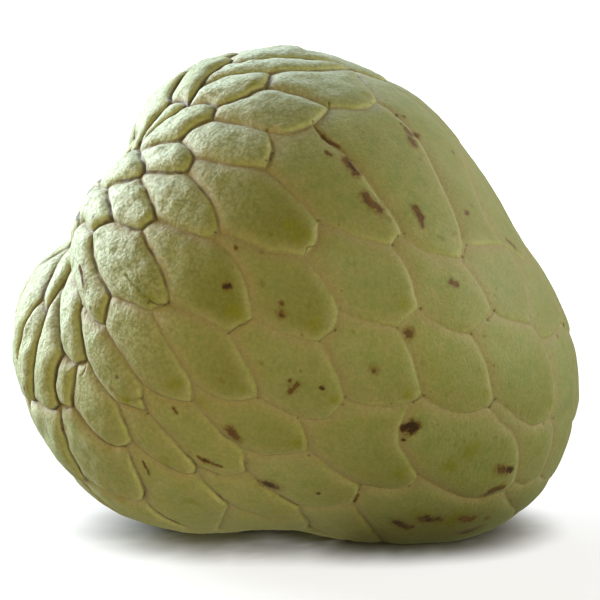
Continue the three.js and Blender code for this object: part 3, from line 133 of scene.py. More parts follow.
SEAMS = [
[171,175,75,106],[16,19,298,312],[0,82,277,302],[0,4,9,211],[127,123,216,271],[52,166,21,270],[4,28,69,299],[171,160,72,317],[47,51,145,173],
[12,24,63,102],[18,119,117,122,-29685,-2861],[90,83,242,309,23106,5035],[54,49,259,274,-5299,3151],[84,67,114,281,30653,1504],
[72,94,269,286,29477,314],[0,31,235,252,-26364,7470],[38,116,70,115,-3837,13636],[65,78,227,257,28664,6823],[44,46,2,190,-11318,-1919],
[55,46,97,313,-5606,-5852],[60,63,136,200,27105,4963],[167,175,106,273,1390,-7508],[22,11,123,292,-23034,-4043],[165,163,3,76,3948,-4851],
[94,102,83,104,28973,-1946],[175,55,27,188,-1125,-6622],[59,72,40,255,29214,2151,29435,2175],[68,65,39,57,26724,6536,26852,6734],
[99,94,167,237,30567,-964,30555,-1187],[14,15,110,95,-25976,-2919,-26245,-2882],[70,62,26,314,29854,4993,30105,5058],
[42,48,218,321,-11899,3913,-11709,4053],[74,66,44,140,25942,2919,25697,2882],[93,76,166,280,22956,7296,23106,7507],
[60,61,61,246,27501,3872,27718,3758],[49,41,73,138,-8714,3381,-8834,3186],[80,68,31,329,25825,8454,26167,8377],
[16,11,101,239,-25175,-1189,-24950,-1124],[76,71,58,85,24522,5810,24806,5782],[57,24,189,337,-15672,-7825,-15671,-8061],
[1,29,33,222,-21366,6833,-21378,7074],[70,89,91,195,30917,6456,30764,6678],[69,74,92,174,26636,1742,26547,1514],
[21,126,35,229,-28565,-5859,-28311,-6043],[33,91,6,307,-31341,11296,31180,11046],[87,101,231,263,21959,9519,21813,9280],
[5,2,96,112,-22355,4477,-22548,4305],[161,158,121,152,6931,-4412,7126,-4234],[97,92,79,108,25468,-569,25287,-748],
[83,106,284,291,21270,6516,21232,6252],[96,91,0,185,25932,11230,25774,11479],[79,71,4,225,24763,4259,24476,4274],
[172,175,191,288,385,-5874,690,-5966],[81,74,174,183,26269,1105,26039,970],[74,92,146,183,25297,1127,25523,972],[50,52,249,261,-5217,-289,-5396,-86],
[77,72,269,326,29139,617,28983,834],[26,8,36,103,-19775,-1561,-19785,-1827],[147,40,149,192,-2063,8310,-2261,8130,-2457,7952],
[63,68,39,134,26314,6429,25972,6461],[66,60,61,200,27201,4235,27105,4492],[173,175,273,323,755,-7600,374,-7577],
[110,88,19,51,27390,-2493,27123,-2380],[31,36,238,318,-21643,9417,-21819,9668],[120,115,10,22,18889,-100,18632,-202],
[61,59,99,246,28036,3090,27996,3365],[76,63,85,134,25166,6003,25358,6244],[64,77,13,326,28257,1071,28538,1026],[61,69,92,169,27035,1895,27326,1926],
[71,66,4,172,25232,4478,25481,4648],[6,9,180,198,-21305,1362,-21036,1438],[18,99,25,117,-29929,-2166,-29918,-2453],
[162,165,182,265,6310,-6770,5994,-6920],[75,7,47,177,-28524,3151,-28507,3409],[108,112,162,248,21096,-696,21351,-562],
[79,95,322,330,23313,2962,23444,2775,23631,2638],[88,81,94,278,27366,-223,27236,-422,27069,-593],[111,115,12,325,18416,2707,18644,2722,18870,2754],
[124,105,109,306,23358,-3127,23122,-3068,22915,-2945],[113,93,279,332,19386,7917,19330,8142,19347,8370],
[59,62,256,297,29619,3506,29432,3645,29244,3784],[102,122,129,308,28187,-4757,28425,-4859,28686,-4903],
[164,167,49,67,2417,-10252,2035,-10127,1619,-10047],[64,61,99,169,27950,2614,27856,2405,27746,2203],[134,130,48,50,13850,1914,13628,1834,13407,1755],
[91,39,151,215,-31060,13029,31083,13174,30238,13269],[89,78,160,195,30965,7453,30815,7241,30669,7027],[69,64,13,169,27913,1396,27816,1609,27706,1816],
[88,94,83,240,28680,-1538,28625,-1309,28568,-1080],[131,136,100,143,20018,-6325,20258,-6190,20492,-6051],
[103,90,201,316,21958,3256,21765,3424,21628,3636],[110,97,51,334,26736,-2375,26551,-2537,26335,-2661],
[169,57,77,150,-8721,-11049,-9062,-11240,-9432,-11426],[68,87,31,247,25184,8283,24950,8091,24803,7863],
[159,172,202,338,863,-3165,1098,-3285,1360,-3335],[129,124,45,206,23784,-5366,23633,-5574,23478,-5783],[100,86,42,59,23895,893,23674,1028,23512,1231],
[76,87,247,280,24388,7707,24040,7743,23688,7727],[67,75,141,285,-31038,2787,-31225,2982,31405,3163],
[96,109,43,251,20250,11940,19965,11704,19880,11447],[90,95,201,322,22444,3130,22708,3143,22973,3153],[27,5,234,266,-17673,1041,-17892,919,-18099,776],
[7,19,47,298,-28414,2640,-28313,2375],[35,34,20,176,-25113,10590,-24996,10330,-24833,10078],[60,65,29,136,28028,5499,27756,5398,27489,5292],
[141,136,303,320,23675,-8519,23465,-8735,23269,-8957],[15,16,101,290,-25638,-1258,-25891,-1219,-26119,-1105],
[73,85,38,52,28824,8512,28596,8734,28257,8892],[98,103,224,316,20717,3917,20997,3902,21278,3881],[110,129,1,214,25941,-4952,26145,-5155,26401,-5309],
[67,72,255,281,29831,2078,30032,1904,30235,1734],[23,21,80,229,-27261,-6062,-27497,-6177,-27768,-6223],
[60,59,246,297,28214,3680,28497,3736,28774,3816],[65,70,29,227,28401,5838,28513,6092,28634,6344],[47,43,7,118,-11528,1222,-11760,1084,-11970,915],
[90,71,225,242,23944,4442,23708,4615,23496,4813],[175,174,188,323,-868,-7004,-611,-7115,-377,-7256,-173,-7423],
[106,111,15,111,18779,5370,19094,5343,19409,5321],[138,22,203,311,-23320,-10375,-23737,-10220,-24126,-10054],
[71,83,58,242,23990,5713,23760,5596,23574,5435,23431,5244],[63,71,85,172,25251,5492,25421,5260,25592,5030],
[73,65,57,257,27279,7008,27564,7069,27860,7086,28153,7051],[63,66,172,200,26060,4810,26369,4811,26678,4790],
[39,34,151,186,-29709,12985,-28822,13036,-28065,12911,-27482,12734],[64,59,40,99,28772,2350,28546,2519,28309,2672],
[86,92,42,146,24397,931,24642,1062,24889,1190],[59,67,255,256,29742,2466,29820,2682,29851,2908,29839,3135],
[10,13,144,199,-21847,-2357,-21908,-2089,-21907,-1815],[101,121,28,124,16338,10331,16322,10096,16407,9866,16576,9651],
[164,173,67,107,756,-9995,327,-10019,-89,-10089,-485,-10191],[114,102,171,308,29683,-4290,29546,-4484,29373,-4654,29175,-4802],
[62,75,285,300,31341,3514,-31390,3729,-31341,3959,-31347,4194],[62,60,26,297,29579,4688,29500,4466,29389,4255,29235,4068],
[97,105,108,228,25067,-1133,25034,-1359,25016,-1586,25010,-1814],[25,13,304,336,-18022,-4339,-18010,-4620,-17999,-4901],
[72,64,40,326,29014,1948,28996,1718,28951,1492,28896,1268],[61,74,44,92,26279,2754,26376,2544,26481,2337,26604,2141],
[92,100,42,210,24072,597,24011,374,23963,149,23926,-79],[73,80,52,329,27508,8901,27187,8780,26912,8623,26673,8445],
[105,100,210,253,23725,-456,23554,-615,23369,-759,23176,-892],[95,86,59,330,23432,1690,23518,1910,23610,2127,23715,2339],
[8,7,82,236,-23676,1284,-23714,1055,-23764,827,-23764,595],[169,173,107,184,-1030,-10080,-1235,-9866,-1499,-9675,-1792,-9502],
[62,82,300,314,31280,4603,31080,4761,30858,4897,30617,5006],[19,18,245,296,-29082,504,-28849,412,-28622,309],
[107,114,171,219,30023,-4187,30274,-4273,30541,-4306,30809,-4288],[108,103,74,230,21054,1838,20818,1785,20583,1730,20347,1677],
[83,93,166,284,22599,7039,22286,7007,21979,6954,21684,6873],[120,139,84,233,17383,-2775,17506,-2995,17681,-3180,17897,-3322],
[100,95,59,194,23163,1372,22937,1285,22711,1200,22485,1114],[37,35,205,212,-19191,12247,-19086,12015,-18907,11790,-18917,11555],
[54,154,126,159,-2283,2898,-2121,3093,-1963,3291,-1808,3492],[145,148,32,170,23931,-11956,23570,-12161,23190,-12366,22778,-12569],
[91,80,0,23,26570,10907,27028,10784,27389,10609,27683,10410],[146,127,16,41,14663,-2581,14516,-2372,14414,-2139,14360,-1892],
[85,80,23,52,27939,9963,27923,9720,27900,9477,27876,9233],[55,170,27,289,-1370,-6160,-1624,-5997,-1873,-5832,-2125,-5672],
[85,78,38,226,29239,8388,29543,8490,29870,8561,30209,8606],[116,40,70,90,-3107,13171,-2505,12950,-2004,12719,-1584,12481],
[77,69,13,94,27920,925,27834,679,27720,445,27587,220],[82,70,91,314,30927,5967,30819,5735,30683,5513,30524,5304],
[41,36,154,187,-13799,9978,-14081,9788,-14325,9585,-14632,9417],[65,63,39,136,26756,6100,26879,5874,27001,5649,27123,5424],
[170,175,27,191,-795,-6301,-494,-6232,-235,-6091,-27,-5904],[169,174,184,204,-2551,-9261,-3004,-9211,-3463,-9190],
[34,32,178,176,-26492,9918,-26032,9970,-25560,9971,-25108,9903],[78,33,160,226,30969,7903,30836,8145,30701,8388],
[88,102,19,83,27937,-2454,28176,-2333,28384,-2169,28561,-1974],[21,18,24,122,-28463,-2974,-28710,-3038,-28963,-3073,-29218,-3055],
[97,117,228,334,25156,-2262,25347,-2450,25578,-2592,25834,-2687],[3,6,139,232,-25721,3861,-25525,4035,-25282,4148,-25024,4231],
[92,81,79,183,25671,-130,25702,124,25737,378,25766,632],[82,3,168,302,-29433,4973,-29314,5207,-29201,5445,-29093,5685],
[81,97,79,278,25861,-534,26092,-667,26344,-755,26610,-773],[133,114,56,88,31006,-7350,30648,-7398,30284,-7379,29944,-7288],
[95,108,74,194,21419,1650,21576,1432,21773,1251,22004,1116],[143,148,30,155,17295,-9521,17686,-9404,18066,-9281,18431,-9150],
[119,99,117,193,-30148,-2843,-30398,-2926,-30661,-2955,-30925,-2930],[87,80,31,64,25319,8689,25147,8922,24962,9152,24762,9379],
[25,56,14,120,-13032,-6858,-12988,-6610,-12937,-6363,-12928,-6112],[60,70,26,29,29422,5132,29188,5307,28913,5431,28616,5517],
[62,67,256,285,30077,3361,30355,3354,30632,3346,30910,3336],[77,88,94,240,27549,-205,27707,-378,27888,-526,28081,-660,28286,-774],
[78,73,38,257,28835,8010,28735,7756,28654,7498,28562,7242],[105,92,108,210,24852,-909,24620,-874,24401,-790,24200,-671,24035,-505],
[87,96,64,231,24124,9702,23662,9777,23180,9806,22695,9792],[131,112,137,254,21027,-3524,20795,-3440,20575,-3335,20382,-3192,20227,-3011],
[53,55,276,289,-3521,-5601,-3227,-5682,-2930,-5755,-2638,-5669],[94,107,104,237,29508,-2002,29743,-1952,29970,-1875,30175,-1752,30347,-1588],
[94,84,167,286,30362,-546,30193,-331,30021,-118,29843,91],[70,78,195,227,30203,6829,29906,6818,29613,6787,29326,6732,29047,6661],
[168,172,208,288,1898,-5120,1774,-5325,1619,-5516,1429,-5683,1228,-5843],[76,68,134,247,25499,6633,25351,6832,25202,7032,25061,7236,24899,7433],
[161,149,54,175,7097,-1666,6855,-1655,6620,-1603,6396,-1514,6191,-1388],[66,79,4,140,25022,4009,25040,3767,25096,3531,25193,3306,25311,3091],
[68,73,57,329,26923,7141,26836,7363,26744,7584,26648,7805,26553,8026],[122,110,129,214,27847,-4804,27661,-4975,27439,-5111,27207,-5235,26961,-5339],
[163,156,60,335,4053,-2464,3806,-2447,3569,-2382,3348,-2275,3146,-2140],[12,10,144,250,-22062,-2576,-22333,-2527,-22605,-2482,-22875,-2429],
[30,1,87,222,-22676,7981,-22386,7875,-22094,7777,-21831,7646,-21606,7484],[175,168,75,288,1589,-7069,1408,-6878,1261,-6671,1153,-6450,1065,-6224],
[118,123,164,283,15680,3999,15931,4034,16183,4067,16436,4096,16689,4128],[84,99,167,221,30825,-752,31090,-704,31334,-591,-31292,-418],
[79,90,225,322,23997,4121,23810,3957,23639,3780,23488,3588,23355,3386],[91,34,6,151,-30920,11804,-30846,12070,-30753,12336,-30627,12601],
[3,75,168,177,-29366,4584,-29181,4407,-29002,4226,-28831,4040,-28664,3852],[44,28,71,156,-14338,1246,-14398,1019,-14475,797,-14633,623,-14827,490],
[126,138,78,301,-29207,-9399,-28797,-9378,-28406,-9308,-28053,-9190,-27756,-9029],
[66,61,44,61,26344,3153,26522,3323,26701,3493,26880,3665,27071,3825],[48,50,132,331,-9009,386,-8794,484,-8581,588,-8388,725,-8194,862],
[168,171,75,181,2102,-7132,2376,-7011,2638,-6878,2910,-6762,3184,-6653],[84,72,281,286,30373,1321,30296,1082,30201,850,30061,643,29886,463],
[119,107,193,219,-31221,-3125,-31279,-3366,-31357,-3601,31370,-3828,31238,-4042],
[97,88,51,278,26907,-1952,26907,-1708,26903,-1463,26899,-1219,26893,-975],[77,94,240,269,28710,-701,28877,-514,29021,-307,29146,-89,29236,145],
[141,122,209,243,27861,-8272,27499,-8206,27163,-8098,26882,-7935,26666,-7732],
[146,158,125,179,10408,-4033,10494,-4280,10633,-4506,10819,-4703,11046,-4865],
[35,31,176,318,-24218,9878,-23794,9975,-23358,10064,-22888,10073,-22435,10010],[118,106,15,89,18233,5580,18011,5760,17840,5978,17728,6221,17662,6475],
[100,112,248,253,21788,-605,21996,-754,22223,-875,22468,-955,22722,-998],[98,111,111,224,19739,5022,19805,4770,19901,4526,20059,4310,20240,4111],
[172,166,202,275,556,-3240,436,-3471,269,-3676,72,-3857,-153,-4008],[168,163,76,208,3419,-5110,3129,-5166,2831,-5178,2538,-5134,2258,-5048],
[165,168,76,181,3607,-5287,3496,-5523,3421,-5770,3395,-6024,3405,-6279],[125,113,68,305,15240,6995,14992,7173,14800,7388,14638,7618,14494,7856],
[103,95,74,201,21418,2104,21546,2324,21687,2535,21839,2741,22007,2934],[29,43,147,310,-15362,3622,-15182,3805,-15071,4031,-15012,4273,-14991,4521],
[106,98,111,291,19956,5433,20208,5567,20465,5696,20734,5811,21013,5910],[115,103,230,325,19880,1752,19659,1902,19462,2082,19293,2289,19161,2519],
[58,138,203,213,-22682,-10767,-22473,-11015,-22248,-11262,-21994,-11507,-21714,-11749],
[33,0,258,252,-28010,7513,-27799,7309,-27503,7207,-27192,7304,-26902,7443],
[164,157,18,119,-3788,-12924,-3281,-13149,-2800,-13383,-2348,-13626,-1953,-13876],[69,81,174,94,26615,1054,26755,825,26908,605,27078,397,27263,203],
[174,55,188,267,-1443,-7040,-1750,-7150,-2064,-7251,-2389,-7336,-2723,-7406],[93,101,263,332,21366,9003,20951,8979,20544,8926,20157,8836,19788,8727],
[114,126,56,220,-31261,-7053,-31085,-6829,-30944,-6591,-30841,-6342,-30778,-6085],
[133,122,88,209,29517,-7376,29343,-7605,29110,-7807,28838,-7986,28551,-8157],
[152,155,93,98,13343,-11893,12648,-11908,11953,-11891,11273,-11845,10597,-11805],
[67,20,114,141,31033,1693,31189,1893,31344,2093,-31308,2271,-31075,2369],
[133,138,11,78,-30321,-10622,-30066,-10392,-29889,-10145,-29771,-9890,-29664,-9635],
[74,86,140,146,25416,2627,25350,2371,25283,2115,25217,1859,25159,1601],[166,170,244,275,-1622,-3671,-1398,-3803,-1165,-3923,-931,-4041,-674,-4111],
[57,157,65,150,-13162,-11633,-12499,-11663,-11829,-11673,-11159,-11664,-10494,-11640],
[80,96,0,64,25655,10791,25332,10579,25062,10354,24856,10114,24703,9865],
[45,26,262,293,-15673,-2842,-15548,-3067,-15484,-3314,-15406,-3557,-15385,-3811],
[86,79,140,330,25177,2845,24909,2782,24639,2731,24371,2674,24107,2603],[31,30,87,238,-22837,8280,-22646,8503,-22462,8730,-22199,8925,-21863,9075],
[11,12,123,250,-22833,-3695,-22903,-3441,-22972,-3187,-23039,-2933,-23105,-2679],[100,108,194,248,22123,800,21994,566,21881,324,21774,80,21677,-169],
[112,124,137,306,21534,-3476,21789,-3357,22038,-3227,22281,-3090,22518,-2945],
[75,82,168,300,-29828,4703,-30090,4669,-30351,4637,-30610,4597,-30865,4543,-31119,4484],
[104,116,66,241,15872,14918,14643,14708,14111,14479,14019,14243,14189,14009,14481,13778],
[172,163,208,338,1901,-4657,1817,-4397,1746,-4135,1694,-3869,1650,-3601],[159,151,135,197,2483,205,2240,190,1998,218,1764,287,1545,394,1338,524],
[83,76,58,166,24060,5986,23880,6169,23702,6354,23523,6539,23340,6725,23141,6901],
[170,172,191,275,60,-5471,-24,-5247,-98,-5021,-170,-4794,-240,-4568,-314,-4342],
[113,118,68,89,15816,6832,16122,6825,16427,6816,16732,6804,17036,6788,17339,6767],
[83,98,291,309,21527,5845,21754,5704,21985,5568,22217,5437,22446,5304,22672,5171],
[90,98,309,316,22664,4897,22441,4762,22234,4609,22053,4433,21878,4253,21705,4074],
[109,116,241,328,13789,13458,12851,13351,12010,13222,11288,13068,10677,12894,10160,12706],
[162,150,8,148,10281,-8246,10023,-8070,9813,-7868,9656,-7645,9554,-7407,9503,-7160],
[91,85,23,307,28325,10395,28750,10556,29236,10680,29766,10761,30323,10805],[51,55,97,276,-5184,-5714,-4894,-5770,-4598,-5801,-4325,-5695,-4061,-5577],
[11,15,101,110,-25472,-1513,-25578,-1726,-25617,-1961,-25634,-2198,-25682,-2431,-25691,-2669],
[113,106,89,279,17836,6924,18059,7095,18302,7254,18576,7385,18869,7496,19168,7603],
[144,156,130,327,4611,1781,4817,1636,5041,1523,5281,1445,5529,1403,5780,1384],
[137,142,153,260,9831,1997,10047,2115,10264,2232,10481,2348,10698,2468,10914,2589],
[129,117,1,45,25574,-4861,25327,-4984,25070,-5094,24794,-5167,24509,-5203,24221,-5212],
[126,119,35,220,-29059,-5793,-29323,-5881,-29599,-5945,-29885,-5971,-30171,-5956,-30452,-5906],
[103,111,224,325,20234,3768,20026,3619,19822,3467,19632,3302,19447,3132,19265,2960],
[87,93,263,280,22025,8835,22273,8649,22513,8462,22744,8273,22957,8077,23155,7875],
[139,143,86,113,15608,-6144,15888,-6060,16161,-5964,16430,-5864,16698,-5767,16965,-5671],
[109,101,28,251,16815,10726,17242,10872,17722,10987,18239,11075,18779,11140,19339,11179],
[93,106,279,284,19776,7579,20065,7452,20350,7323,20630,7193,20902,7056,21161,6911],
[105,117,109,228,23832,-3006,24048,-2868,24255,-2719,24453,-2561,24642,-2393,24818,-2212],
[162,171,265,317,5474,-7280,5289,-7499,5128,-7730,5014,-7975,4954,-8230,4948,-8488],
[26,27,262,339,-15946,-2484,-16184,-2390,-16416,-2283,-16637,-2158,-16857,-2032,-17071,-1898],
[121,132,62,161,9980,8970,10203,8752,10436,8541,10707,8354,11024,8207,11355,8082],
[128,109,163,328,11670,11159,11215,11332,10823,11538,10502,11768,10211,12007,9920,12248],
[0,89,258,277,-28351,7476,-28471,7241,-28601,7009,-28741,6781,-28891,6559,-29047,6340],
[130,118,164,196,15183,4110,14942,4251,14711,4407,14505,4592,14328,4801,14178,5026],
[0,1,211,235,-24357,6659,-24581,6839,-24861,6967,-25179,7029,-25470,7148,-25763,7269],
[105,112,253,306,22924,-1267,22883,-1519,22836,-1769,22807,-2022,22789,-2276,22756,-2529],
[155,162,8,287,10248,-8513,9914,-8653,9589,-8806,9259,-8960,8948,-9134,8661,-9327],
[152,160,98,223,9286,-11809,8605,-11827,7922,-11850,7244,-11901,6561,-11962,5865,-12015],
[145,133,11,127,-31191,-10910,31073,-10942,30499,-10944,29941,-10890,29435,-10775,28961,-10642],
[128,116,328,333,8940,12456,8179,12375,7457,12277,6772,12166,6121,12046,5506,11916],
[165,171,181,265,3722,-6678,4024,-6790,4335,-6891,4657,-6975,4993,-7025,5335,-7045],
[42,30,165,217,-17418,8430,-17303,8187,-17201,7942,-17193,7686,-17260,7435,-17320,7184],
[104,96,43,185,21474,12174,22232,12177,22986,12159,23710,12098,24365,11982,24972,11848],
[56,174,204,267,-3776,-8936,-3639,-8691,-3510,-8446,-3389,-8200,-3275,-7952,-3168,-7704],
[157,138,213,264,-21471,-12223,-21630,-12451,-21900,-12670,-22312,-12872,-22893,-13046,-23635,-13183,-24500,-13284],
[125,130,105,196,12317,4885,12601,4962,12886,5035,13177,5096,13467,5163,13760,5224],
[119,114,219,220,31208,-4468,31346,-4698,-31339,-4925,-31188,-5151,-31038,-5378,-30890,-5607],
[125,137,55,105,10476,5728,10648,5540,10842,5370,11056,5220,11286,5091,11527,4983,11780,4900],
[167,160,49,72,2852,-10162,2974,-9931,3150,-9712,3374,-9509,3626,-9320,3905,-9149,4207,-8997],
[128,140,128,294,4607,9119,4895,8959,5205,8821,5538,8713,5880,8622,6230,8551,6583,8494],
[163,159,335,338,2806,-2214,2642,-2427,2463,-2630,2273,-2823,2070,-3005,1856,-3177],
[123,111,12,283,17983,2838,17780,2976,17587,3128,17414,3301,17265,3493,17136,3699,17025,3913],
[111,118,15,283,18209,5265,17969,5100,17740,4926,17519,4745,17311,4554,17118,4354],
[107,99,193,237,-31348,-2667,31319,-2455,31147,-2249,30988,-2035,30830,-1819,30661,-1613],
[108,120,10,162,19314,-186,19496,-341,19690,-482,19901,-595,20123,-684,20355,-745,20592,-782],
[101,113,124,332,17189,9337,17599,9234,17987,9111,18363,8982,18741,8863,19111,8739],
[36,42,165,187,-17139,8673,-16740,8664,-16351,8740,-15960,8823,-15594,8943,-15240,9087],
[101,96,231,251,22006,9956,21735,10180,21425,10394,21089,10602,20730,10806,20335,11000],
[132,144,268,319,6529,5796,6747,5637,6981,5497,7230,5379,7492,5289,7761,5219,8037,5178],
[137,132,55,319,10073,5840,9823,5731,9569,5634,9314,5541,9069,5433,8820,5334,8566,5248],
[121,125,161,305,12013,7993,12350,8015,12688,8040,13025,8072,13366,8094,13707,8110,14049,8107],
[6,2,112,232,-22978,4113,-23235,4105,-23490,4129,-23744,4159,-23999,4191,-24253,4229,-24501,4294],
[115,108,10,230,19242,209,19349,420,19453,634,19564,844,19696,1041,19834,1235,19969,1431],
[137,149,116,153,7985,2473,8187,2322,8401,2189,8629,2082,8869,2004,9116,1954,9365,1918],
[7,10,34,236,-25297,860,-25054,747,-24810,637,-24558,544,-24301,470,-24040,409],
[159,154,197,207,1015,457,900,243,779,32,645,-171,498,-364,343,-552,180,-733],
[157,152,17,119,-22979,-15507,-9867,-15511,-4647,-15316,-2950,-15088,-2139,-14853,-1748,-14614,-1641,-14371],
[17,21,24,95,-27990,-2963,-27746,-3049,-27492,-3108,-27232,-3136,-26977,-3108,-26747,-2993],
[132,128,62,294,9388,9144,9010,9068,8656,8961,8305,8857,7946,8771,7594,8680,7262,8566],
[160,164,49,223,2979,-10622,3194,-10844,3426,-11064,3700,-11277,4008,-11485,4348,-11688,4730,-11884],
[120,131,233,254,18393,-3386,18646,-3329,18893,-3254,19139,-3178,19382,-3098,19621,-3006,19859,-2915],
[150,146,5,179,13218,-4726,12952,-4788,12682,-4843,12410,-4889,12134,-4920,11857,-4948,11580,-4969],
[104,91,185,215,25825,11948,26041,12178,26309,12403,26694,12613,27186,12807,27766,12988,28450,13153],
[145,157,17,264,-25911,-15077,-25318,-14832,-24960,-14586,-24845,-14337,-24987,-14089,-25160,-13841,-25274,-13593],
[118,125,68,196,15269,6679,15030,6516,14820,6332,14633,6134,14453,5934,14308,5716,14175,5494],
[141,129,243,303,26233,-7712,25956,-7872,25646,-8002,25326,-8127,24990,-8233,24630,-8303,24255,-8325],
[99,20,25,221,-30090,-1670,-30235,-1457,-30379,-1244,-30525,-1032,-30672,-822,-30819,-612,-30967,-403],
[166,154,207,270,-237,-941,-484,-970,-733,-978,-981,-957,-1224,-903,-1455,-811,-1671,-688],
[117,110,1,334,25834,-4465,25868,-4219,25909,-3974,25943,-3728,25980,-3483,26007,-3236,26048,-2991],
[34,38,20,186,-25560,11076,-25831,11313,-26137,11546,-26392,11790,-26615,12041,-26770,12301],
[45,27,158,262,-14218,-2056,-14353,-2264,-14509,-2457,-14706,-2611,-14957,-2647,-15212,-2651,-15466,-2647],
[20,84,114,221,30984,1284,31089,1072,31193,860,31294,647,31394,433,-31338,219,-31234,7],
[23,138,301,311,-27179,-8983,-26827,-9123,-26467,-9262,-26102,-9402,-25725,-9537,-25331,-9663,-24919,-9777],
[13,24,102,336,-19887,-5066,-19640,-5188,-19389,-5307,-19116,-5384,-18828,-5366,-18547,-5313,-18272,-5246],
[57,25,14,189,-13369,-7163,-13661,-7282,-13969,-7381,-14291,-7456,-14613,-7538,-14954,-7563,-15296,-7573],
[158,165,121,182,6649,-4843,6545,-5087,6465,-5338,6412,-5594,6412,-5855,6456,-6113,6515,-6369],
[113,121,124,305,16403,9324,16037,9195,15692,9052,15374,8891,15085,8714,14825,8523,14591,8321],
[154,147,157,159,197,3360,-75,3311,-351,3297,-626,3318,-896,3376,-1158,3465,-1411,3574],
[124,117,45,109,23821,-4922,23746,-4671,23686,-4417,23642,-4161,23621,-3903,23612,-3644,23609,-3384],
[121,109,28,163,15944,10661,15439,10751,14914,10824,14374,10881,13823,10928,13265,10966,12700,10990],
[156,161,60,175,4533,-2324,4766,-2195,4993,-2059,5207,-1904,5414,-1741,5625,-1583,5826,-1414],
[102,110,19,129,27713,-2788,27757,-3046,27801,-3305,27845,-3564,27889,-3822,27927,-4082,27955,-4343],
[6,8,82,180,-23338,1485,-23074,1462,-22814,1415,-22554,1370,-22291,1338,-22035,1276,-21781,1204],
[107,102,104,171,29310,-2287,29378,-2542,29448,-2797,29520,-3052,29593,-3307,29668,-3561,29731,-3818],
[2,3,131,232,-26442,5357,-26182,5221,-25925,5082,-25669,4945,-25417,4805,-25169,4663,-24935,4505],
[122,129,214,243,26646,-5638,26631,-5874,26618,-6110,26590,-6345,26566,-6580,26537,-6816,26515,-7051,26497,-7287],
[140,151,133,272,2219,5065,2440,4914,2677,4786,2929,4685,3189,4605,3460,4563,3731,4530,4004,4519],
[112,120,162,254,20746,-1031,20654,-1251,20565,-1471,20482,-1694,20404,-1919,20324,-2144,20224,-2361,20138,-2583],
[109,104,43,241,20310,12323,19831,12504,19327,12685,18762,12858,18117,13018,17423,13175,16631,13315,15731,13430],
[149,144,116,327,7600,2505,7406,2359,7205,2223,6998,2096,6796,1963,6609,1811,6429,1651,6235,1510],
[124,136,143,206,20969,-6034,21249,-6125,21542,-6189,21843,-6225,22148,-6232,22451,-6208,22749,-6159,23037,-6085],
[89,82,91,277,31289,6208,-31250,6207,-30958,6197,-30667,6177,-30375,6169,-30083,6166,-29793,6148,-29502,6130],
[10,11,239,250,-24565,-1162,-24420,-1350,-24271,-1534,-24089,-1687,-23926,-1860,-23723,-1988,-23534,-2135,-23335,-2268],
[17,15,95,290,-26601,-2645,-26670,-2407,-26714,-2164,-26714,-1919,-26663,-1677,-26573,-1446,-26461,-1225],
[150,155,8,142,10949,-8395,11311,-8407,11672,-8397,12031,-8369,12391,-8351,12746,-8316,13097,-8268,13449,-8233],
[128,121,62,163,9902,9431,10081,9652,10280,9869,10493,10084,10749,10287,11046,10478,11378,10660,11749,10828],
[36,35,212,318,-19286,11106,-19676,10911,-19962,10687,-20320,10488,-20726,10331,-21186,10213,-21629,10088],
[13,8,103,199,-20061,-2100,-20307,-2099,-20548,-2051,-20792,-2023,-21027,-1954,-21260,-1883,-21482,-1782,-21696,-1665],
[166,159,202,207,566,-2776,488,-2544,411,-2312,342,-2078,275,-1844,200,-1612,128,-1379,67,-1143],
[141,133,127,209,28485,-10251,28434,-10008,28386,-9766,28354,-9523,28336,-9279,28305,-9036,28269,-8793,28240,-8550],
[149,153,54,315,7540,-1517,7743,-1377,7945,-1237,8147,-1097,8348,-956,8548,-815,8747,-673,8948,-533],
[160,162,287,317,7967,-9481,7564,-9418,7175,-9336,6782,-9268,6401,-9185,6035,-9087,5669,-8995,5319,-8887],
[85,33,226,307,30621,8867,30679,9107,30732,9347,30784,9587,30827,9828,30857,10070,30875,10312,30884,10554],
[163,161,3,60,4151,-4413,4131,-4166,4116,-3919,4102,-3672,4112,-3425,4145,-3179,4195,-2937,4255,-2696],
[139,150,5,86,13579,-4901,13703,-5132,13852,-5351,14031,-5555,14242,-5737,14481,-5895,14747,-6023,15029,-6130],
[10,16,34,239,-25544,741,-25483,506,-25401,277,-25294,59,-25197,-164,-25124,-395,-25012,-611,-24844,-787],
[4,1,33,211,-21722,6570,-22025,6543,-22329,6532,-22632,6517,-22936,6516,-23239,6510,-23542,6498,-23845,6483],
[19,17,296,312,-28421,442,-28439,701,-28461,960,-28483,1219,-28496,1479,-28494,1739],
[127,115,22,216,18130,-241,17884,-178,17640,-109,17402,-18,17180,104,16974,253,16776,413,16596,592],
[39,104,66,215,21737,15000,24237,14848,25899,14658,27013,14446,27782,14223,28332,13992,28738,13756,29048,13518],
[116,39,66,115,15012,15273,8895,15354,2766,15274,-531,15091,-2024,14866,-2775,14627,-3258,14384,-3603,14139],
[3,0,131,302,-27001,5475,-27310,5494,-27618,5467,-27925,5442,-28212,5508,-28469,5656,-28700,5834],
[174,173,184,323,-1838,-9161,-1542,-8994,-1247,-8830,-992,-8645,-759,-8450,-543,-8249,-363,-8035,-203,-7814],
[142,130,50,260,12932,1753,12682,1814,12433,1881,12187,1958,11955,2070,11739,2211,11529,2361,11325,2519],
[141,145,32,127,24914,-11719,25525,-11641,26099,-11537,26630,-11410,27111,-11261,27537,-11092,27910,-10905,28235,-10704],
[156,159,135,335,2718,-4,2711,-255,2723,-505,2756,-753,2780,-1003,2810,-1252,2858,-1498,2900,-1745],
[151,147,133,157,1842,5004,1696,4788,1541,4577,1376,4373,1205,4175,1029,3982,847,3794,659,3613],
[43,44,71,118,-14060,1378,-13842,1261,-13615,1164,-13386,1071,-13146,1014,-12908,949,-12673,875,-12430,837],
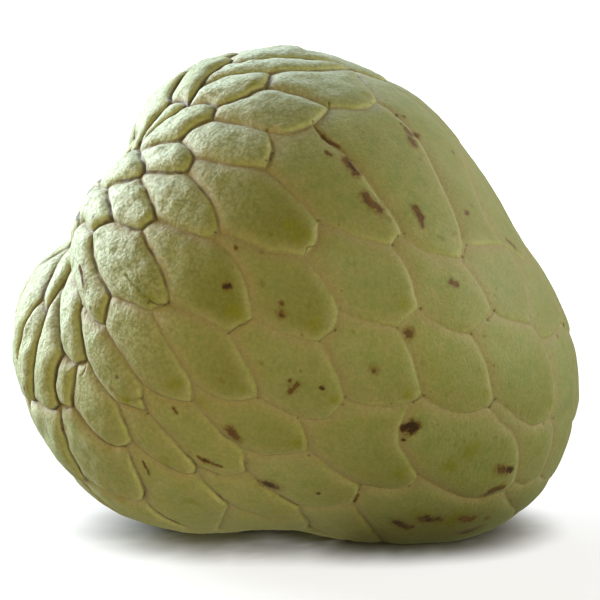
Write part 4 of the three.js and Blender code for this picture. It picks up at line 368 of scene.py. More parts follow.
[2,0,9,131,-24495,6127,-24786,6069,-25073,6004,-25366,5967,-25658,5928,-25942,5861,-26214,5770,-26483,5674],
[162,158,148,182,9174,-6925,8845,-6931,8517,-6933,8189,-6919,7864,-6887,7543,-6842,7225,-6785,6915,-6714],
[157,169,18,150,-4946,-12560,-5599,-12420,-6221,-12276,-6828,-12138,-7434,-12011,-8043,-11898,-8656,-11801,-9258,-11708],
[132,125,55,161,10416,6177,10510,6418,10627,6654,10765,6883,10916,7108,11080,7330,11265,7543,11466,7751],
[130,137,105,260,11886,4598,11752,4374,11632,4145,11526,3910,11435,3671,11355,3428,11268,3187,11177,2949],
[144,140,268,272,6092,5807,5861,5643,5635,5477,5404,5319,5167,5170,4933,5020,4717,4852,4506,4681],
[143,131,100,113,19457,-6457,19133,-6436,18811,-6398,18499,-6330,18203,-6227,17925,-6101,17672,-5945,17436,-5774],
[143,150,86,142,15144,-6429,14955,-6635,14772,-6846,14592,-7061,14411,-7276,14251,-7502,14099,-7732,13952,-7965],
[122,114,88,308,29573,-6886,29490,-6641,29392,-6399,29302,-6156,29234,-5908,29174,-5659,29111,-5411,29033,-5166],
[161,165,3,121,4464,-4734,4747,-4786,5036,-4809,5326,-4821,5615,-4815,5901,-4773,6180,-4709,6459,-4646],
[139,131,113,233,17296,-5327,17361,-5076,17434,-4827,17536,-4586,17654,-4352,17770,-4118,17876,-3880,17997,-3649],
[146,139,5,16,13633,-4444,13803,-4239,13957,-4025,14103,-3808,14251,-3593,14402,-3380,14556,-3169,14710,-2959],
[140,135,128,282,4011,9111,3711,8935,3417,8759,3129,8583,2845,8408,2567,8234,2301,8054,2064,7858],
[1,31,87,235,-23353,8012,-23699,7941,-24055,7904,-24407,7860,-24739,7770,-25059,7663,-25399,7607,-25706,7490],
[173,167,67,273,1196,-9746,1183,-9488,1190,-9230,1183,-8972,1176,-8714,1174,-8456,1152,-8199,1136,-7941],
[24,22,63,295,-20237,-5501,-20190,-5750,-20055,-5979,-19938,-6214,-19835,-6455,-19728,-6696,-19618,-6936,-19521,-7180],
[142,149,153,315,9537,1633,9438,1392,9347,1148,9289,895,9244,639,9200,382,9174,123,9159,-137],
[160,155,98,287,9540,-11563,9194,-11368,8904,-11163,8678,-10944,8516,-10716,8403,-10482,8323,-10244,8291,-10004,8306,-9764],
[116,135,90,333,-532,12139,158,12055,843,11980,1524,11918,2206,11872,2888,11844,3569,11829,4249,11811],
[167,171,72,106,4178,-8688,3851,-8537,3517,-8398,3198,-8249,2896,-8090,2591,-7936,2309,-7768,2039,-7593],
[127,139,16,84,15132,-2780,15405,-2806,15679,-2812,15952,-2789,16224,-2757,16494,-2717,16759,-2655,17025,-2595],
[49,48,138,331,-8861,2859,-8690,2663,-8565,2435,-8432,2213,-8320,1980,-8202,1751,-8106,1513,-8034,1265],
[129,136,206,303,23297,-6226,23281,-6465,23283,-6704,23312,-6942,23361,-7178,23419,-7413,23482,-7648,23569,-7879,23694,-8101],
[28,43,71,147,-14373,1721,-14453,1965,-14607,2176,-14741,2400,-14875,2626,-15027,2839,-15202,3038,-15352,3255],
[130,123,48,164,14176,2199,14277,2416,14400,2622,14538,2820,14667,3023,14802,3224,14960,3409,15126,3590,15280,3780],
[124,131,137,143,21181,-3803,21093,-4028,21030,-4261,20980,-4497,20908,-4728,20834,-4958,20768,-5191,20712,-5426,20683,-5664],
[48,47,7,132,-11097,1201,-10894,1031,-10690,870,-10457,748,-10234,607,-9995,498,-9747,409,-9494,337],
[156,151,130,135,4263,1771,4107,1586,3946,1405,3784,1227,3619,1050,3447,881,3275,713,3097,550,2912,396],
[153,161,54,152,7248,-1888,7186,-2126,7137,-2367,7101,-2610,7091,-2856,7102,-3102,7132,-3346,7177,-3588,7237,-3827],
[155,143,30,142,16479,-9579,16069,-9511,15674,-9424,15304,-9310,14966,-9170,14667,-9005,14406,-8821,14180,-8621,13980,-8412],
[158,150,148,179,9650,-6695,9802,-6481,9976,-6280,10159,-6086,10327,-5884,10500,-5687,10695,-5506,10899,-5334,11103,-5165],
[123,134,48,271,14260,1810,14441,1636,14629,1471,14830,1321,15036,1179,15252,1053,15484,960,15723,887,15962,814],
[147,140,133,282,1976,5463,1949,5708,1918,5953,1896,6199,1876,6444,1859,6690,1843,6936,1826,7182,1818,7429],
[126,133,56,78,-31325,-7465,-31168,-7683,-30991,-7895,-30830,-8115,-30652,-8329,-30468,-8543,-30275,-8756,-30054,-8959,-29849,-9170],
[44,27,156,158,-14908,138,-14762,-56,-14642,-269,-14567,-500,-14442,-709,-14315,-918,-14242,-1150,-14174,-1385,-14117,-1622],
[19,75,47,141,-28805,2854,-29071,2826,-29335,2789,-29597,2743,-29860,2700,-30125,2678,-30391,2663,-30655,2636],
[120,127,22,84,18267,-530,18129,-737,17987,-943,17874,-1165,17772,-1392,17659,-1615,17541,-1835,17451,-2068,17375,-2305],
[4,2,9,96,-23983,6060,-23738,5919,-23461,5830,-23272,5642,-23068,5466,-22845,5310,-22627,5151,-22423,4981,-22281,4768],
[135,128,128,333,4283,9536,4280,9789,4294,10041,4317,10293,4369,10543,4445,10793,4526,11042,4627,11290,4751,11537],
[140,132,268,294,6324,6223,6356,6475,6386,6727,6406,6980,6458,7230,6535,7476,6606,7724,6704,7968,6827,8206],
[25,26,293,304,-15633,-4119,-15898,-4169,-16164,-4212,-16432,-4249,-16703,-4241,-16968,-4294,-17240,-4289,-17494,-4203,-17752,-4130],
[115,123,12,216,18004,2520,17818,2339,17634,2158,17454,1973,17277,1785,17105,1595,16936,1401,16768,1207,16601,1013],
[30,36,165,238,-17919,8741,-18276,8847,-18650,8933,-19031,9013,-19426,9072,-19832,9098,-20240,9123,-20650,9140,-21058,9172],
[144,137,116,319,7804,2902,7826,3159,7846,3416,7855,3674,7886,3929,7950,4180,8039,4425,8141,4666,8232,4911],
[43,48,7,218,-11294,1622,-11352,1868,-11380,2121,-11407,2373,-11456,2620,-11543,2860,-11632,3099,-11736,3332,-11890,3540],
[31,32,176,252,-24766,9576,-24991,9352,-25273,9156,-25592,8987,-25883,8805,-26097,8585,-26263,8349,-26398,8106,-26521,7860],
[164,152,119,223,-611,-13946,151,-13749,788,-13544,1390,-13344,1977,-13148,2542,-12957,3084,-12768,3610,-12584,4132,-12407,4651,-12237],
[151,144,130,272,4325,2193,4267,2448,4242,2708,4220,2968,4203,3229,4196,3490,4207,3751,4227,4012,4246,4273],
[27,28,156,234,-15275,377,-15530,397,-15775,474,-16019,555,-16262,641,-16502,733,-16736,839,-16970,947,-17207,1048],
[146,134,41,46,14116,-1661,13871,-1668,13627,-1684,13381,-1678,13137,-1657,12893,-1635,12654,-1581,12418,-1518,12185,-1443,11960,-1350],
[148,155,30,93,16645,-9831,16369,-10017,16103,-10211,15832,-10406,15560,-10604,15286,-10805,15020,-11010,14769,-11223,14505,-11435,14257,-11652],
[45,44,2,158,-11778,-2111,-12034,-2160,-12290,-2205,-12547,-2174,-12803,-2133,-13064,-2125,-13318,-2072,-13569,-2005,-13823,-1948],
[53,51,53,276,-4318,-3435,-4150,-3617,-4019,-3822,-3923,-4046,-3837,-4274,-3799,-4513,-3783,-4753,-3778,-4994,-3781,-5236],
[156,149,175,327,5969,-994,5935,-757,5906,-519,5886,-281,5876,-42,5876,197,5886,437,5907,675,5937,912,5977,1148],
[170,53,244,289,-1953,-3766,-2072,-4001,-2188,-4239,-2271,-4488,-2331,-4743,-2346,-5003,-2364,-5263],
[136,148,155,320,19087,-9166,19444,-9281,19827,-9370,20227,-9436,20642,-9469,21061,-9477,21479,-9457,21889,-9412,22287,-9345,22672,-9261],
[23,126,229,301,-28008,-6459,-27967,-6697,-27924,-6935,-27878,-7173,-27829,-7410,-27779,-7648,-27727,-7885,-27676,-8123,-27625,-8361,-27572,-8599],
[48,41,138,321,-9300,3106,-9567,3164,-9829,3243,-10097,3294,-10360,3352,-10611,3463,-10842,3605,-11056,3773,-11270,3942],
[136,143,100,155,19682,-6696,19585,-6925,19489,-7154,19368,-7378,19243,-7601,19144,-7831,19081,-8068,19007,-8304,18912,-8536,18823,-8770],
[148,141,32,320,23906,-11552,23643,-11333,23456,-11102,23305,-10868,23171,-10632,23070,-10393,23013,-10150,22995,-9906,22996,-9662,23016,-9418],
[50,49,261,331,-5833,186,-6085,251,-6330,336,-6584,394,-6834,464,-7083,543,-7331,621,-7566,732,-7785,873],
[26,13,103,304,-19636,-2285,-19479,-2497,-19307,-2698,-19142,-2906,-18966,-3105,-18789,-3306,-18599,-3496,-18405,-3684,-18209,-3872],
[5,9,198,266,-20535,1479,-20316,1375,-20088,1298,-19852,1248,-19624,1168,-19397,1087,-19170,1008,-18954,903,-18727,822,-18510,719],
[56,45,37,120,-10460,-5578,-10557,-5815,-10807,-5972,-11092,-6074,-11406,-6075,-11721,-6064,-12034,-6033,-12345,-5989,-12649,-5921],
[41,37,81,154,-9201,10628,-9602,10493,-9992,10357,-10438,10287,-10889,10235,-11333,10178,-11789,10182,-12229,10248,-12690,10257,-13149,10239],
[5,4,69,96,-19539,4056,-19800,4046,-20052,4111,-20304,4179,-20559,4236,-20808,4317,-21068,4362,-21329,4408,-21581,4485,-21844,4524],
[153,142,46,315,11474,-1277,11218,-1261,10964,-1236,10710,-1203,10460,-1150,10217,-1074,9981,-978,9755,-860,9541,-723,9340,-567],
[27,9,266,339,-18176,407,-18059,197,-17961,-23,-17825,-222,-17731,-444,-17581,-633,-17485,-854,-17394,-1077,-17302,-1300,-17246,-1534],
[10,8,199,236,-22068,-1360,-22224,-1172,-22391,-994,-22565,-823,-22720,-636,-22905,-478,-23088,-317,-23247,-133,-23442,11,-23596,199],
[22,12,63,123,-20614,-5295,-20895,-5289,-21147,-5185,-21395,-5075,-21635,-4956,-21857,-4814,-22073,-4667,-22279,-4510,-22465,-4336,-22650,-4161],
[135,147,149,282,-1546,8347,-1231,8215,-917,8085,-598,7967,-266,7874,74,7803,419,7752,767,7719,1116,7698,1465,7679],
[9,26,36,339,-19590,-1433,-19404,-1590,-19182,-1693,-18963,-1802,-18729,-1878,-18494,-1950,-18248,-1962,-18001,-1960,-17758,-1915,-17519,-1860],
[169,164,18,107,-3751,-12506,-3314,-12301,-2926,-12092,-2578,-11878,-2265,-11660,-1980,-11440,-1720,-11217,-1482,-10993,-1264,-10766,-1064,-10537],
[56,55,267,313,-3273,-7251,-3530,-7085,-3828,-6968,-4123,-6855,-4438,-6785,-4721,-6657,-4992,-6518,-5258,-6375,-5506,-6217],
[7,3,139,177,-26176,3730,-26448,3770,-26722,3808,-26995,3849,-27263,3913,-27534,3970,-27805,4032,-28057,3975,-28268,3810],
[166,53,21,244,-2042,-1025,-2005,-1274,-1976,-1524,-1951,-1774,-1928,-2024,-1907,-2274,-1889,-2525,-1875,-2776,-1863,-3027,-1851,-3278],
[32,33,178,252,-27031,9565,-27126,9311,-27199,9055,-27241,8796,-27246,8536,-27206,8277,-27067,8038,-26853,7825],
[20,19,245,141,-29492,785,-29684,949,-29866,1124,-30028,1316,-30185,1515,-30334,1719,-30474,1930,-30611,2143,-30750,2355],
[119,21,35,122,-28887,-5430,-28958,-5187,-29028,-4944,-29095,-4700,-29159,-4456,-29220,-4212,-29277,-3967,-29329,-3721,-29376,-3474,-29420,-3227],
[47,44,118,190,-12034,571,-11897,362,-11811,126,-11704,-101,-11596,-328,-11521,-567,-11448,-808,-11363,-1045,-11293,-1286,-11214,-1525],
[36,37,154,212,-13971,10361,-14326,10535,-14760,10669,-15197,10808,-15674,10916,-16181,11003,-16689,11106,-17237,11170,-17803,11210,-18377,11241],
[11,14,110,292,-25513,-3077,-25332,-3260,-25144,-3437,-24953,-3611,-24747,-3770,-24547,-3940,-24316,-4068,-24065,-4168,-23802,-4237,-23538,-4187],
[146,153,46,125,11562,-1470,11416,-1686,11278,-1907,11141,-2129,11005,-2352,10881,-2582,10768,-2817,10652,-3052,10547,-3291,10452,-3535],
[148,152,93,170,14396,-12101,14867,-12305,15452,-12481,16130,-12634,16893,-12762,17746,-12851,18654,-12909,19595,-12921,20530,-12895,21444,-12848],
[158,153,125,152,10095,-3862,9827,-3933,9556,-3993,9281,-4043,9004,-4083,8725,-4109,8444,-4115,8163,-4108,7882,-4101,7602,-4087],
[33,89,160,258,-31403,7758,-31079,7828,-30765,7922,-30440,8003,-30106,8068,-29760,8085,-29411,8080,-29066,8050,-28729,7994,-28421,7913],
[56,169,77,204,-7910,-10783,-7437,-10693,-6984,-10589,-6555,-10471,-6149,-10341,-5769,-10198,-5412,-10046,-5078,-9885,-4764,-9716,-4469,-9541,-4190,-9361],
[14,23,80,324,-26848,-6039,-26602,-6183,-26349,-6322,-26088,-6453,-25816,-6574,-25529,-6674,-25232,-6757,-24931,-6835,-24615,-6868,-24294,-6875],
[25,45,120,293,-13209,-5725,-13470,-5599,-13713,-5452,-13939,-5290,-14154,-5119,-14373,-4955,-14565,-4767,-14760,-4583,-14965,-4409,-15156,-4224],
[152,145,17,170,29113,-15277,25420,-15120,23507,-14915,22537,-14689,22059,-14453,21850,-14212,21801,-13970,21848,-13727,21947,-13486,22044,-13244,22140,-13003],
[22,14,292,324,-23208,-4429,-23196,-4688,-23216,-4947,-23201,-5206,-23215,-5467,-23252,-5725,-23306,-5982,-23395,-6232,-23564,-6454,-23754,-6666],
[12,13,102,144,-20226,-4720,-20348,-4489,-20508,-4278,-20662,-4065,-20815,-3852,-20982,-3649,-21147,-3445,-21309,-3240,-21467,-3033,-21623,-2825],
[151,154,157,197,505,3187,553,2931,606,2676,665,2423,720,2168,773,1913,833,1660,902,1409,975,1159,1052,911],
[157,58,65,213,-14385,-11717,-14996,-11832,-15643,-11930,-16323,-12010,-17031,-12070,-17759,-12110,-18500,-12128,-19244,-12124,-19982,-12098,-20704,-12051],
[43,42,218,310,-12310,3836,-12576,3905,-12838,3985,-13107,4043,-13369,4129,-13619,4238,-13854,4379,-14105,4495,-14366,4598,-14638,4676],
[34,33,6,178,-30487,11406,-30108,11221,-29768,11027,-29453,10829,-29150,10631,-28837,10441,-28500,10266,-28137,10112,-27756,9977,-27329,9912],
[50,47,132,173,-9058,138,-8906,-53,-8766,-253,-8637,-460,-8522,-675,-8419,-896,-8315,-1117,-8236,-1348,-8168,-1582,-8083,-1811,-7996,-2040],
[40,49,73,259,-8306,3507,-8047,3488,-7793,3438,-7534,3442,-7277,3419,-7018,3419,-6762,3389,-6504,3366,-6247,3349,-5992,3313,-5738,3275],
[134,127,41,271,14499,-1430,14648,-1230,14801,-1033,14949,-831,15105,-637,15258,-440,15412,-244,15571,-53,15725,143,15889,331,16052,520],
[38,35,20,205,-25037,11081,-24751,11308,-24391,11518,-23944,11706,-23418,11868,-22835,12014,-22206,12145,-21538,12265,-20829,12372,-20070,12453],
[42,29,217,310,-17130,6747,-16874,6601,-16667,6415,-16480,6218,-16249,6057,-16049,5872,-15831,5704,-15639,5516,-15456,5323,-15271,5134,-15118,4924],
[138,145,11,264,-30407,-11060,-30164,-11291,-29899,-11519,-29619,-11747,-29307,-11972,-28943,-12190,-28528,-12402,-28060,-12609,-27538,-12810,-26945,-13004,-26261,-13186],
[20,18,25,245,-29702,-1796,-29566,-1594,-29493,-1356,-29433,-1115,-29389,-871,-29354,-625,-29329,-377,-29314,-129,-29307,119,-29305,368],
[8,9,36,180,-19909,-1072,-20058,-869,-20206,-664,-20344,-453,-20490,-248,-20648,-52,-20795,153,-20942,358,-21075,572,-21229,771,-21366,983],
[49,52,261,274,-5668,344,-5635,594,-5536,827,-5435,1058,-5383,1306,-5316,1550,-5245,1793,-5215,2044,-5155,2289,-5129,2540,-5125,2794],
[50,53,53,249,-4441,-3032,-4388,-2790,-4353,-2546,-4339,-2300,-4354,-2054,-4403,-1813,-4480,-1579,-4571,-1349,-4679,-1127,-4797,-911,-4916,-694],
[24,25,189,336,-15895,-7416,-16134,-7233,-16370,-7050,-16579,-6852,-16791,-6657,-16991,-6457,-17190,-6258,-17358,-6045,-17532,-5835,-17714,-5631,-17850,-5404],
[52,54,126,274,-2719,2666,-2989,2649,-3259,2638,-3490,2509,-3692,2351,-3951,2403,-4197,2508,-4433,2634,-4666,2766,-4895,2907],
[29,30,217,222,-17680,6972,-18014,7008,-18352,7024,-18690,7043,-19029,7051,-19364,7087,-19700,7128,-20039,7164,-20375,7215,-20713,7268,-21058,7268],
[16,7,34,298,-25701,1166,-25887,1328,-26102,1450,-26338,1529,-26568,1621,-26798,1717,-27033,1801,-27263,1895,-27493,1979,-27743,1965,-27984,2012],
[46,47,145,190,-8414,-2550,-8651,-2624,-8899,-2653,-9149,-2659,-9397,-2629,-9642,-2582,-9878,-2505,-10113,-2426,-10320,-2294,-10547,-2198,-10757,-2071,-10953,-1925],
[29,4,33,299,-21125,6485,-20861,6336,-20601,6185,-20354,6024,-20111,5861,-19883,5687,-19672,5500,-19517,5281,-19364,5060,-19239,4827,-19151,4580],
[21,14,80,95,-27053,-5635,-27011,-5382,-26986,-5128,-26965,-4873,-26939,-4619,-26905,-4365,-26865,-4112,-26805,-3863,-26730,-3618,-26654,-3373,-26577,-3128],
[7,6,82,139,-23794,1661,-23999,1800,-24206,1938,-24413,2076,-24621,2212,-24830,2350,-24993,2537,-25198,2682,-25364,2868,-25561,3025,-25710,3225,-25803,3454],
[18,17,24,296,-28195,-2615,-28165,-2358,-28140,-2101,-28119,-1843,-28106,-1585,-28102,-1327,-28107,-1069,-28129,-811,-28173,-557,-28237,-306,-28317,-60],
[154,52,126,270,-2404,2462,-2357,2212,-2309,1963,-2263,1713,-2220,1463,-2176,1213,-2133,963,-2089,713,-2046,463,-2001,214,-1956,-36,-1912,-286],
[134,142,50,46,13064,1463,12927,1248,12778,1040,12647,822,12521,601,12394,380,12282,152,12173,-79,12069,-311,11973,-546,11883,-785,11802,-1026],
[5,6,112,198,-22526,3945,-22365,3744,-22198,3550,-21993,3392,-21796,3227,-21623,3039,-21445,2856,-21281,2662,-21140,2453,-21007,2239,-20905,2011,-20826,1773],
[53,52,21,249,-2227,-576,-2361,-369,-2575,-267,-2820,-281,-3064,-315,-3308,-344,-3551,-383,-3793,-430,-4035,-474,-4280,-488,-4525,-510,-4771,-503],
[23,22,311,324,-24365,-9632,-24244,-9388,-24166,-9138,-24115,-8887,-24106,-8633,-24114,-8379,-24118,-8125,-24102,-7871,-24077,-7618,-24037,-7367,-23987,-7116],
[24,58,295,337,-19288,-7616,-19084,-7820,-18894,-8033,-18650,-8220,-18388,-8398,-18110,-8570,-17773,-8681,-17394,-8742,-17007,-8778,-16628,-8729,-16305,-8593,-15970,-8473],
[28,29,147,299,-15797,3492,-16051,3547,-16302,3613,-16563,3623,-16825,3631,-17077,3696,-17321,3787,-17562,3885,-17818,3950,-18059,4052,-18316,4116,-18564,4208,-18828,4247],
[40,37,70,81,-4479,13197,-5236,13053,-5898,12891,-6443,12706,-6854,12501,-7191,12285,-7490,12067,-7689,11837,-7819,11601,-8047,11380,-8283,11160,-8529,10945],
[28,5,69,234,-19072,3922,-18838,3789,-18627,3627,-18432,3450,-18244,3269,-18091,3059,-17942,2848,-17816,2625,-17710,2392,-17637,2148,-17594,1897,-17530,1650,-17493,1398],
[51,50,53,173,-4766,-3342,-5030,-3408,-5300,-3449,-5570,-3471,-5830,-3396,-6077,-3287,-6327,-3188,-6563,-3062,-6787,-2919,-7010,-2775,-7231,-2630,-7452,-2486,-7699,-2395],
[58,57,65,337,-14240,-11404,-14658,-11226,-14913,-11004,-14951,-10753,-14985,-10502,-14988,-10250,-14995,-9998,-15065,-9749,-15152,-9502,-15236,-9255,-15328,-9010,-15433,-8766,-15545,-8525],
[46,45,2,37,-11600,-2276,-11687,-2507,-11774,-2739,-11803,-2983,-11835,-3227,-11793,-3470,-11736,-3711,-11641,-3941,-11479,-4136,-11319,-4334,-11141,-4521,-10992,-4728,-10836,-4931,-10661,-5124],
[135,40,90,149,-1291,11987,-1348,11737,-1397,11487,-1439,11237,-1477,10987,-1511,10736,-1545,10486,-1578,10236,-1613,9986,-1651,9736,-1690,9486,-1731,9236,-1774,8987,-1818,8738],
[22,58,203,295,-22593,-10316,-22318,-10115,-22041,-9918,-21769,-9723,-21510,-9526,-21268,-9324,-21030,-9124,-20811,-8917,-20604,-8709,-20413,-8496,-20220,-8286,-20017,-8081,-19866,-7859,-19664,-7658],
[17,16,290,312,-26497,-802,-26655,-612,-26818,-426,-26983,-242,-27152,-62,-27327,112,-27501,287,-27676,461,-27836,649,-27982,848,-28118,1055,-28232,1274,-28316,1506,-28382,1744],
[46,51,97,145,-5535,-5418,-5610,-5181,-5691,-4946,-5785,-4714,-5891,-4487,-6024,-4274,-6165,-4065,-6348,-3886,-6520,-3699,-6733,-3556,-6950,-3418,-7165,-3281,-7379,-3142,-7574,-2981,-7743,-2796,-7952,-2655],
[54,147,159,192,-1735,3933,-1812,4169,-1890,4405,-1969,4641,-2048,4877,-2126,5113,-2204,5350,-2280,5588,-2354,5826,-2422,6066,-2482,6307,-2534,6550,-2576,6794,-2607,7039,-2629,7285,-2645,7531],
[46,56,37,313,-10244,-5452,-9999,-5588,-9741,-5708,-9485,-5835,-9213,-5938,-8953,-6062,-8672,-6158,-8386,-6246,-8096,-6329,-7801,-6403,-7494,-6442,-7185,-6445,-6879,-6401,-6581,-6337,-6295,-6246,-6016,-6143],
[37,38,70,205,-4891,13449,-6019,13444,-7143,13433,-8239,13390,-9315,13355,-10379,13316,-11411,13262,-12416,13204,-13412,13161,-14388,13112,-15337,13054,-16249,12982,-17107,12887,-17903,12774,-18633,12641],
[56,57,14,77,-12846,-7304,-12660,-7508,-12525,-7735,-12357,-7951,-12156,-8154,-11947,-8356,-11728,-8555,-11497,-8752,-11256,-8945,-11007,-9137,-10800,-9350,-10555,-9550,-10259,-9730,-9955,-9910,-9676,-10104,-9383,-10296,-9035,-10468,-8712,-10655],
[38,39,115,186,-5076,14021,-6367,14151,-7866,14250,-9513,14327,-11277,14391,-13152,14429,-15080,14430,-16960,14393,-18689,14316,-20193,14201,-21435,14052,-22417,13875,-23217,13683,-23903,13485,-24532,13287,-25134,13092,-25724,12905,-26320,12728],
[54,40,192,259,-2963,7669,-3243,7532,-3506,7381,-3759,7225,-3996,7057,-4224,6886,-4450,6715,-4660,6534,-4855,6346,-5056,6163,-5221,5961,-5357,5744,-5490,5526,-5596,5299,-5715,5077,-5814,4849,-5869,4609,-5875,4365,-5899,4121,-5857,3881,-5759,3654,-5621,3446],
[41,42,187,321,-14751,8972,-14618,8734,-14453,8509,-14197,8323,-13970,8125,-13702,7955,-13436,7788,-13225,7587,-13033,7378,-12859,7164,-12729,6933,-12603,6700,-12481,6467,-12364,6233,-12250,5999,-12140,5764,-12031,5529,-11873,5318,-11745,5093,-11644,4857,-11549,4619,-11490,4373],
[41,40,73,81,-8546,3808,-8457,4048,-8390,4293,-8370,4546,-8322,4797,-8291,5049,-8273,5303,-8246,5555,-8242,5808,-8223,6060,-8197,6313,-8150,6564,-8111,6816,-8051,7066,-7962,7311,-7911,7562,-7878,7814,-7786,8058,-7764,8311,-7741,8564,-7719,8816,-7727,9063,-7785,9313,-7867,9560,-8027,9797,-8116,10044,-8233,10290,-8452,10518],
]
PLUMP = {0: 1.1, 1: 1.15, 2: 1.15, 3: 1.1, 6: 1.1, 20: 0.6, 38: 0.8, 39: 0.8, 52: 0.8, 53: 0.8, 59: 0.5, 60: 0.5, 61: 0.5, 62: 0.5, 63: 0.5, 64: 0.5, 65: 0.5, 66: 0.5, 67: 0.5, 68: 0.5, 69: 0.5, 70: 0.5, 71: 0.5, 72: 0.5, 73: 0.5, 74: 0.5, 75: 0.5, 76: 0.5, 78: 0.5, 79: 0.5, 80: 0.5, 82: 0.5, 84: 0.5, 85: 0.5, 86: 0.5, 89: 0.5, 90: 0.5, 91: 0.5, 94: 0.5, 96: 0.5, 99: 0.5, 104: 0.5, 107: 0.5, 109: 0.5, 114: 0.5, 116: 0.5, 119: 0.5, 126: 0.5, 128: 0.5, 133: 0.5, 135: 0.5, 138: 0.5, 140: 0.5, 145: 0.5}     # scales that swell less or more than their neighbours
RIPE = {5: 1.1, 29: 0.9, 6: 0.6, 3: 0.3, 28: 0.85, 9: 0.75, 7: 0.4, 4: 0.35, 36: 0.4, 26: 0.5, 43: 0.5, 44: 0.3, 47: 0.3, 27: 0.35, 48: 0.25, 45: 0.45, 50: 0.6, 1: 0.1, 2: 0.15, 8: 0.45, 10: 0.4, 11: 0.35, 14: 0.4, 42: 0.35, 41: -0.4, 13: -0.25, 32: -0.2, 34: 0.7, 24: 0.45, 25: 0.5, 57: 0.5, 49: 0.35}       # scales more olive, or less, than their neighbours
REST_ROUND, REST_GAP = 0.35, 0.12

# skin colours, linear
GREEN = (0.310, 0.330, 0.130)
GREEN_WARM = (0.345, 0.335, 0.128)
GREEN_GREY = (0.345, 0.370, 0.200)
# pale bloom colour, partly real waxy bloom and partly a painted highlight on raised pebbles
BLOOM_HIGHLIGHT = (0.600, 0.690, 0.570)
# a deeper green laid on the lamp-facing side as painted shade
DEEP_SHADE_GREEN = (0.190, 0.230, 0.075)
OLIVE = (0.225, 0.225, 0.048)
OLIVE_DARK = (0.150, 0.150, 0.035)
YELLOW = (0.248, 0.255, 0.014)
TAN = (0.400, 0.315, 0.195)
# pale rim colour, a painted highlight along the scales' far edges
RIM_HIGHLIGHT = (0.510, 0.520, 0.235)
SEAM = (0.330, 0.245, 0.170)
SEAM_DARK = (0.070, 0.038, 0.022)
SCAR = (0.560, 0.470, 0.360)
STAIN = (0.215, 0.148, 0.040)
BROWN = (0.098, 0.038, 0.014)
JOINT = (0.100, 0.056, 0.036)
DARK = (0.038, 0.015, 0.011)
RUST = (0.180, 0.085, 0.026)
# dark green of the pits between the pebbles, painted shade
PIT_SHADE = (0.112, 0.150, 0.032)
FLANK = (0.320, 0.340, 0.075)
MOTTLE_TAN = (0.420, 0.350, 0.190)
MOTTLE_GREEN = (0.240, 0.305, 0.115)
WOOD = (0.200, 0.130, 0.070)
WOOD_DARK = (0.060, 0.036, 0.020)

# lights: name, azimuth and elevation in degrees, distance and diameter in m, red, green and blue power in watts
LIGHTS = [
    ("window", 146, 28, 0.9, 0.55, (11.38, 12.00, 12.52)),
    ("back", 100, 40, 0.9, 0.5, (3.26, 4.02, 4.67)),
    ("window_low", 142, 12, 0.9, 0.5, (8.75, 10.73, 10.52)),
    ("right", 14, 28, 0.9, 0.6, (2.54, 2.20, 2.20)),
    ("right_low", 0, 8, 0.9, 0.5, (3.08, 3.74, 2.75)),
    ("left", 186, 10, 0.9, 0.5, (2.66, 1.84, 0.35)),
    ("front", 288, 10, 0.9, 0.7, (5.56, 4.88, 2.27)),
    ("right_back", 50, 20, 0.9, 0.6, (0.93, 0.81, 0.47)),
]
AMBIENT = (0.022, 0.015, 0.012)
BELOW = (0.022, 0.015, 0.012)
BOUNCE = (0.55, 0.50, 0.36)
CARD = ((-260, -260), (10, -260), (10, -8), (-260, -8))
CARD_GLOW = (0.62, 0.57, 0.37)
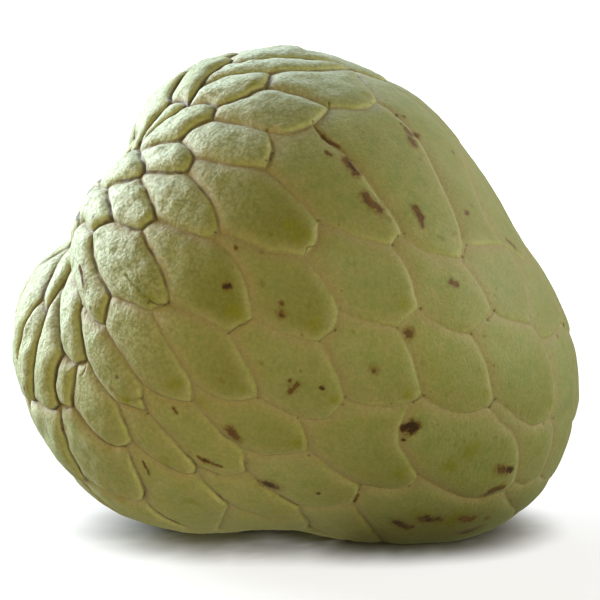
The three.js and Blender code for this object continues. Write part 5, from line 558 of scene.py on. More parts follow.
# marks on the skin: kind, radius in mm, then longitudes and latitudes in 1e-4 radian along the mark
MARKS = [
    ("d", 0.69, (-11615, -3054, -11402, -2926, -11224, -3052, -11366, -3170)), ("b", 0.77, (-11609, -3095, -11311, -3009)), 
    ("d", 0.32, (-11600, -3593)), ("b", 0.53, (-8241, 9009, -8213, 8731, -7501, 8677)), ("b", 0.61, (-8559, 8317, -8576, 8151)), 
    ("s", 1.01, (-8364, 8549)), ("b", 0.32, (-7931, 9863)), ("b", 0.28, (-7366, 9718)), ("b", 0.28, (-8389, 9280)), 
    ("s", 0.49, (-8842, 7381)), ("b", 0.61, (-13351, 7391, -13161, 7104, -12988, 6778)), ("d", 0.26, (-13229, 7249, -13055, 6917)), 
    ("b", 0.28, (-14350, 7731, -14110, 7587)), ("s", 0.69, (-13376, 7497, -12961, 6685)), ("b", 0.69, (-12774, 5700, -12587, 5490)), 
    ("b", 0.61, (-12551, 5448, -12280, 5200)), ("s", 1.11, (-12839, 5827, -12188, 4997)), ("s", 0.51, (-12103, 4957, -11879, 4753)), 
    ("b", 0.53, (-10525, 5173, -10395, 4776)), ("b", 0.40, (-10395, 4776, -10486, 4412)), ("s", 0.73, (-10556, 5218, -10438, 4409)), 
    ("b", 0.45, (-7553, 4786)), ("s", 0.36, (-6877, 5057)), ("b", 0.24, (-4926, 7689)), ("s", 0.26, (-4053, 7369)), 
    ("s", 0.30, (-3653, 5768)), ("g", 0.69, (-8972, 3985)), ("g", 0.36, (-9872, 3960, -9587, 3746)), 
    ("b", 0.32, (-5019, 3410, -4711, 3244, -4505, 3036)), ("b", 0.40, (-9778, 2212, -9517, 2115)), ("s", 0.81, (-9697, 2168)), 
    ("s", 0.36, (-5563, 415)), ("s", 0.32, (-5358, 87)), ("b", 0.32, (-3627, -589)), ("b", 0.30, (-2222, -418)), 
    ("g", 0.61, (-17625, 5364)), ("b", 0.32, (-18234, 3714)), ("d", 0.36, (-18552, 2258, -18363, 2303)), ("b", 0.53, (-18476, 2262)), 
    ("s", 0.85, (-18476, 2262)), ("g", 0.61, (-17122, 2419)), ("g", 0.53, (-17193, 3604)), ("b", 0.36, (-16365, 1712)), 
    ("b", 0.57, (-16398, 1352)), ("d", 0.28, (-16398, 1316)), ("s", 0.93, (-16399, 1388)), ("s", 0.61, (-15344, 1606)), 
    ("g", 0.51, (-19826, 2763)), ("g", 0.40, (-19557, 759)), ("s", 0.53, (-17119, -444)), ("s", 0.93, (-13138, -648, -12881, -730)), 
    ("b", 0.36, (-13027, -761)), ("s", 0.28, (-13794, 680)), ("b", 0.69, (-11702, 540)), ("s", 0.85, (-11664, 574)), 
    ("s", 0.49, (-8491, 126)), ("s", 0.57, (-18607, -1128)), ("b", 0.32, (-16070, -1094)), 
    ("b", 0.40, (-16110, -1558, -15963, -1403, -15780, -1210)), ("d", 0.20, (-16037, -1519)), ("d", 0.38, (-14907, -1363)), 
    ("b", 0.65, (-18400, -3052, -18212, -3450)), ("s", 0.93, (-18470, -2972, -18145, -3541)), 
    ("b", 0.30, (-19862, -4297, -19721, -4428)), ("b", 0.40, (-19645, -4471, -19484, -4513)), ("b", 0.28, (-19335, -4606)), 
    ("b", 0.18, (-19217, -4651, -18980, -4742)), ("d", 0.18, (-19677, -4425, -19527, -4514)), 
    ("s", 0.61, (-19842, -4390, -19228, -4702)), ("d", 0.61, (-17244, -5785, -16981, -5884)), 
    ("b", 0.89, (-17291, -5793, -16896, -5941)), ("d", 0.30, (-14866, -6256)), ("b", 0.22, (-12897, -6534, -12970, -7014)), 
    ("s", 0.28, (-19370, -5335)), ("b", 0.20, (-22586, -4768, -22543, -5028)), ("b", 0.18, (-22480, -5113, -22513, -5298)), 
    ("b", 0.30, (-22911, -1373)), ("b", 0.20, (-20594, -2335, -20451, -2519)), ("s", 0.36, (-24369, -4389)), 
    ("s", 0.34, (-27524, -6022)), ("b", 0.45, (-28510, -1883)), ("b", 0.49, (-28606, -2470)), 
    ("b", 0.30, (-25720, 2307, -25387, 2007, -25061, 1708)), ("d", 0.18, (-25468, 2149, -25199, 1877)), 
    ("s", 0.69, (-25743, 2342, -24974, 1646)), ("d", 0.30, (-24718, 1458)), ("d", 0.26, (-24393, 947)), ("d", 0.32, (-25987, 4281)), 
    ("s", 0.30, (-27435, 3847)), ("b", 0.69, (-6818, -5048, -6428, -5098)), ("d", 0.53, (-6219, -5100, -6059, -5102)), 
    ("b", 0.61, (-6731, -6254, -6557, -5994, -6168, -5856)), ("s", 0.73, (-6633, -6435, -6070, -5683)), ("b", 0.40, (-6031, -5815)), 
    ("s", 0.45, (-8941, -3809)), ("s", 0.36, (-9306, -3918)), ("b", 0.81, (-6969, -7477, -6365, -7423)), ("b", 0.53, (-5523, -7323)), 
    ("d", 0.53, (-8902, -7614, -8529, -7791)), ("d", 0.57, (-8217, -7681)), ("b", 0.91, (-8958, -7762, -7947, -7722)), 
    ("d", 0.53, (-10264, -8105, -9388, -8474)), ("b", 0.73, (-10422, -8040, -9155, -8528)), ("d", 0.40, (-9003, -8418)), 
    ("d", 0.45, (-5805, -8442, -5436, -8202, -5240, -7956)), ("b", 0.73, (-6168, -8397, -5215, -7880)), ("s", 0.30, (-4522, -5927)), 
    ("s", 0.30, (-3440, -5578)), ("s", 0.32, (-15718, -8229)), ("s", 0.30, (-15554, -7145)), ("b", 0.30, (-13715, -9766)), 
    ("j", 0.31, (-14956, 4827)), ("j", 0.23, (-14275, 1519)), ("j", 0.28, (-14438, 762)), ("j", 0.25, (-18323, 602)), 
    ("j", 0.25, (-20822, 1580)), ("j", 0.28, (-21583, 1465)), ("j", 0.24, (-19218, 4291)), ("j", 0.23, (-17269, -1807)), 
    ("j", 0.26, (-19870, -2074)), ("j", 0.23, (-15786, -2588)), ("j", 0.24, (-15391, -3786)), ("j", 0.24, (-15342, -4276)), 
    ("j", 0.27, (-17978, -4723)), ("j", 0.31, (-18049, -5127)), ("j", 0.29, (-14045, -1752)), ("j", 0.29, (-14144, -2034)), 
    ("j", 0.31, (-11966, 3800)), ("j", 0.27, (-11667, 4131)), ("j", 0.23, (-11357, 4185)), ("j", 0.30, (-8360, 3544)), 
    ("j", 0.28, (-8809, 3104)), ("j", 0.30, (-11194, 1367)), ("j", 0.26, (-12139, 744)), ("j", 0.24, (-7794, 950)), 
    ("j", 0.31, (-8245, 675)), ("j", 0.31, (-9082, 266)), ("j", 0.31, (-11046, -1853)), ("j", 0.30, (-11424, -2062)), 
    ("j", 0.31, (-7845, -2302)), ("j", 0.23, (-8064, -2590)), ("j", 0.28, (-4227, -3351)), ("j", 0.26, (-4881, -3487)), 
    ("j", 0.25, (-12911, -5895)), ("j", 0.24, (-10627, -5950)), ("j", 0.24, (-10482, -5329)), ("j", 0.31, (-23328, -4106)), 
    ("j", 0.30, (-21999, -2101)), ("j", 0.24, (-21802, -2700)), ("j", 0.30, (-20360, -5298)), ("j", 0.25, (-23790, -6626)), 
    ("j", 0.23, (-19156, 11450)), ("j", 0.25, (-13514, 10421)), ("j", 0.23, (-13546, 10180)), ("j", 0.27, (-14934, 9322)), 
    ("j", 0.29, (-9719, 10581)), ("j", 0.31, (-17664, 8777)), ("j", 0.25, (-17433, 7311)), ("j", 0.26, (2338, 13537)), 
    ("j", 0.23, (-17117, 7701)), ("j", 0.13, (-15155, 3857, -15449, 3796, -15559, 3481)), 
    ("j", 0.13, (-14438, 762, -14747, 599, -15057, 332)), ("j", 0.14, (-17478, 1146, -17730, 953, -17994, 874, -18323, 602)), 
    ("j", 0.12, (-11966, 3800, -11667, 4131)), ("j", 0.12, (-8809, 3104, -8360, 3544)), ("j", 0.13, (-12911, -5895, -12941, -6550)), 
    ("j", 0.18, (-26576, -2902, -26147, -2992, -25828, -2866)), 
    ("j", 0.18, (-14934, 9288, -14721, 8983, -14521, 8709, -14262, 8467, -14013, 8264, -13513, 7996)), 
    ("b", 0.26, (-14422, 8566, -14013, 8264, -13613, 8045)), ("s", 0.53, (-14618, 8865, -13907, 8247, -13335, 7776)), 
    ("j", 0.22, (-17227, 7381, -17237, 7691)), ("j", 0.13, (-13514, 10421, -13575, 10109)), 
    ("j", 0.14, (-21583, 1570, -21268, 1436, -21002, 1447, -20790, 1577)), ("j", 0.18, (-25175, -1808, -24827, -1471, -24783, -1038)), 
    ("j", 0.13, (-8245, 675, -7794, 950)), ("j", 0.13, (-11424, -2062, -11046, -1853)), ("j", 0.13, (-8064, -2590, -7845, -2302)), 
    ("d", 0.32, (-29800, 5778, -28619, 5548)), ("d", 0.36, (-29289, 5377, -30250, 4951, -29799, 4549)), 
    ("d", 0.30, (-29220, 4202, -28930, 3892)), ("y", 2.23, (-18089, 1379)), ("y", 1.42, (-17808, 1111)), ("y", 2.23, (-15709, 4232)), 
    ("y", 1.62, (-16153, 4569)), ("y", 1.82, (-15167, 961)), ("y", 1.62, (-11822, 1549)), ("y", 1.42, (-11695, -1764)), 
    ("y", 1.01, (-8424, -1944)), ("y", 1.42, (-4727, -2780)), ("y", 1.82, (-11359, -5178)), ("y", 1.21, (-10973, -4938)), 
    ("y", 1.82, (-20399, -1423)), ("y", 0.81, (-17795, -1430)), ("y", 0.61, (-17753, -1314)), ("y", 1.21, (-25399, -791)), 
    ("y", 1.62, (-25483, -6814)), ("y", 1.82, (-22581, -2273)), ("y", 1.62, (-24092, -4199)), ("y", 1.82, (-21516, -4735)), 
    ("y", 1.82, (-21208, -6732)), ("y", 1.82, (-15903, -3599)), ("y", 1.21, (-14427, -1818)), ("y", 1.42, (-9635, 11124)), 
    ("y", 1.42, (-25141, 9691)), ("y", 1.01, (-21879, 9287)), ("y", 1.21, (-22567, 4757)), ("y", 1.21, (-25772, 4127)), 
    ("y", 1.01, (-29407, -1424)), ("y", 1.01, (-29294, -1095)), ("y", 1.42, (-19736, 11240)), ("y", 1.21, (-4800, -4478)), 
    ("y", 2.83, (-8523, -4182)), ("y", 2.43, (-9187, -4830)), ("y", 3.64, (-7216, -7581)), ("y", 2.83, (-9259, -7509)), 
    ("y", 1.62, (-19500, -2087)), ("y", 1.42, (-21492, 1649)), ("p", 0.26, (-17610, 8810, -17138, 8783, -16619, 8906)), 
    ("p", 0.26, (-17349, 8689, -16658, 8366, -15764, 7999)), ("p", 0.26, (-17430, 8535, -17019, 8135, -16176, 7707)), 
    ("p", 0.26, (-17359, 8717, -16343, 8657, -15541, 8413)), ("p", 0.26, (-17202, 8852, -16753, 9143)), ("p", 0.81, (-17367, 8747)), 
    ("c", 0.28, (-22724, 2354, -22397, 2164, -22073, 1980, -21800, 1796, -21583, 1570, -21268, 1436, -20954, 1451, -20790, 1577)), 
    ("c", 0.24, (-23208, -1855, -22976, -2009, -22759, -2134, -22505, -2223, -21999, -2101)), 
    ("c", 0.20, (-25720, 2307, -25387, 2007, -25061, 1708)), 
]


rng = np.random.default_rng(20)


def unit(v):
    v = np.asarray(v, float)
    return v / np.maximum(np.linalg.norm(v, axis=-1, keepdims=True), 1e-12)


STEM, BLOSSOM = unit(STEM), unit(BLOSSOM)


def from_angles(a):
    a = np.asarray(a, float).reshape(-1, 2) * 1e-4
    return np.stack([np.cos(a[:, 1]) * np.cos(a[:, 0]), np.cos(a[:, 1]) * np.sin(a[:, 0]), np.sin(a[:, 1])], 1)


def ramp(x, a, b):
    t = np.clip((x - a) / (b - a), 0, 1)
    return t * t * (3 - 2 * t)


_k = np.arange(KNOTS)
_z = 1 - (2 * _k + 1) / KNOTS
_p = _k * math.pi * (3 - math.sqrt(5))
KNOT_DIRS = np.stack([np.sqrt(1 - _z * _z) * np.cos(_p), np.sqrt(1 - _z * _z) * np.sin(_p), _z], 1)


def body_radius(d):
    out = np.empty(len(d))
    kd = KNOT_DIRS.T.astype(np.float32)
    rr = RADII.astype(np.float32)
    for s in range(0, len(d), 8000):
        c = d[s:s + 8000].astype(np.float32) @ kd
        w = np.exp((np.minimum(c, 1) - 1) / (BLEND * BLEND))
        out[s:s + 8000] = (w @ rr) / w.sum(1)
    return out


def body_point(d):
    return CENTRE + d * body_radius(d)[:, None]


def body_normal(d):
    """outward normal of the smooth body, from its slope in two directions"""
    e1 = unit(np.cross(d, np.where(np.abs(d[:, 2:3]) < 0.8, [[0.0, 0, 1]], [[1.0, 0, 0]])))
    e2 = np.cross(d, e1)
    h = 0.006
    a = body_point(unit(d + h * e1)) - body_point(unit(d - h * e1))
    b = body_point(unit(d + h * e2)) - body_point(unit(d - h * e2))
    n = unit(np.cross(a, b))
    return np.where((n * d).sum(1)[:, None] < 0, -n, n)


def flow(d):
    """the way the scales point: from the stem to the blossom end"""
    a = STEM - d * (d @ STEM)[:, None]
    b = BLOSSOM - d * (d @ BLOSSOM)[:, None]
    return unit(-a / (1.02 - d @ STEM)[:, None] + b / (1.02 - d @ BLOSSOM)[:, None])


def hash3(ix, iy, iz, seed):
    h = (ix.astype(np.int64) * 374761393 + iy.astype(np.int64) * 668265263 + iz.astype(np.int64) * 2147483647 + seed * 1274126177) & 0xFFFFFFFF
    h = ((h ^ (h >> 13)) * 1274126177) & 0xFFFFFFFF
    h = ((h ^ (h >> 16)) * 2246822519) & 0xFFFFFFFF
    return ((h ^ (h >> 15)) & 0xFFFFFF) / float(0xFFFFFF) * 2 - 1


def noise(p, seed=0):
    """smooth value noise, about -1 to 1"""
    i = np.floor(p)
    f = p - i
    f = f * f * f * (f * (f * 6 - 15) + 10)
    i = i.astype(np.int64)
    out = np.zeros(len(p))
    for dx in (0, 1):
        wx = f[:, 0] if dx else 1 - f[:, 0]
        for dy in (0, 1):
            wy = f[:, 1] if dy else 1 - f[:, 1]
            for dz in (0, 1):
                wz = f[:, 2] if dz else 1 - f[:, 2]
                out += wx * wy * wz * hash3(i[:, 0] + dx, i[:, 1] + dy, i[:, 2] + dz, seed)
    return out


def worley(p, seed=0):
    """distance to the nearest of scattered points, one to a unit cell"""
    i = np.floor(p).astype(np.int64)
    best = np.full(len(p), 9.0)
    for dx in (-1, 0, 1):
        for dy in (-1, 0, 1):
            for dz in (-1, 0, 1):
                a, b, c = i[:, 0] + dx, i[:, 1] + dy, i[:, 2] + dz
                q = np.stack([a + 0.5 + 0.45 * hash3(a, b, c, seed), b + 0.5 + 0.45 * hash3(a, b, c, seed + 1), c + 0.5 + 0.45 * hash3(a, b, c, seed + 2)], 1)
                best = np.minimum(best, ((q - p) ** 2).sum(1))
    return np.sqrt(best)


# ------------------------------------------------------------------------------------------------------------
# Seams between the scales, finely stepped
# ------------------------------------------------------------------------------------------------------------
SEAM_STEP = 0.58


def through(points, step):
    """an even run along a smooth curve through points"""
    if len(points) == 2:
        dense = unit(points[0] + (points[1] - points[0]) * np.linspace(0, 1, 9)[:, None])
    else:
        p = np.vstack([2 * points[0] - points[1], points, 2 * points[-1] - points[-2]])
        t = np.linspace(0, 1, 8, endpoint=False)[:, None]
        out = []
        for i in range(1, len(p) - 2):
            a, b, c, d = p[i - 1], p[i], p[i + 1], p[i + 2]
            out.append(0.5 * (2 * b + (c - a) * t + (2 * a - 5 * b + 4 * c - d) * t ** 2 + (3 * b - a - 3 * c + d) * t ** 3))
        dense = unit(np.vstack(out + [points[-1][None]]))
    s = np.r_[0, np.cumsum(np.linalg.norm(np.diff(dense, axis=0), axis=1))]
    n = max(2, int(round(s[-1] * 52 / step)))
    q = np.linspace(0, s[-1], n + 1)
    return unit(np.stack([np.interp(q, s, dense[:, k]) for k in range(3)], 1))


corner_dirs = from_angles(CORNERS)
dirs = [d for d in corner_dirs]
sides = {}
for row in SEAMS:
    left, right, j0, j1 = row[:4]
    pts = np.vstack([corner_dirs[j0][None], from_angles(row[4:]), corner_dirs[j1][None]])
    run = through(pts, SEAM_STEP)
    ids = list(range(len(dirs), len(dirs) + len(run) - 2))
    dirs.extend(run[1:-1])
    sides.setdefault(left, []).append((j0, j1, [j0] + ids))
    sides.setdefault(right, []).append((j1, j0, [j1] + ids[::-1]))

# the side the picture doesn't show has marks of the same kinds
def far_side_marks(n):
    out = []
    while len(out) < n:
        d = unit(rng.normal(size=3))
        if d[1] < 0.12 + 0.1 * abs(d[0]) or d[2] < -0.75:
            continue
        f = flow(d[None])[0]
        kind = "dbbssgj"[rng.integers(7)]
        r = {"d": 0.36, "b": 0.48, "s": 0.62, "g": 0.5, "j": 0.3}[kind] * (0.7 + 0.7 * rng.random())
        row, p, turn = [], d, rng.normal() * 0.5
        for k in range(1 + int(rng.integers(3))):
            row += [math.atan2(p[1], p[0]) * 1e4, math.asin(p[2]) * 1e4]
            g = unit(f + turn * np.cross(d, f))
            p = unit(p + g * (1.3 + rng.random()) * r / 50)
        out.append((kind, r, tuple(row)))
        if kind in "db":
            out.append(("s", r * 1.7, tuple(row)))
    return out


MARKS += far_side_marks(70)
mark_paths = [(k, r, from_angles(a)) for k, r, a in MARKS]
REFINE = [(STEM, 6.5, 0.42), (BLOSSOM, 2.6, 0.42)]          # (direction, radius mm, spacing mm): places that need a finer mesh
for kind, r, path in mark_paths:
    if kind in "ygp" or (kind == "s" and r > 0.6):
        continue
    fine_pts = path if len(path) == 1 else np.vstack([unit(path[i] + (path[i + 1] - path[i]) * t) for i in range(len(path) - 1) for t in np.arange(0, 1, max(0.12, r * 0.9 / max(1e-6, np.linalg.norm(path[i + 1] - path[i]) * 52)))] + [path[-1]])
    for c in fine_pts:
        REFINE.append((c, r * 1.35 + 0.25, max(0.2, 0.42 * r)))

tris = []
cell_of = {}
attrs = {}           # per interior or seam vertex: e, tip, u, v, cell
n_seam = len(dirs)
seam_t = np.zeros(n_seam)
rows = []
new_dirs = []
new_attr = []
seam_dirs = np.array(dirs)
cell_rand = {}


def seg_field(p, a, b, q):
    """smooth distance to the outline a->b, and the blend of q over it, both weighted towards the near sides"""
    d = b - a
    L = np.maximum(np.linalg.norm(d, axis=1), 1e-9)
    t = d / L[:, None]
    ap = p[:, None, :] - a[None]
    s0 = -(ap * t[None]).sum(2)
    s1 = s0 + L[None]
    h2 = np.maximum((ap ** 2).sum(2) - s0 ** 2, 0) + 1e-5
    w = s1 / np.sqrt(h2 + s1 ** 2) - s0 / np.sqrt(h2 + s0 ** 2)
    w = np.maximum(w / h2, 1e-9)
    W = w.sum(1)
    return np.sqrt(2 / W), (w * q[None]).sum(1) / W


def true_distance(p, a, b):
    d = b - a
    L2 = np.maximum((d ** 2).sum(1), 1e-12)
    ap = p[:, None, :] - a[None]
    t = np.clip((ap * d[None]).sum(2) / L2[None], 0, 1)
    return np.sqrt(((ap - t[..., None] * d[None]) ** 2).sum(2).min(1))


def inside(p, poly):
    x, y = p[:, 0][:, None], p[:, 1][:, None]
    a, b = poly, np.roll(poly, -1, 0)
    c = (a[None, :, 1] > y) != (b[None, :, 1] > y)
    with np.errstate(divide="ignore", invalid="ignore"):
        xi = a[None, :, 0] + (y - a[None, :, 1]) * (b[None, :, 0] - a[None, :, 0]) / (b[None, :, 1] - a[None, :, 1])
    return ((c & (x < xi)).sum(1) % 2) == 1


ROWS = (0.30, 0.78, 1.45)
ROW_STEP = (0.60, 0.72, 0.88)
GRID_STEM, GRID_BODY = 0.56, 0.86
cells = sorted(sides)
for cell in cells:
    by_start = {s[0]: s for s in sides[cell]}
    first = sides[cell][0]
    s, ring = first, []
    while True:
        ring += s[2]
        s = by_start[s[1]]
        if s is first:
            break
    ring = np.array(ring)
    rd = seam_dirs[ring]
    m = unit(rd.mean(0))
    f0 = flow(m[None])[0]
    side0 = np.cross(f0, m)                              # side0, f0 and m are right-handed, so anticlockwise faces out
    R = float(body_radius(m[None])[0])

    def flat(d):
        k = 2 * R / (1 + d @ m)
        return np.stack([(d @ side0) * k, (d @ f0) * k], 1)      # x across the scale, y along its flow

    def lift(p):
        x, y = p[:, 0] / (2 * R), p[:, 1] / (2 * R)
        q = x * x + y * y
        return unit(m[None] * ((1 - q) / (1 + q))[:, None] + (side0[None] * x[:, None] + f0[None] * y[:, None]) * (2 / (1 + q))[:, None])

    P = flat(rd)
    area = 0.5 * np.sum(P[:, 0] * np.roll(P[:, 1], -1) - np.roll(P[:, 0], -1) * P[:, 1])
    flip = area < 0
    A, B = P, np.roll(P, -1, 0)
    seg = B - A
    nrm = np.stack([seg[:, 1], -seg[:, 0]], 1)
    nrm /= np.maximum(np.linalg.norm(nrm, axis=1, keepdims=True), 1e-9)
    if flip:
        nrm = -nrm
    # how far each stretch of the outline is the scale's far end (1) or its near end (-1)
    fl = flow(lift((A + B) / 2))
    q = nrm[:, 0] * (fl @ side0) + nrm[:, 1] * (fl @ f0)
    q = np.convolve(np.r_[q[-6:], q, q[:6]], np.ones(13) / 13, "valid")
    # rows of points that follow the outline
    vn = nrm + np.roll(nrm, 1, 0)
    vn /= np.maximum(np.linalg.norm(vn, axis=1, keepdims=True), 1e-6)
    per = np.r_[0, np.cumsum(np.linalg.norm(seg, axis=1))]
    chosen = np.zeros((0, 2))
    loopP = np.vstack([P, P[:1]])
    loopN = np.vstack([vn, vn[:1]])
    for off, step in zip(ROWS, ROW_STEP):
        n = max(6, int(per[-1] / step))
        sp = (np.arange(n) + (0.5 if off == ROWS[1] else 0.0)) * per[-1] / n
        c = np.stack([np.interp(sp, per, loopP[:, k]) for k in range(2)], 1)
        cn = np.stack([np.interp(sp, per, loopN[:, k]) for k in range(2)], 1)
        c = c - cn / np.maximum(np.linalg.norm(cn, axis=1, keepdims=True), 1e-6) * off
        ok = inside(c, P)
        c = c[ok]
        if len(c):
            c = c[true_distance(c, A, B) > off * 0.9]
        keep = []
        for i in range(len(c)):
            if len(chosen) and ((chosen - c[i]) ** 2).sum(1).min() < (0.42 * step) ** 2:
                continue
            if keep and ((c[keep] - c[i]) ** 2).sum(1).min() < (0.55 * step) ** 2:
                continue
            keep.append(i)
        chosen = np.vstack([chosen, c[keep]]) if keep else chosen
    # an even grid in the middle, finer near the stem, where the skin is rougher
    near = float(1 - ramp(math.acos(max(-1, min(1, float(m @ STEM)))), 1.05, 1.8))
    GRID = GRID_BODY + (GRID_STEM - GRID_BODY) * near
    lo, hi = P.min(0), P.max(0)
    ys = np.arange(lo[1], hi[1], GRID * 0.866)
    g = np.concatenate([np.stack([np.arange(lo[0] + (GRID / 2 if k % 2 else 0), hi[0], GRID), np.full(len(np.arange(lo[0] + (GRID / 2 if k % 2 else 0), hi[0], GRID)), y)], 1) for k, y in enumerate(ys)])
    g = g[inside(g, P)]
    if len(g):
        td = true_distance(g, A, B)
        g = g[td > ROWS[-1] + 0.55 * GRID]
    if len(g) and len(chosen):
        d2 = ((g[:, None] - chosen[None]) ** 2).sum(2).min(1)
        g = g[d2 > (0.55 * GRID) ** 2]
    fine = []
    for rdir, rad, sp in REFINE:
        if rdir @ m < 0.55:
            continue
        c = flat(rdir[None])[0]
        if (c < lo - rad).any() or (c > hi + rad).any():
            continue
        k = np.arange(-rad, rad + 1e-6, sp)
        gx, gy = np.meshgrid(k, k * 0.9)
        gx = gx + (np.arange(len(k)) % 2)[:, None] * sp / 2
        pts = np.stack([gx.ravel(), gy.ravel()], 1)
        pts = pts[(pts ** 2).sum(1) < rad * rad] + c
        pts = pts[inside(pts, P)]
        if len(pts):
            pts = pts[true_distance(pts, A, B) > 0.22]
        if len(pts):
            if fine:
                F_ = np.vstack(fine)
                pts = pts[((pts[:, None] - F_[None]) ** 2).sum(2).min(1) > (0.7 * sp) ** 2]
            if len(pts):
                fine.append(pts)
    inner = np.vstack([x for x in (chosen, g) if len(x)]) if len(chosen) or len(g) else np.zeros((0, 2))
    if fine:
        F_ = np.vstack(fine)
        if len(inner):
            inner = inner[((inner[:, None] - F_[None]) ** 2).sum(2).min(1) > 0.16 ** 2 * 2.2]
        inner = np.vstack([inner, F_])
    allp = np.vstack([P, inner])
    loop = list(range(len(P)))
    if flip:
        loop = loop[::-1]
    res = geometry.delaunay_2d_cdt([Vector(v) for v in allp], [], [loop], 1, 1e-7)
    vout, fout, orig = res[0], res[2], res[3]
    first_new = n_seam + sum(len(x) for x in new_dirs)
    gid = np.r_[ring, first_new + np.arange(len(inner))]
    mp = [o[0] if o else -1 for o in orig]
    if min(mp) < 0:
        raise RuntimeError("a scale's outline crosses itself: %s" % cell)
    for f in fout:
        a, b, c = (mp[k] for k in f)
        pa, pb, pc = allp[a], allp[b], allp[c]
        turn = (pb[0] - pa[0]) * (pc[1] - pa[1]) - (pb[1] - pa[1]) * (pc[0] - pa[0])
        tri = (gid[a], gid[b], gid[c])
        tris.append(tri if turn > 0 else (tri[0], tri[2], tri[1]))
    if len(inner):
        e, t = seg_field(inner, A, B, q)
        td = true_distance(inner, A, B)
        y0, y1 = np.percentile(P[:, 1], 2), np.percentile(P[:, 1], 98)
        u = (inner[:, 1] - y0) / (y1 - y0) * 2 - 1
        v = inner[:, 0] / max(3.0, 0.5 * (P[:, 0].max() - P[:, 0].min()))
        new_dirs.append(lift(inner))
        r1, r2 = rng.random(), rng.random()
        new_attr.append(np.stack([e, t, u, v, td, np.full(len(inner), r1), np.full(len(inner), r2), np.full(len(inner), float(cell)), inner[:, 0], inner[:, 1]], 1))

dirs = np.vstack([seam_dirs] + new_dirs)
att = np.zeros((len(dirs), 10))
att[n_seam:] = np.vstack(new_attr)
E, T, U, V, TD = att[:, 0], att[:, 1], att[:, 2], att[:, 3], att[:, 4]
CELL = np.where(att[:, 0] > 0, att[:, 7], -1).astype(int)
print("vertices", len(dirs), "triangles", len(tris))

# ------------------------------------------------------------------------------------------------------------
# Relief
# ------------------------------------------------------------------------------------------------------------
F = np.array(tris)


def vertex_normals(p):
    fn = np.cross(p[F[:, 1]] - p[F[:, 0]], p[F[:, 2]] - p[F[:, 0]])
    out = np.zeros_like(p)
    for k in range(3):
        for c in range(3):
            out[:, c] += np.bincount(F[:, k], fn[:, c], minlength=len(p))
    return unit(out)


def beside(values):
    """seam points take the mean of what the scales beside them have"""
    cnt, acc = np.zeros(len(dirs)), np.zeros(len(dirs))
    for i, j in ((0, 1), (1, 2), (2, 0), (1, 0), (2, 1), (0, 2)):
        ok = ~seam[F[:, j]]
        acc += np.bincount(F[ok, i], values[F[ok, j]], minlength=len(dirs))
        cnt += np.bincount(F[ok, i], minlength=len(dirs))
    return np.where(seam & (cnt > 0), acc / np.maximum(cnt, 1), values)


def path_distance(path, reach):
    """distance in mm from every point to a path on the skin, where it is within reach"""
    out = np.full(len(dirs), 99.0)
    mid = unit(path.mean(0))
    span = max(np.linalg.norm(path - mid, axis=1).max(), 0) + reach / 50
    near = np.where(((dirs - mid) ** 2).sum(1) < span * span)[0]
    if not len(near):
        return out
    q = dirs[near] * radius0[near][:, None]
    pts = path * float(radius0[near].mean())
    if len(pts) == 1:
        out[near] = np.linalg.norm(q - pts[0], axis=1)
    else:
        best = np.full(len(near), 99.0)
        for a, b in zip(pts[:-1], pts[1:]):
            ab = b - a
            s = np.clip(((q - a) @ ab) / max(float(ab @ ab), 1e-9), 0, 1)
            best = np.minimum(best, np.linalg.norm(q - a - s[:, None] * ab, axis=1))
        out[near] = best
    return out


radius0 = body_radius(dirs)
P0 = CENTRE + dirs * radius0[:, None]
zb = P0[:, 2]
P0[:, 2] = 0.5 * (zb + np.sqrt(zb * zb + REST_ROUND ** 2)) + REST_GAP * np.exp(-np.maximum(zb, 0) / 1.5)      # the small flat resting spot
N0 = vertex_normals(P0)
FL = flow(dirs)
FL = unit(FL - N0 * (FL * N0).sum(1)[:, None])

ang = np.arccos(np.clip(dirs @ STEM, -1, 1))
near_stem = 1 - ramp(ang, 1.00, 1.80)
rough = 1 - ramp(ang, 0.85, 1.85)
# the scales low on the stem side stand out too, with little bloom
low_side = ramp(dirs @ unit(np.array([-0.55, -0.45, -0.70])), 0.45, 0.88)
bold = np.maximum(near_stem, 0.62 * low_side)
seam = np.zeros(len(dirs), bool)
seam[:n_seam] = True
plump = np.ones(len(dirs))
for c, k in PLUMP.items():
    plump[CELL == c] = k
plump = beside(plump)

GROOVE = (0.20 + 0.92 * bold) * (0.4 + 0.6 * plump)
SWELL = (0.40 + 0.78 * np.maximum(near_stem, 0.45 * low_side)) * plump
wide = 0.78 + 0.10 * near_stem
width = np.where(T > 0, 1.25 + (wide - 1.25) * np.clip(T, 0, 1), 1.25 + (1.75 - 0.55 * near_stem - 1.25) * np.clip(-T, 0, 1))
rise = 1 - np.exp(-E / width)
wob = noise(dirs * 7.0, 3)
h = -GROOVE * (1 + 0.25 * noise(dirs * 22.0, 5)) + (GROOVE + SWELL * (0.66 + 0.30 * U + 0.18 * wob)) * rise
lip = np.clip(T, 0, 1) * np.exp(-((E - 0.9) / 0.75) ** 2)
h = h + lip * (0.09 + 0.09 * bold) * plump
# broad dents, wrinkles and pebbling
far = 1 - np.exp(-(E / 1.2) ** 2)
h = h + far * (0.15 + 0.10 * near_stem) * noise(P0 / 6.5, 11)
h = h + far * (0.040 + 0.050 * rough) * noise(P0 / 2.7, 12)
h = h + far * (0.014 + 0.030 * rough) * noise(P0 / 1.35, 13)

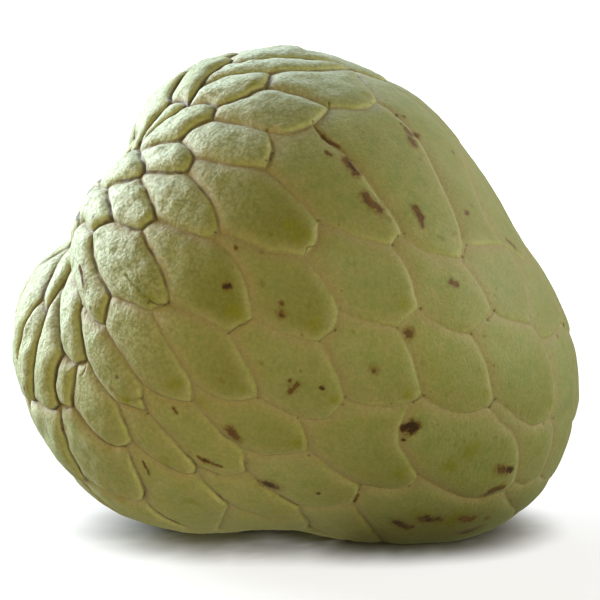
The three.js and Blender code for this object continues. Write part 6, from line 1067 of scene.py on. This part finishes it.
# marks: for each kind, the least distance over radius
fields = {k: np.full(len(dirs), 3.0) for k in "dbsgjyp"}
for kind, r, path in mark_paths:
    dist = path_distance(path, max(4.2 * r, 1.5))
    if kind == "c":
        h = h - 0.30 * np.exp(-(dist / (r * 1.1)) ** 2) + 0.10 * np.exp(-((dist - 2.6 * r) / (1.3 * r)) ** 2)
        fields["j"] = np.minimum(fields["j"], dist / r + 1.05)
        continue
    fields[kind] = np.minimum(fields[kind], dist / (1.5 * r if kind in "db" else r))
    if kind == "d":
        h = h - 0.07 * np.exp(-(dist / r) ** 2)
    elif kind == "b":
        h = h - 0.03 * np.exp(-(dist / r) ** 2)
    elif kind == "j":
        h = h - 0.16 * np.exp(-(dist / (1.2 * r)) ** 2)
    elif kind == "p":
        h = h + 0.05 * np.exp(-(dist / r) ** 2)

# the woody scar where the stem came off, and the dry tip at the blossom end
stem_mm = ang * 46.0
scar_edge = 3.6 + 0.5 * noise(dirs * 30.0, 41)
woody = 1 - ramp(stem_mm, scar_edge - 0.35, scar_edge + 0.35)
h = h * (1 - woody) + woody * (0.75 + 0.16 * noise(P0 / 0.9, 42) + 0.12 * np.cos(stem_mm * 2.6) - 0.55 * np.exp(-(stem_mm / 0.9) ** 2))
h = h - 0.45 * np.exp(-((stem_mm - 4.5) / 0.8) ** 2)
tip_mm = np.arccos(np.clip(dirs @ BLOSSOM, -1, 1)) * 52.0
h = h - 0.5 * np.exp(-(tip_mm / 1.3) ** 2)
woody = np.maximum(woody, 1 - ramp(tip_mm, 0.5, 1.1))

over = np.clip(T, 0, 1) * np.exp(-((E - 0.5) / 0.55) ** 2) * (0.16 + 0.14 * near_stem) * plump
over[seam] = 0
P1 = P0 + N0 * h[:, None] + FL * over[:, None]
P1[:, 2] = np.maximum(P1[:, 2], 0.0)

me = bpy.data.meshes.new("cherimoya_skin")
me.from_pydata((P1 * 0.001).tolist(), [], F.tolist())
me.update()
me.polygons.foreach_set("use_smooth", [True] * len(me.polygons))
ob = bpy.data.objects.new("cherimoya_skin", me)
bpy.context.scene.collection.objects.link(ob)
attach(ob, "root")
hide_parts("cherimoya")


def attribute(name, values):
    a = me.attributes.new(name, "FLOAT", "POINT")
    a.data.foreach_set("value", np.asarray(values, np.float32))


attribute("edge", E)
attribute("tip", beside(T))
attribute("along", beside(U))
attribute("chance", beside(att[:, 5]))
attribute("chance2", beside(att[:, 6]))
attribute("stem", near_stem)
attribute("rough", rough)
attribute("bold", bold)
# painted shade: the lowest skin on the right, near where the fruit rests, is marked for darkening
attribute("low_right_painted_shade", (1 - ramp(P1[:, 2], 1.5, 15.0)) * ramp(P1[:, 0], -30.0, 5.0))
attribute("grainy", rough * (1 - 0.60 * ramp(-dirs[:, 2], -0.15, 0.45)) * (1 - 0.55 * ramp(dirs[:, 1], 0.05, 0.55)) * (1 - 0.42 * ramp(dirs[:, 2], 0.40, 0.85)) * (1 - 0.35 * ramp(-dirs[:, 0], 0.55, 0.90)))
attribute("cup", ramp(ang, 0.32, 0.80))
# painted shade: the side facing the window and back lamps is painted a deeper, darker green, which tones down that
# brightly lit side
away = ramp(dirs @ unit(np.array([-0.45, 0.85, 0.25])), 0.38, 0.80)
attribute("shade", away)
attribute("woody", woody)
ripe = 0.12 + 0.30 * att[:, 6]
for c, k in RIPE.items():
    ripe[CELL == c] = k
attribute("ripe", beside(ripe))
# the pale bloom is laid heavier on top, a painted highlight where the light falls, and thinner below and much thinner
# on the side facing the window lamp, painted shade that tones down the lit side
bloom_painted_light = 1 + 0.16 * ramp(dirs[:, 2], 0.25, 0.85) - 0.50 * ramp(-dirs[:, 2], 0.05, 0.60)
attribute("bloom_painted_light", bloom_painted_light * (1 - 0.55 * low_side) * (1 - 0.62 * ramp(dirs @ unit(np.array([-0.35, 0.90, 0.25])), 0.10, 0.75)))
for k, n in zip("dbsgjyp", ("dark", "brown", "stain", "olive", "joint", "yellow", "pale")):
    attribute(n, np.clip(fields[k], 0, 3))

# ------------------------------------------------------------------------------------------------------------
# Finish of the skin
# ------------------------------------------------------------------------------------------------------------
mat = bpy.data.materials.new("cherimoya_skin")
mat.use_nodes = True
nt = mat.node_tree
bsdf = nt.nodes["Principled BSDF"]


def put(node, i, v):
    s = node.inputs[i]
    if isinstance(v, bpy.types.NodeSocket):
        nt.links.new(v, s)
    elif isinstance(v, tuple) and len(v) == 3 and s.type == "RGBA":
        s.default_value = (*v, 1)
    else:
        s.default_value = v


def calc(op, a, b=0.0, c=0.0, clamp=False):
    n = nt.nodes.new("ShaderNodeMath")
    n.operation = op
    n.use_clamp = clamp
    for i, v in enumerate((a, b, c)):
        put(n, i, v)
    return n.outputs[0]


def attr(name):
    n = nt.nodes.new("ShaderNodeAttribute")
    n.attribute_type = "GEOMETRY"
    n.attribute_name = name
    return n.outputs["Fac"]


def step(x, a, b):
    """0 at a, 1 at b, smooth between; a may be the larger"""
    n = nt.nodes.new("ShaderNodeMapRange")
    n.interpolation_type = "SMOOTHSTEP"
    put(n, 0, x)
    if a < b:
        put(n, 1, a), put(n, 2, b), put(n, 3, 0.0), put(n, 4, 1.0)
    else:
        put(n, 1, b), put(n, 2, a), put(n, 3, 1.0), put(n, 4, 0.0)
    return n.outputs[0]


def mix(f, a, b, kind="MIX"):
    n = nt.nodes.new("ShaderNodeMix")
    n.data_type = "RGBA"
    n.blend_type = kind
    n.clamp_factor = True
    put(n, 0, f), put(n, 6, a), put(n, 7, b)
    return n.outputs[2]


coords = nt.nodes.new("ShaderNodeTexCoord").outputs["Object"]


def grain(mm, detail=2.0, roughness=0.5, shift=0.0, warp=0.0):
    """noise about mm across, from -1 to 1"""
    n = nt.nodes.new("ShaderNodeTexNoise")
    v = coords
    if shift:
        m = nt.nodes.new("ShaderNodeVectorMath")
        m.operation = "ADD"
        put(m, 0, v), put(m, 1, (shift, shift * 0.7, -shift))
        v = m.outputs[0]
    put(n, 0, v)
    n.inputs["Scale"].default_value = 1000.0 / mm
    n.inputs["Detail"].default_value = detail
    n.inputs["Roughness"].default_value = roughness
    n.inputs["Distortion"].default_value = warp
    return calc("MULTIPLY_ADD", n.outputs[0], 2.6, -1.3)


def specks(every, radius, share, shift):
    """small round spots scattered through the skin, 0 to 1"""
    m = nt.nodes.new("ShaderNodeVectorMath")
    m.operation = "ADD"
    put(m, 0, coords), put(m, 1, (shift, -shift, shift * 0.6))
    n = nt.nodes.new("ShaderNodeTexVoronoi")
    nt.links.new(m.outputs[0], n.inputs["Vector"])
    n.inputs["Scale"].default_value = 1000.0 / every
    s = nt.nodes.new("ShaderNodeSeparateColor")
    nt.links.new(n.outputs["Color"], s.inputs[0])
    d = calc("MULTIPLY_ADD", n.outputs["Distance"], every, calc("MULTIPLY", tiny, 0.10))
    size = calc("MULTIPLY_ADD", s.outputs[1], radius * 0.6, radius * 0.6)
    return calc("MULTIPLY", step(calc("DIVIDE", d, size), 1.25, 0.6), step(s.outputs[0], share + 0.02, share - 0.02))


edge, tip, along = attr("edge"), attr("tip"), attr("along")
stem, rough_a, ripe_a = attr("stem"), attr("rough"), attr("ripe")
chance, chance2 = attr("chance"), attr("chance2")
big, mid, small, tiny = grain(9.0, 2), grain(3.6, 3, shift=0.31), grain(1.5, 3, shift=0.52), grain(0.42, 2, shift=0.77)


def pebbles(mm, shift):
    """rounded bumps mm across with pits between them, about -1 to 1"""
    m = nt.nodes.new("ShaderNodeVectorMath")
    m.operation = "ADD"
    put(m, 0, coords), put(m, 1, (shift, shift, -shift))
    n = nt.nodes.new("ShaderNodeTexVoronoi")
    nt.links.new(m.outputs[0], n.inputs["Vector"])
    n.inputs["Scale"].default_value = 1000.0 / mm
    return calc("MULTIPLY_ADD", n.outputs["Distance"], -2.6, 1.25)


pebble = calc("ADD", calc("MULTIPLY", pebbles(0.78, 0.3), 0.42), calc("MULTIPLY", grain(0.80, 3, 0.68, 0.11), 0.85))

# flesh green, in patches warmer or greyer, more olive towards the far end of each scale
col = mix(calc("MULTIPLY_ADD", big, 0.5, 0.5), GREEN, GREEN_WARM)
col = mix(calc("MULTIPLY", step(calc("ADD", mid, calc("MULTIPLY", chance, 0.8)), -0.2, 1.1), 0.6), col, GREEN_GREY)
patch = calc("MULTIPLY_ADD", grain(2.4, 3, 0.6, shift=0.87), 0.6, calc("MULTIPLY_ADD", mid, 0.45, calc("MULTIPLY_ADD", small, 0.35, calc("MULTIPLY", tiny, 0.25))))
middle = calc("MULTIPLY_ADD", step(edge, 0.8, 5.0), -0.35, 0.16)
col = mix(calc("MULTIPLY", step(calc("ADD", patch, middle), 0.0, 0.60), 0.58), col, MOTTLE_TAN)
col = mix(calc("MULTIPLY", step(calc("ADD", patch, middle), 0.0, -0.60), 0.70), col, MOTTLE_GREEN)
olive = calc("MULTIPLY", step(calc("MULTIPLY_ADD", mid, 0.35, along), -0.5, 1.0), step(edge, 0.3, 3.0))
col = mix(calc("MULTIPLY", olive, ripe_a, clamp=True), col, OLIVE)
# near the stem, pale bloom on the raised pebbles, partly a real waxy bloom and partly a painted highlight on the pebble
# tops; dark green painted shade in the pits between them
pit_shade = step(calc("MULTIPLY_ADD", tiny, 0.6, pebble), 0.15, -0.50)
col = mix(calc("MULTIPLY", pit_shade, calc("MULTIPLY_ADD", attr("grainy"), 0.74, 0.10)), col, PIT_SHADE)
bloom_highlight = calc("MULTIPLY", stem, calc("MULTIPLY_ADD", step(calc("MULTIPLY_ADD", tiny, 0.75, pebble), -0.38, 0.52), calc("MULTIPLY_ADD", attr("grainy"), 0.62, 0.40), calc("ADD", calc("MULTIPLY", small, 0.20), calc("MULTIPLY_ADD", attr("grainy"), -0.31, 0.34))), clamp=True)
bloom_highlight = calc("MULTIPLY", calc("MULTIPLY", bloom_highlight, calc("MULTIPLY_ADD", along, -0.30, 0.95), clamp=True), attr("bloom_painted_light"))
col = mix(calc("MULTIPLY", bloom_highlight, calc("MULTIPLY_ADD", ripe_a, -0.7, 1.15), clamp=True), col, BLOOM_HIGHLIGHT)
# painted shade: a deeper green on the side facing the window and back lamps
col = mix(calc("MULTIPLY", attr("shade"), calc("MULTIPLY_ADD", mid, 0.12, 0.36)), col, DEEP_SHADE_GREEN)
# yellow-green flanks and far ends
flank = calc("MULTIPLY", calc("MULTIPLY", step(calc("MULTIPLY_ADD", small, 0.5, edge), 2.6, 0.5), step(tip, 0.1, 0.9)), calc("MULTIPLY", rough_a, attr("cup")))
col = mix(calc("MULTIPLY", flank, calc("MULTIPLY_ADD", chance2, 0.35, 0.40)), col, FLANK)
col = mix(calc("MULTIPLY", step(calc("MULTIPLY_ADD", small, 0.50, calc("MULTIPLY_ADD", tiny, 0.20, attr("yellow"))), 1.35, 0.0), 0.80), col, YELLOW)

# seams: a tan band where a scale comes out from under the last, a pale rim along its far edge painted as a highlight,
# and the line itself
band = calc("MULTIPLY", step(calc("MULTIPLY_ADD", mid, 0.7, calc("MULTIPLY_ADD", small, 0.4, edge)), 2.3, 0.0), step(tip, 0.5, -0.2))
col = mix(calc("MULTIPLY", band, calc("MULTIPLY_ADD", chance, 0.2, 0.48)), col, TAN)
# painted highlight: a pale rim along the far, raised edge of each scale
rim_highlight = calc("MULTIPLY", calc("MULTIPLY", step(edge, 1.3, 0.5), step(edge, 0.05, 0.40)), step(tip, 0.0, 0.7))
rim_highlight = calc("MULTIPLY", rim_highlight, calc("MULTIPLY_ADD", attr("cup"), 0.65, 0.35))
col = mix(calc("MULTIPLY", rim_highlight, calc("MULTIPLY_ADD", attr("bold"), 0.32, calc("MULTIPLY_ADD", mid, 0.30, 0.36)), clamp=True), col, RIM_HIGHLIGHT)
line = step(calc("MULTIPLY_ADD", attr("bold"), -0.16, calc("MULTIPLY_ADD", small, 0.10, edge)), 0.42, 0.02)
col = mix(calc("MULTIPLY", line, calc("MULTIPLY_ADD", stem, 0.45, calc("MULTIPLY_ADD", mid, 0.35, 0.20)), clamp=True), col, SEAM)
# the seam line darkened near the stem and towards each scale's far end: partly the seam's own dark colour, partly
# painted shade in the deep creases there
crease_shade = step(calc("MULTIPLY_ADD", attr("bold"), 1.0, calc("MULTIPLY_ADD", along, 0.55, calc("MULTIPLY", mid, 0.7))), 0.55, 1.35)
col = mix(calc("MULTIPLY", calc("MULTIPLY", line, crease_shade), 0.78), col, SEAM_DARK)

# painted shade: a dark olive laid over the low skin on the right, near where it rests
col = mix(calc("MULTIPLY", attr("low_right_painted_shade"), calc("MULTIPLY_ADD", mid, 0.15, 0.60)), col, (0.130, 0.124, 0.018))

# pale scar lines, stains and spots, all with ragged edges
ragged = calc("MULTIPLY_ADD", grain(1.5, 3, 0.6, shift=0.41), 0.60, calc("MULTIPLY", grain(0.60, 3, 0.6, shift=0.63), 0.62))
fine_rag = calc("MULTIPLY", grain(0.55, 2, shift=0.18), 0.55)
rust = mix(step(calc("ADD", small, tiny), -0.7, 0.7), BROWN, RUST)
col = mix(calc("MULTIPLY", step(calc("ADD", attr("pale"), fine_rag), 1.25, 0.35), 0.5), col, SCAR)
col = mix(calc("MULTIPLY", step(calc("ADD", attr("olive"), ragged), 1.8, 0.1), 0.50), col, OLIVE_DARK)
col = mix(calc("MULTIPLY", step(calc("ADD", attr("stain"), ragged), 1.7, 0.2), 0.56), col, STAIN)
col = mix(calc("MULTIPLY", step(calc("ADD", attr("brown"), ragged), 2.05, 0.5), 0.66), col, STAIN)
col = mix(calc("MULTIPLY", step(calc("ADD", attr("brown"), ragged), 1.02, 0.54), 0.93), col, rust)
col = mix(calc("MULTIPLY", step(calc("ADD", attr("dark"), ragged), 1.40, 0.75), 0.78), col, rust)
col = mix(calc("MULTIPLY", step(calc("ADD", attr("joint"), fine_rag), 1.65, 0.30), 0.72), col, JOINT)
col = mix(calc("MULTIPLY", step(calc("ADD", attr("dark"), ragged), 0.86, 0.42), 0.93), col, DARK)
col = mix(calc("MULTIPLY", specks(4.2, 0.34, 0.45, 0.21), 0.62), col, STAIN)
col = mix(calc("MULTIPLY", specks(5.5, 0.75, 0.5, 0.67), 0.40), col, OLIVE)
wood = attr("woody")
col = mix(wood, col, mix(calc("MULTIPLY_ADD", small, 0.5, 0.5), WOOD, WOOD_DARK))
# painted shade: the lamp-facing side darkened further
col = mix(calc("MULTIPLY", attr("shade"), 0.36), col, (0.075, 0.098, 0.028))
# fine pores
pores = calc("MULTIPLY_ADD", tiny, 0.34, calc("MULTIPLY_ADD", grain(0.75, 2, shift=0.93), 0.26, 0.5), clamp=True)
col = mix(calc("MULTIPLY", pores, 0.46), col, (0.02, 0.02, 0.01))

put(bsdf, "Base Color", col)
put(bsdf, "Roughness", calc("MULTIPLY_ADD", small, 0.06, calc("MULTIPLY_ADD", stem, 0.08, 0.56)))
bsdf.inputs["Specular IOR Level"].default_value = 0.33
bsdf.inputs["Sheen Weight"].default_value = 0.16
bsdf.inputs["Sheen Roughness"].default_value = 0.45
bsdf.inputs["Sheen Tint"].default_value = (0.85, 1.0, 0.9, 1)

height = calc("MULTIPLY", pebble, calc("MULTIPLY_ADD", attr("grainy"), 0.30, 0.20))
height = calc("ADD", height, calc("MULTIPLY", tiny, calc("MULTIPLY_ADD", attr("grainy"), 0.16, 0.14)))
bump = nt.nodes.new("ShaderNodeBump")
bump.inputs["Strength"].default_value = 1.0
bump.inputs["Distance"].default_value = 0.00019
put(bump, "Height", height)
put(bsdf, "Normal", bump.outputs[0])
me.materials.append(mat)

# ------------------------------------------------------------------------------------------------------------
# Studio
# ------------------------------------------------------------------------------------------------------------
lines_ = np.concatenate([[-4000, -1200, -400, -200, -120], np.arange(-95, 95.1, 2.5), [120, 200, 400, 1200, 4000]])
gx, gy = np.meshgrid(lines_, lines_, indexing="ij")
floor_pts = np.stack([gx.ravel(), gy.ravel(), np.zeros(gx.size)], 1)
n_line = len(lines_)
quads = [(i * n_line + j, (i + 1) * n_line + j, (i + 1) * n_line + j + 1, i * n_line + j + 1) for i in range(n_line - 1) for j in range(n_line - 1)]
# how far each point of the floor is from the fruit above it
low = P1[P1[:, 2] < 14.0][::5]
gap = np.full(len(floor_pts), 99.0)
inner = np.where((np.abs(floor_pts[:, :2]) < 100).all(1))[0]
for k in range(0, len(inner), 500):
    q = floor_pts[inner[k:k + 500]]
    gap[inner[k:k + 500]] = np.sqrt(((q[:, None, :] - low[None, :, :]) ** 2).sum(2).min(1))
fl_me = bpy.data.meshes.new("floor")
fl_me.from_pydata((floor_pts * 0.001).tolist(), [], quads)
fa = fl_me.attributes.new("gap", "FLOAT", "POINT")
fa.data.foreach_set("value", gap.astype(np.float32))
floor = bpy.data.objects.new("floor", fl_me)
bpy.context.scene.collection.objects.link(floor)
fm = bpy.data.materials.new("pale_floor")
fm.use_nodes = True
fb = fm.node_tree.nodes["Principled BSDF"]
fb.inputs["Base Color"].default_value = (0.22, 0.22, 0.22, 1)
fb.inputs["Roughness"].default_value = 0.9
fb.inputs["Specular IOR Level"].default_value = 0.0
fb.inputs["Emission Color"].default_value = (1.0, 1.0, 1.0, 1)
# a glowing white table; its glow is taken away close under the fruit, a painted contact shadow
fgap = fm.node_tree.nodes.new("ShaderNodeAttribute")
fgap.attribute_name = "gap"
painted_contact_shadow = fm.node_tree.nodes.new("ShaderNodeMapRange")
painted_contact_shadow.interpolation_type = "SMOOTHSTEP"
for i, v in ((1, 0.5), (2, 11.0), (3, 0.0), (4, 0.80)):
    painted_contact_shadow.inputs[i].default_value = v
fm.node_tree.links.new(fgap.outputs["Fac"], painted_contact_shadow.inputs[0])
ffar = fm.node_tree.nodes.new("ShaderNodeTexCoord")
flen = fm.node_tree.nodes.new("ShaderNodeVectorMath")
flen.operation = "LENGTH"
fout = fm.node_tree.nodes.new("ShaderNodeMapRange")
fout.interpolation_type = "SMOOTHSTEP"
for i, v in ((1, 0.10), (2, 0.45), (3, 0.0), (4, 0.34)):
    fout.inputs[i].default_value = v
fsum = fm.node_tree.nodes.new("ShaderNodeMath")
fsum.operation = "ADD"
fm.node_tree.links.new(ffar.outputs["Object"], flen.inputs[0])
fm.node_tree.links.new(flen.outputs["Value"], fout.inputs[0])
fm.node_tree.links.new(painted_contact_shadow.outputs[0], fsum.inputs[0])
fm.node_tree.links.new(fout.outputs[0], fsum.inputs[1])
fm.node_tree.links.new(fsum.outputs[0], fb.inputs["Emission Strength"])
fl_me.materials.append(fm)
floor.visible_diffuse = False
floor.visible_glossy = False

# what the table gives back to the fruit's underside is a soft warm bounce
bounce_me = bpy.data.meshes.new("bounce")
bounce_me.from_pydata([(-1, -1, -0.0003), (1, -1, -0.0003), (1, 1, -0.0003), (-1, 1, -0.0003)], [], [(0, 1, 2, 3)])
bounce = bpy.data.objects.new("bounce", bounce_me)
bpy.context.scene.collection.objects.link(bounce)
bm_ = bpy.data.materials.new("bounce")
bm_.use_nodes = True
bm_.node_tree.nodes["Principled BSDF"].inputs["Base Color"].default_value = (*BOUNCE, 1)
bm_.node_tree.nodes["Principled BSDF"].inputs["Roughness"].default_value = 1.0
bm_.node_tree.nodes["Principled BSDF"].inputs["Specular IOR Level"].default_value = 0.0
bounce_me.materials.append(bm_)
bounce.visible_camera = False
bounce.visible_glossy = False
bounce.visible_shadow = False

# a small glowing card laid on the table in front, for soft light from below
card_me = bpy.data.meshes.new("card")
card_me.from_pydata([(x * 0.001, y * 0.001, -0.0002) for x, y in CARD], [], [(0, 1, 2, 3)])
card = bpy.data.objects.new("card", card_me)
bpy.context.scene.collection.objects.link(card)
cm = bpy.data.materials.new("card")
cm.use_nodes = True
card_bsdf = cm.node_tree.nodes["Principled BSDF"]
card_bsdf.inputs["Base Color"].default_value = (*BOUNCE, 1)
card_bsdf.inputs["Roughness"].default_value = 1.0
card_bsdf.inputs["Specular IOR Level"].default_value = 0.0
card_bsdf.inputs["Emission Color"].default_value = (*CARD_GLOW, 1)
card_bsdf.inputs["Emission Strength"].default_value = 1.0
card_me.materials.append(cm)
card.visible_camera = False
card.visible_glossy = False
card.visible_shadow = False

cam_data = bpy.data.cameras.new("camera")
cam = bpy.data.objects.new("camera", cam_data)
bpy.context.scene.collection.objects.link(cam)
cam_data.sensor_width = 36
cam_data.lens = 177.84
cam_data.clip_end = 20
TARGET = Vector((CENTRE[0], CENTRE[1], CENTRE[2] + 0.6)) * 0.001
EYE = TARGET + Vector((0, -math.cos(math.radians(10)), math.sin(math.radians(10)))) * 0.6
cam.location = EYE
cam.rotation_euler = (TARGET - EYE).to_track_quat("-Z", "Y").to_euler()
bpy.context.scene.camera = cam

world = bpy.data.worlds.new("world")
bpy.context.scene.world = world
world.use_nodes = True
wn = world.node_tree
back = wn.nodes["Background"]
back.inputs["Strength"].default_value = 1.0
wdir = wn.nodes.new("ShaderNodeTexCoord")
wsep = wn.nodes.new("ShaderNodeSeparateXYZ")
wmap = wn.nodes.new("ShaderNodeMapRange")
wmap.interpolation_type = "SMOOTHSTEP"
wmap.inputs[1].default_value, wmap.inputs[2].default_value = -0.25, 0.30
wmix = wn.nodes.new("ShaderNodeMix")
wmix.data_type = "RGBA"
wn.links.new(wdir.outputs["Generated"], wsep.inputs[0])
wn.links.new(wsep.outputs["Z"], wmap.inputs[0])
wn.links.new(wmap.outputs[0], wmix.inputs[0])
wmix.inputs[6].default_value, wmix.inputs[7].default_value = (*BELOW, 1), (*AMBIENT, 1)
wn.links.new(wmix.outputs[2], back.inputs["Color"])
white = wn.nodes.new("ShaderNodeBackground")
white.inputs["Color"].default_value = (1, 1, 1, 1)
white.inputs["Strength"].default_value = 1.0
path = wn.nodes.new("ShaderNodeLightPath")
blend = wn.nodes.new("ShaderNodeMixShader")
wn.links.new(path.outputs["Is Camera Ray"], blend.inputs[0])
wn.links.new(back.outputs[0], blend.inputs[1])
wn.links.new(white.outputs[0], blend.inputs[2])
wn.links.new(blend.outputs[0], wn.nodes["World Output"].inputs[0])

AIM = Vector((0, 0, 0.045))
for name, az, el, away, size, colour in LIGHTS:
    light = bpy.data.lights.new(name, "AREA")
    light.shape = "DISK"
    light.size = size
    top = max(colour)
    light.energy = top
    light.color = tuple(c / top for c in colour)
    o = bpy.data.objects.new(name, light)
    a, e = math.radians(az), math.radians(el)
    o.location = AIM + away * Vector((math.cos(a) * math.cos(e), math.sin(a) * math.cos(e), math.sin(e)))
    o.rotation_euler = (AIM - o.location).to_track_quat("-Z", "Y").to_euler()
    bpy.context.scene.collection.objects.link(o)
bpy.context.scene.view_settings.view_transform = "Standard"
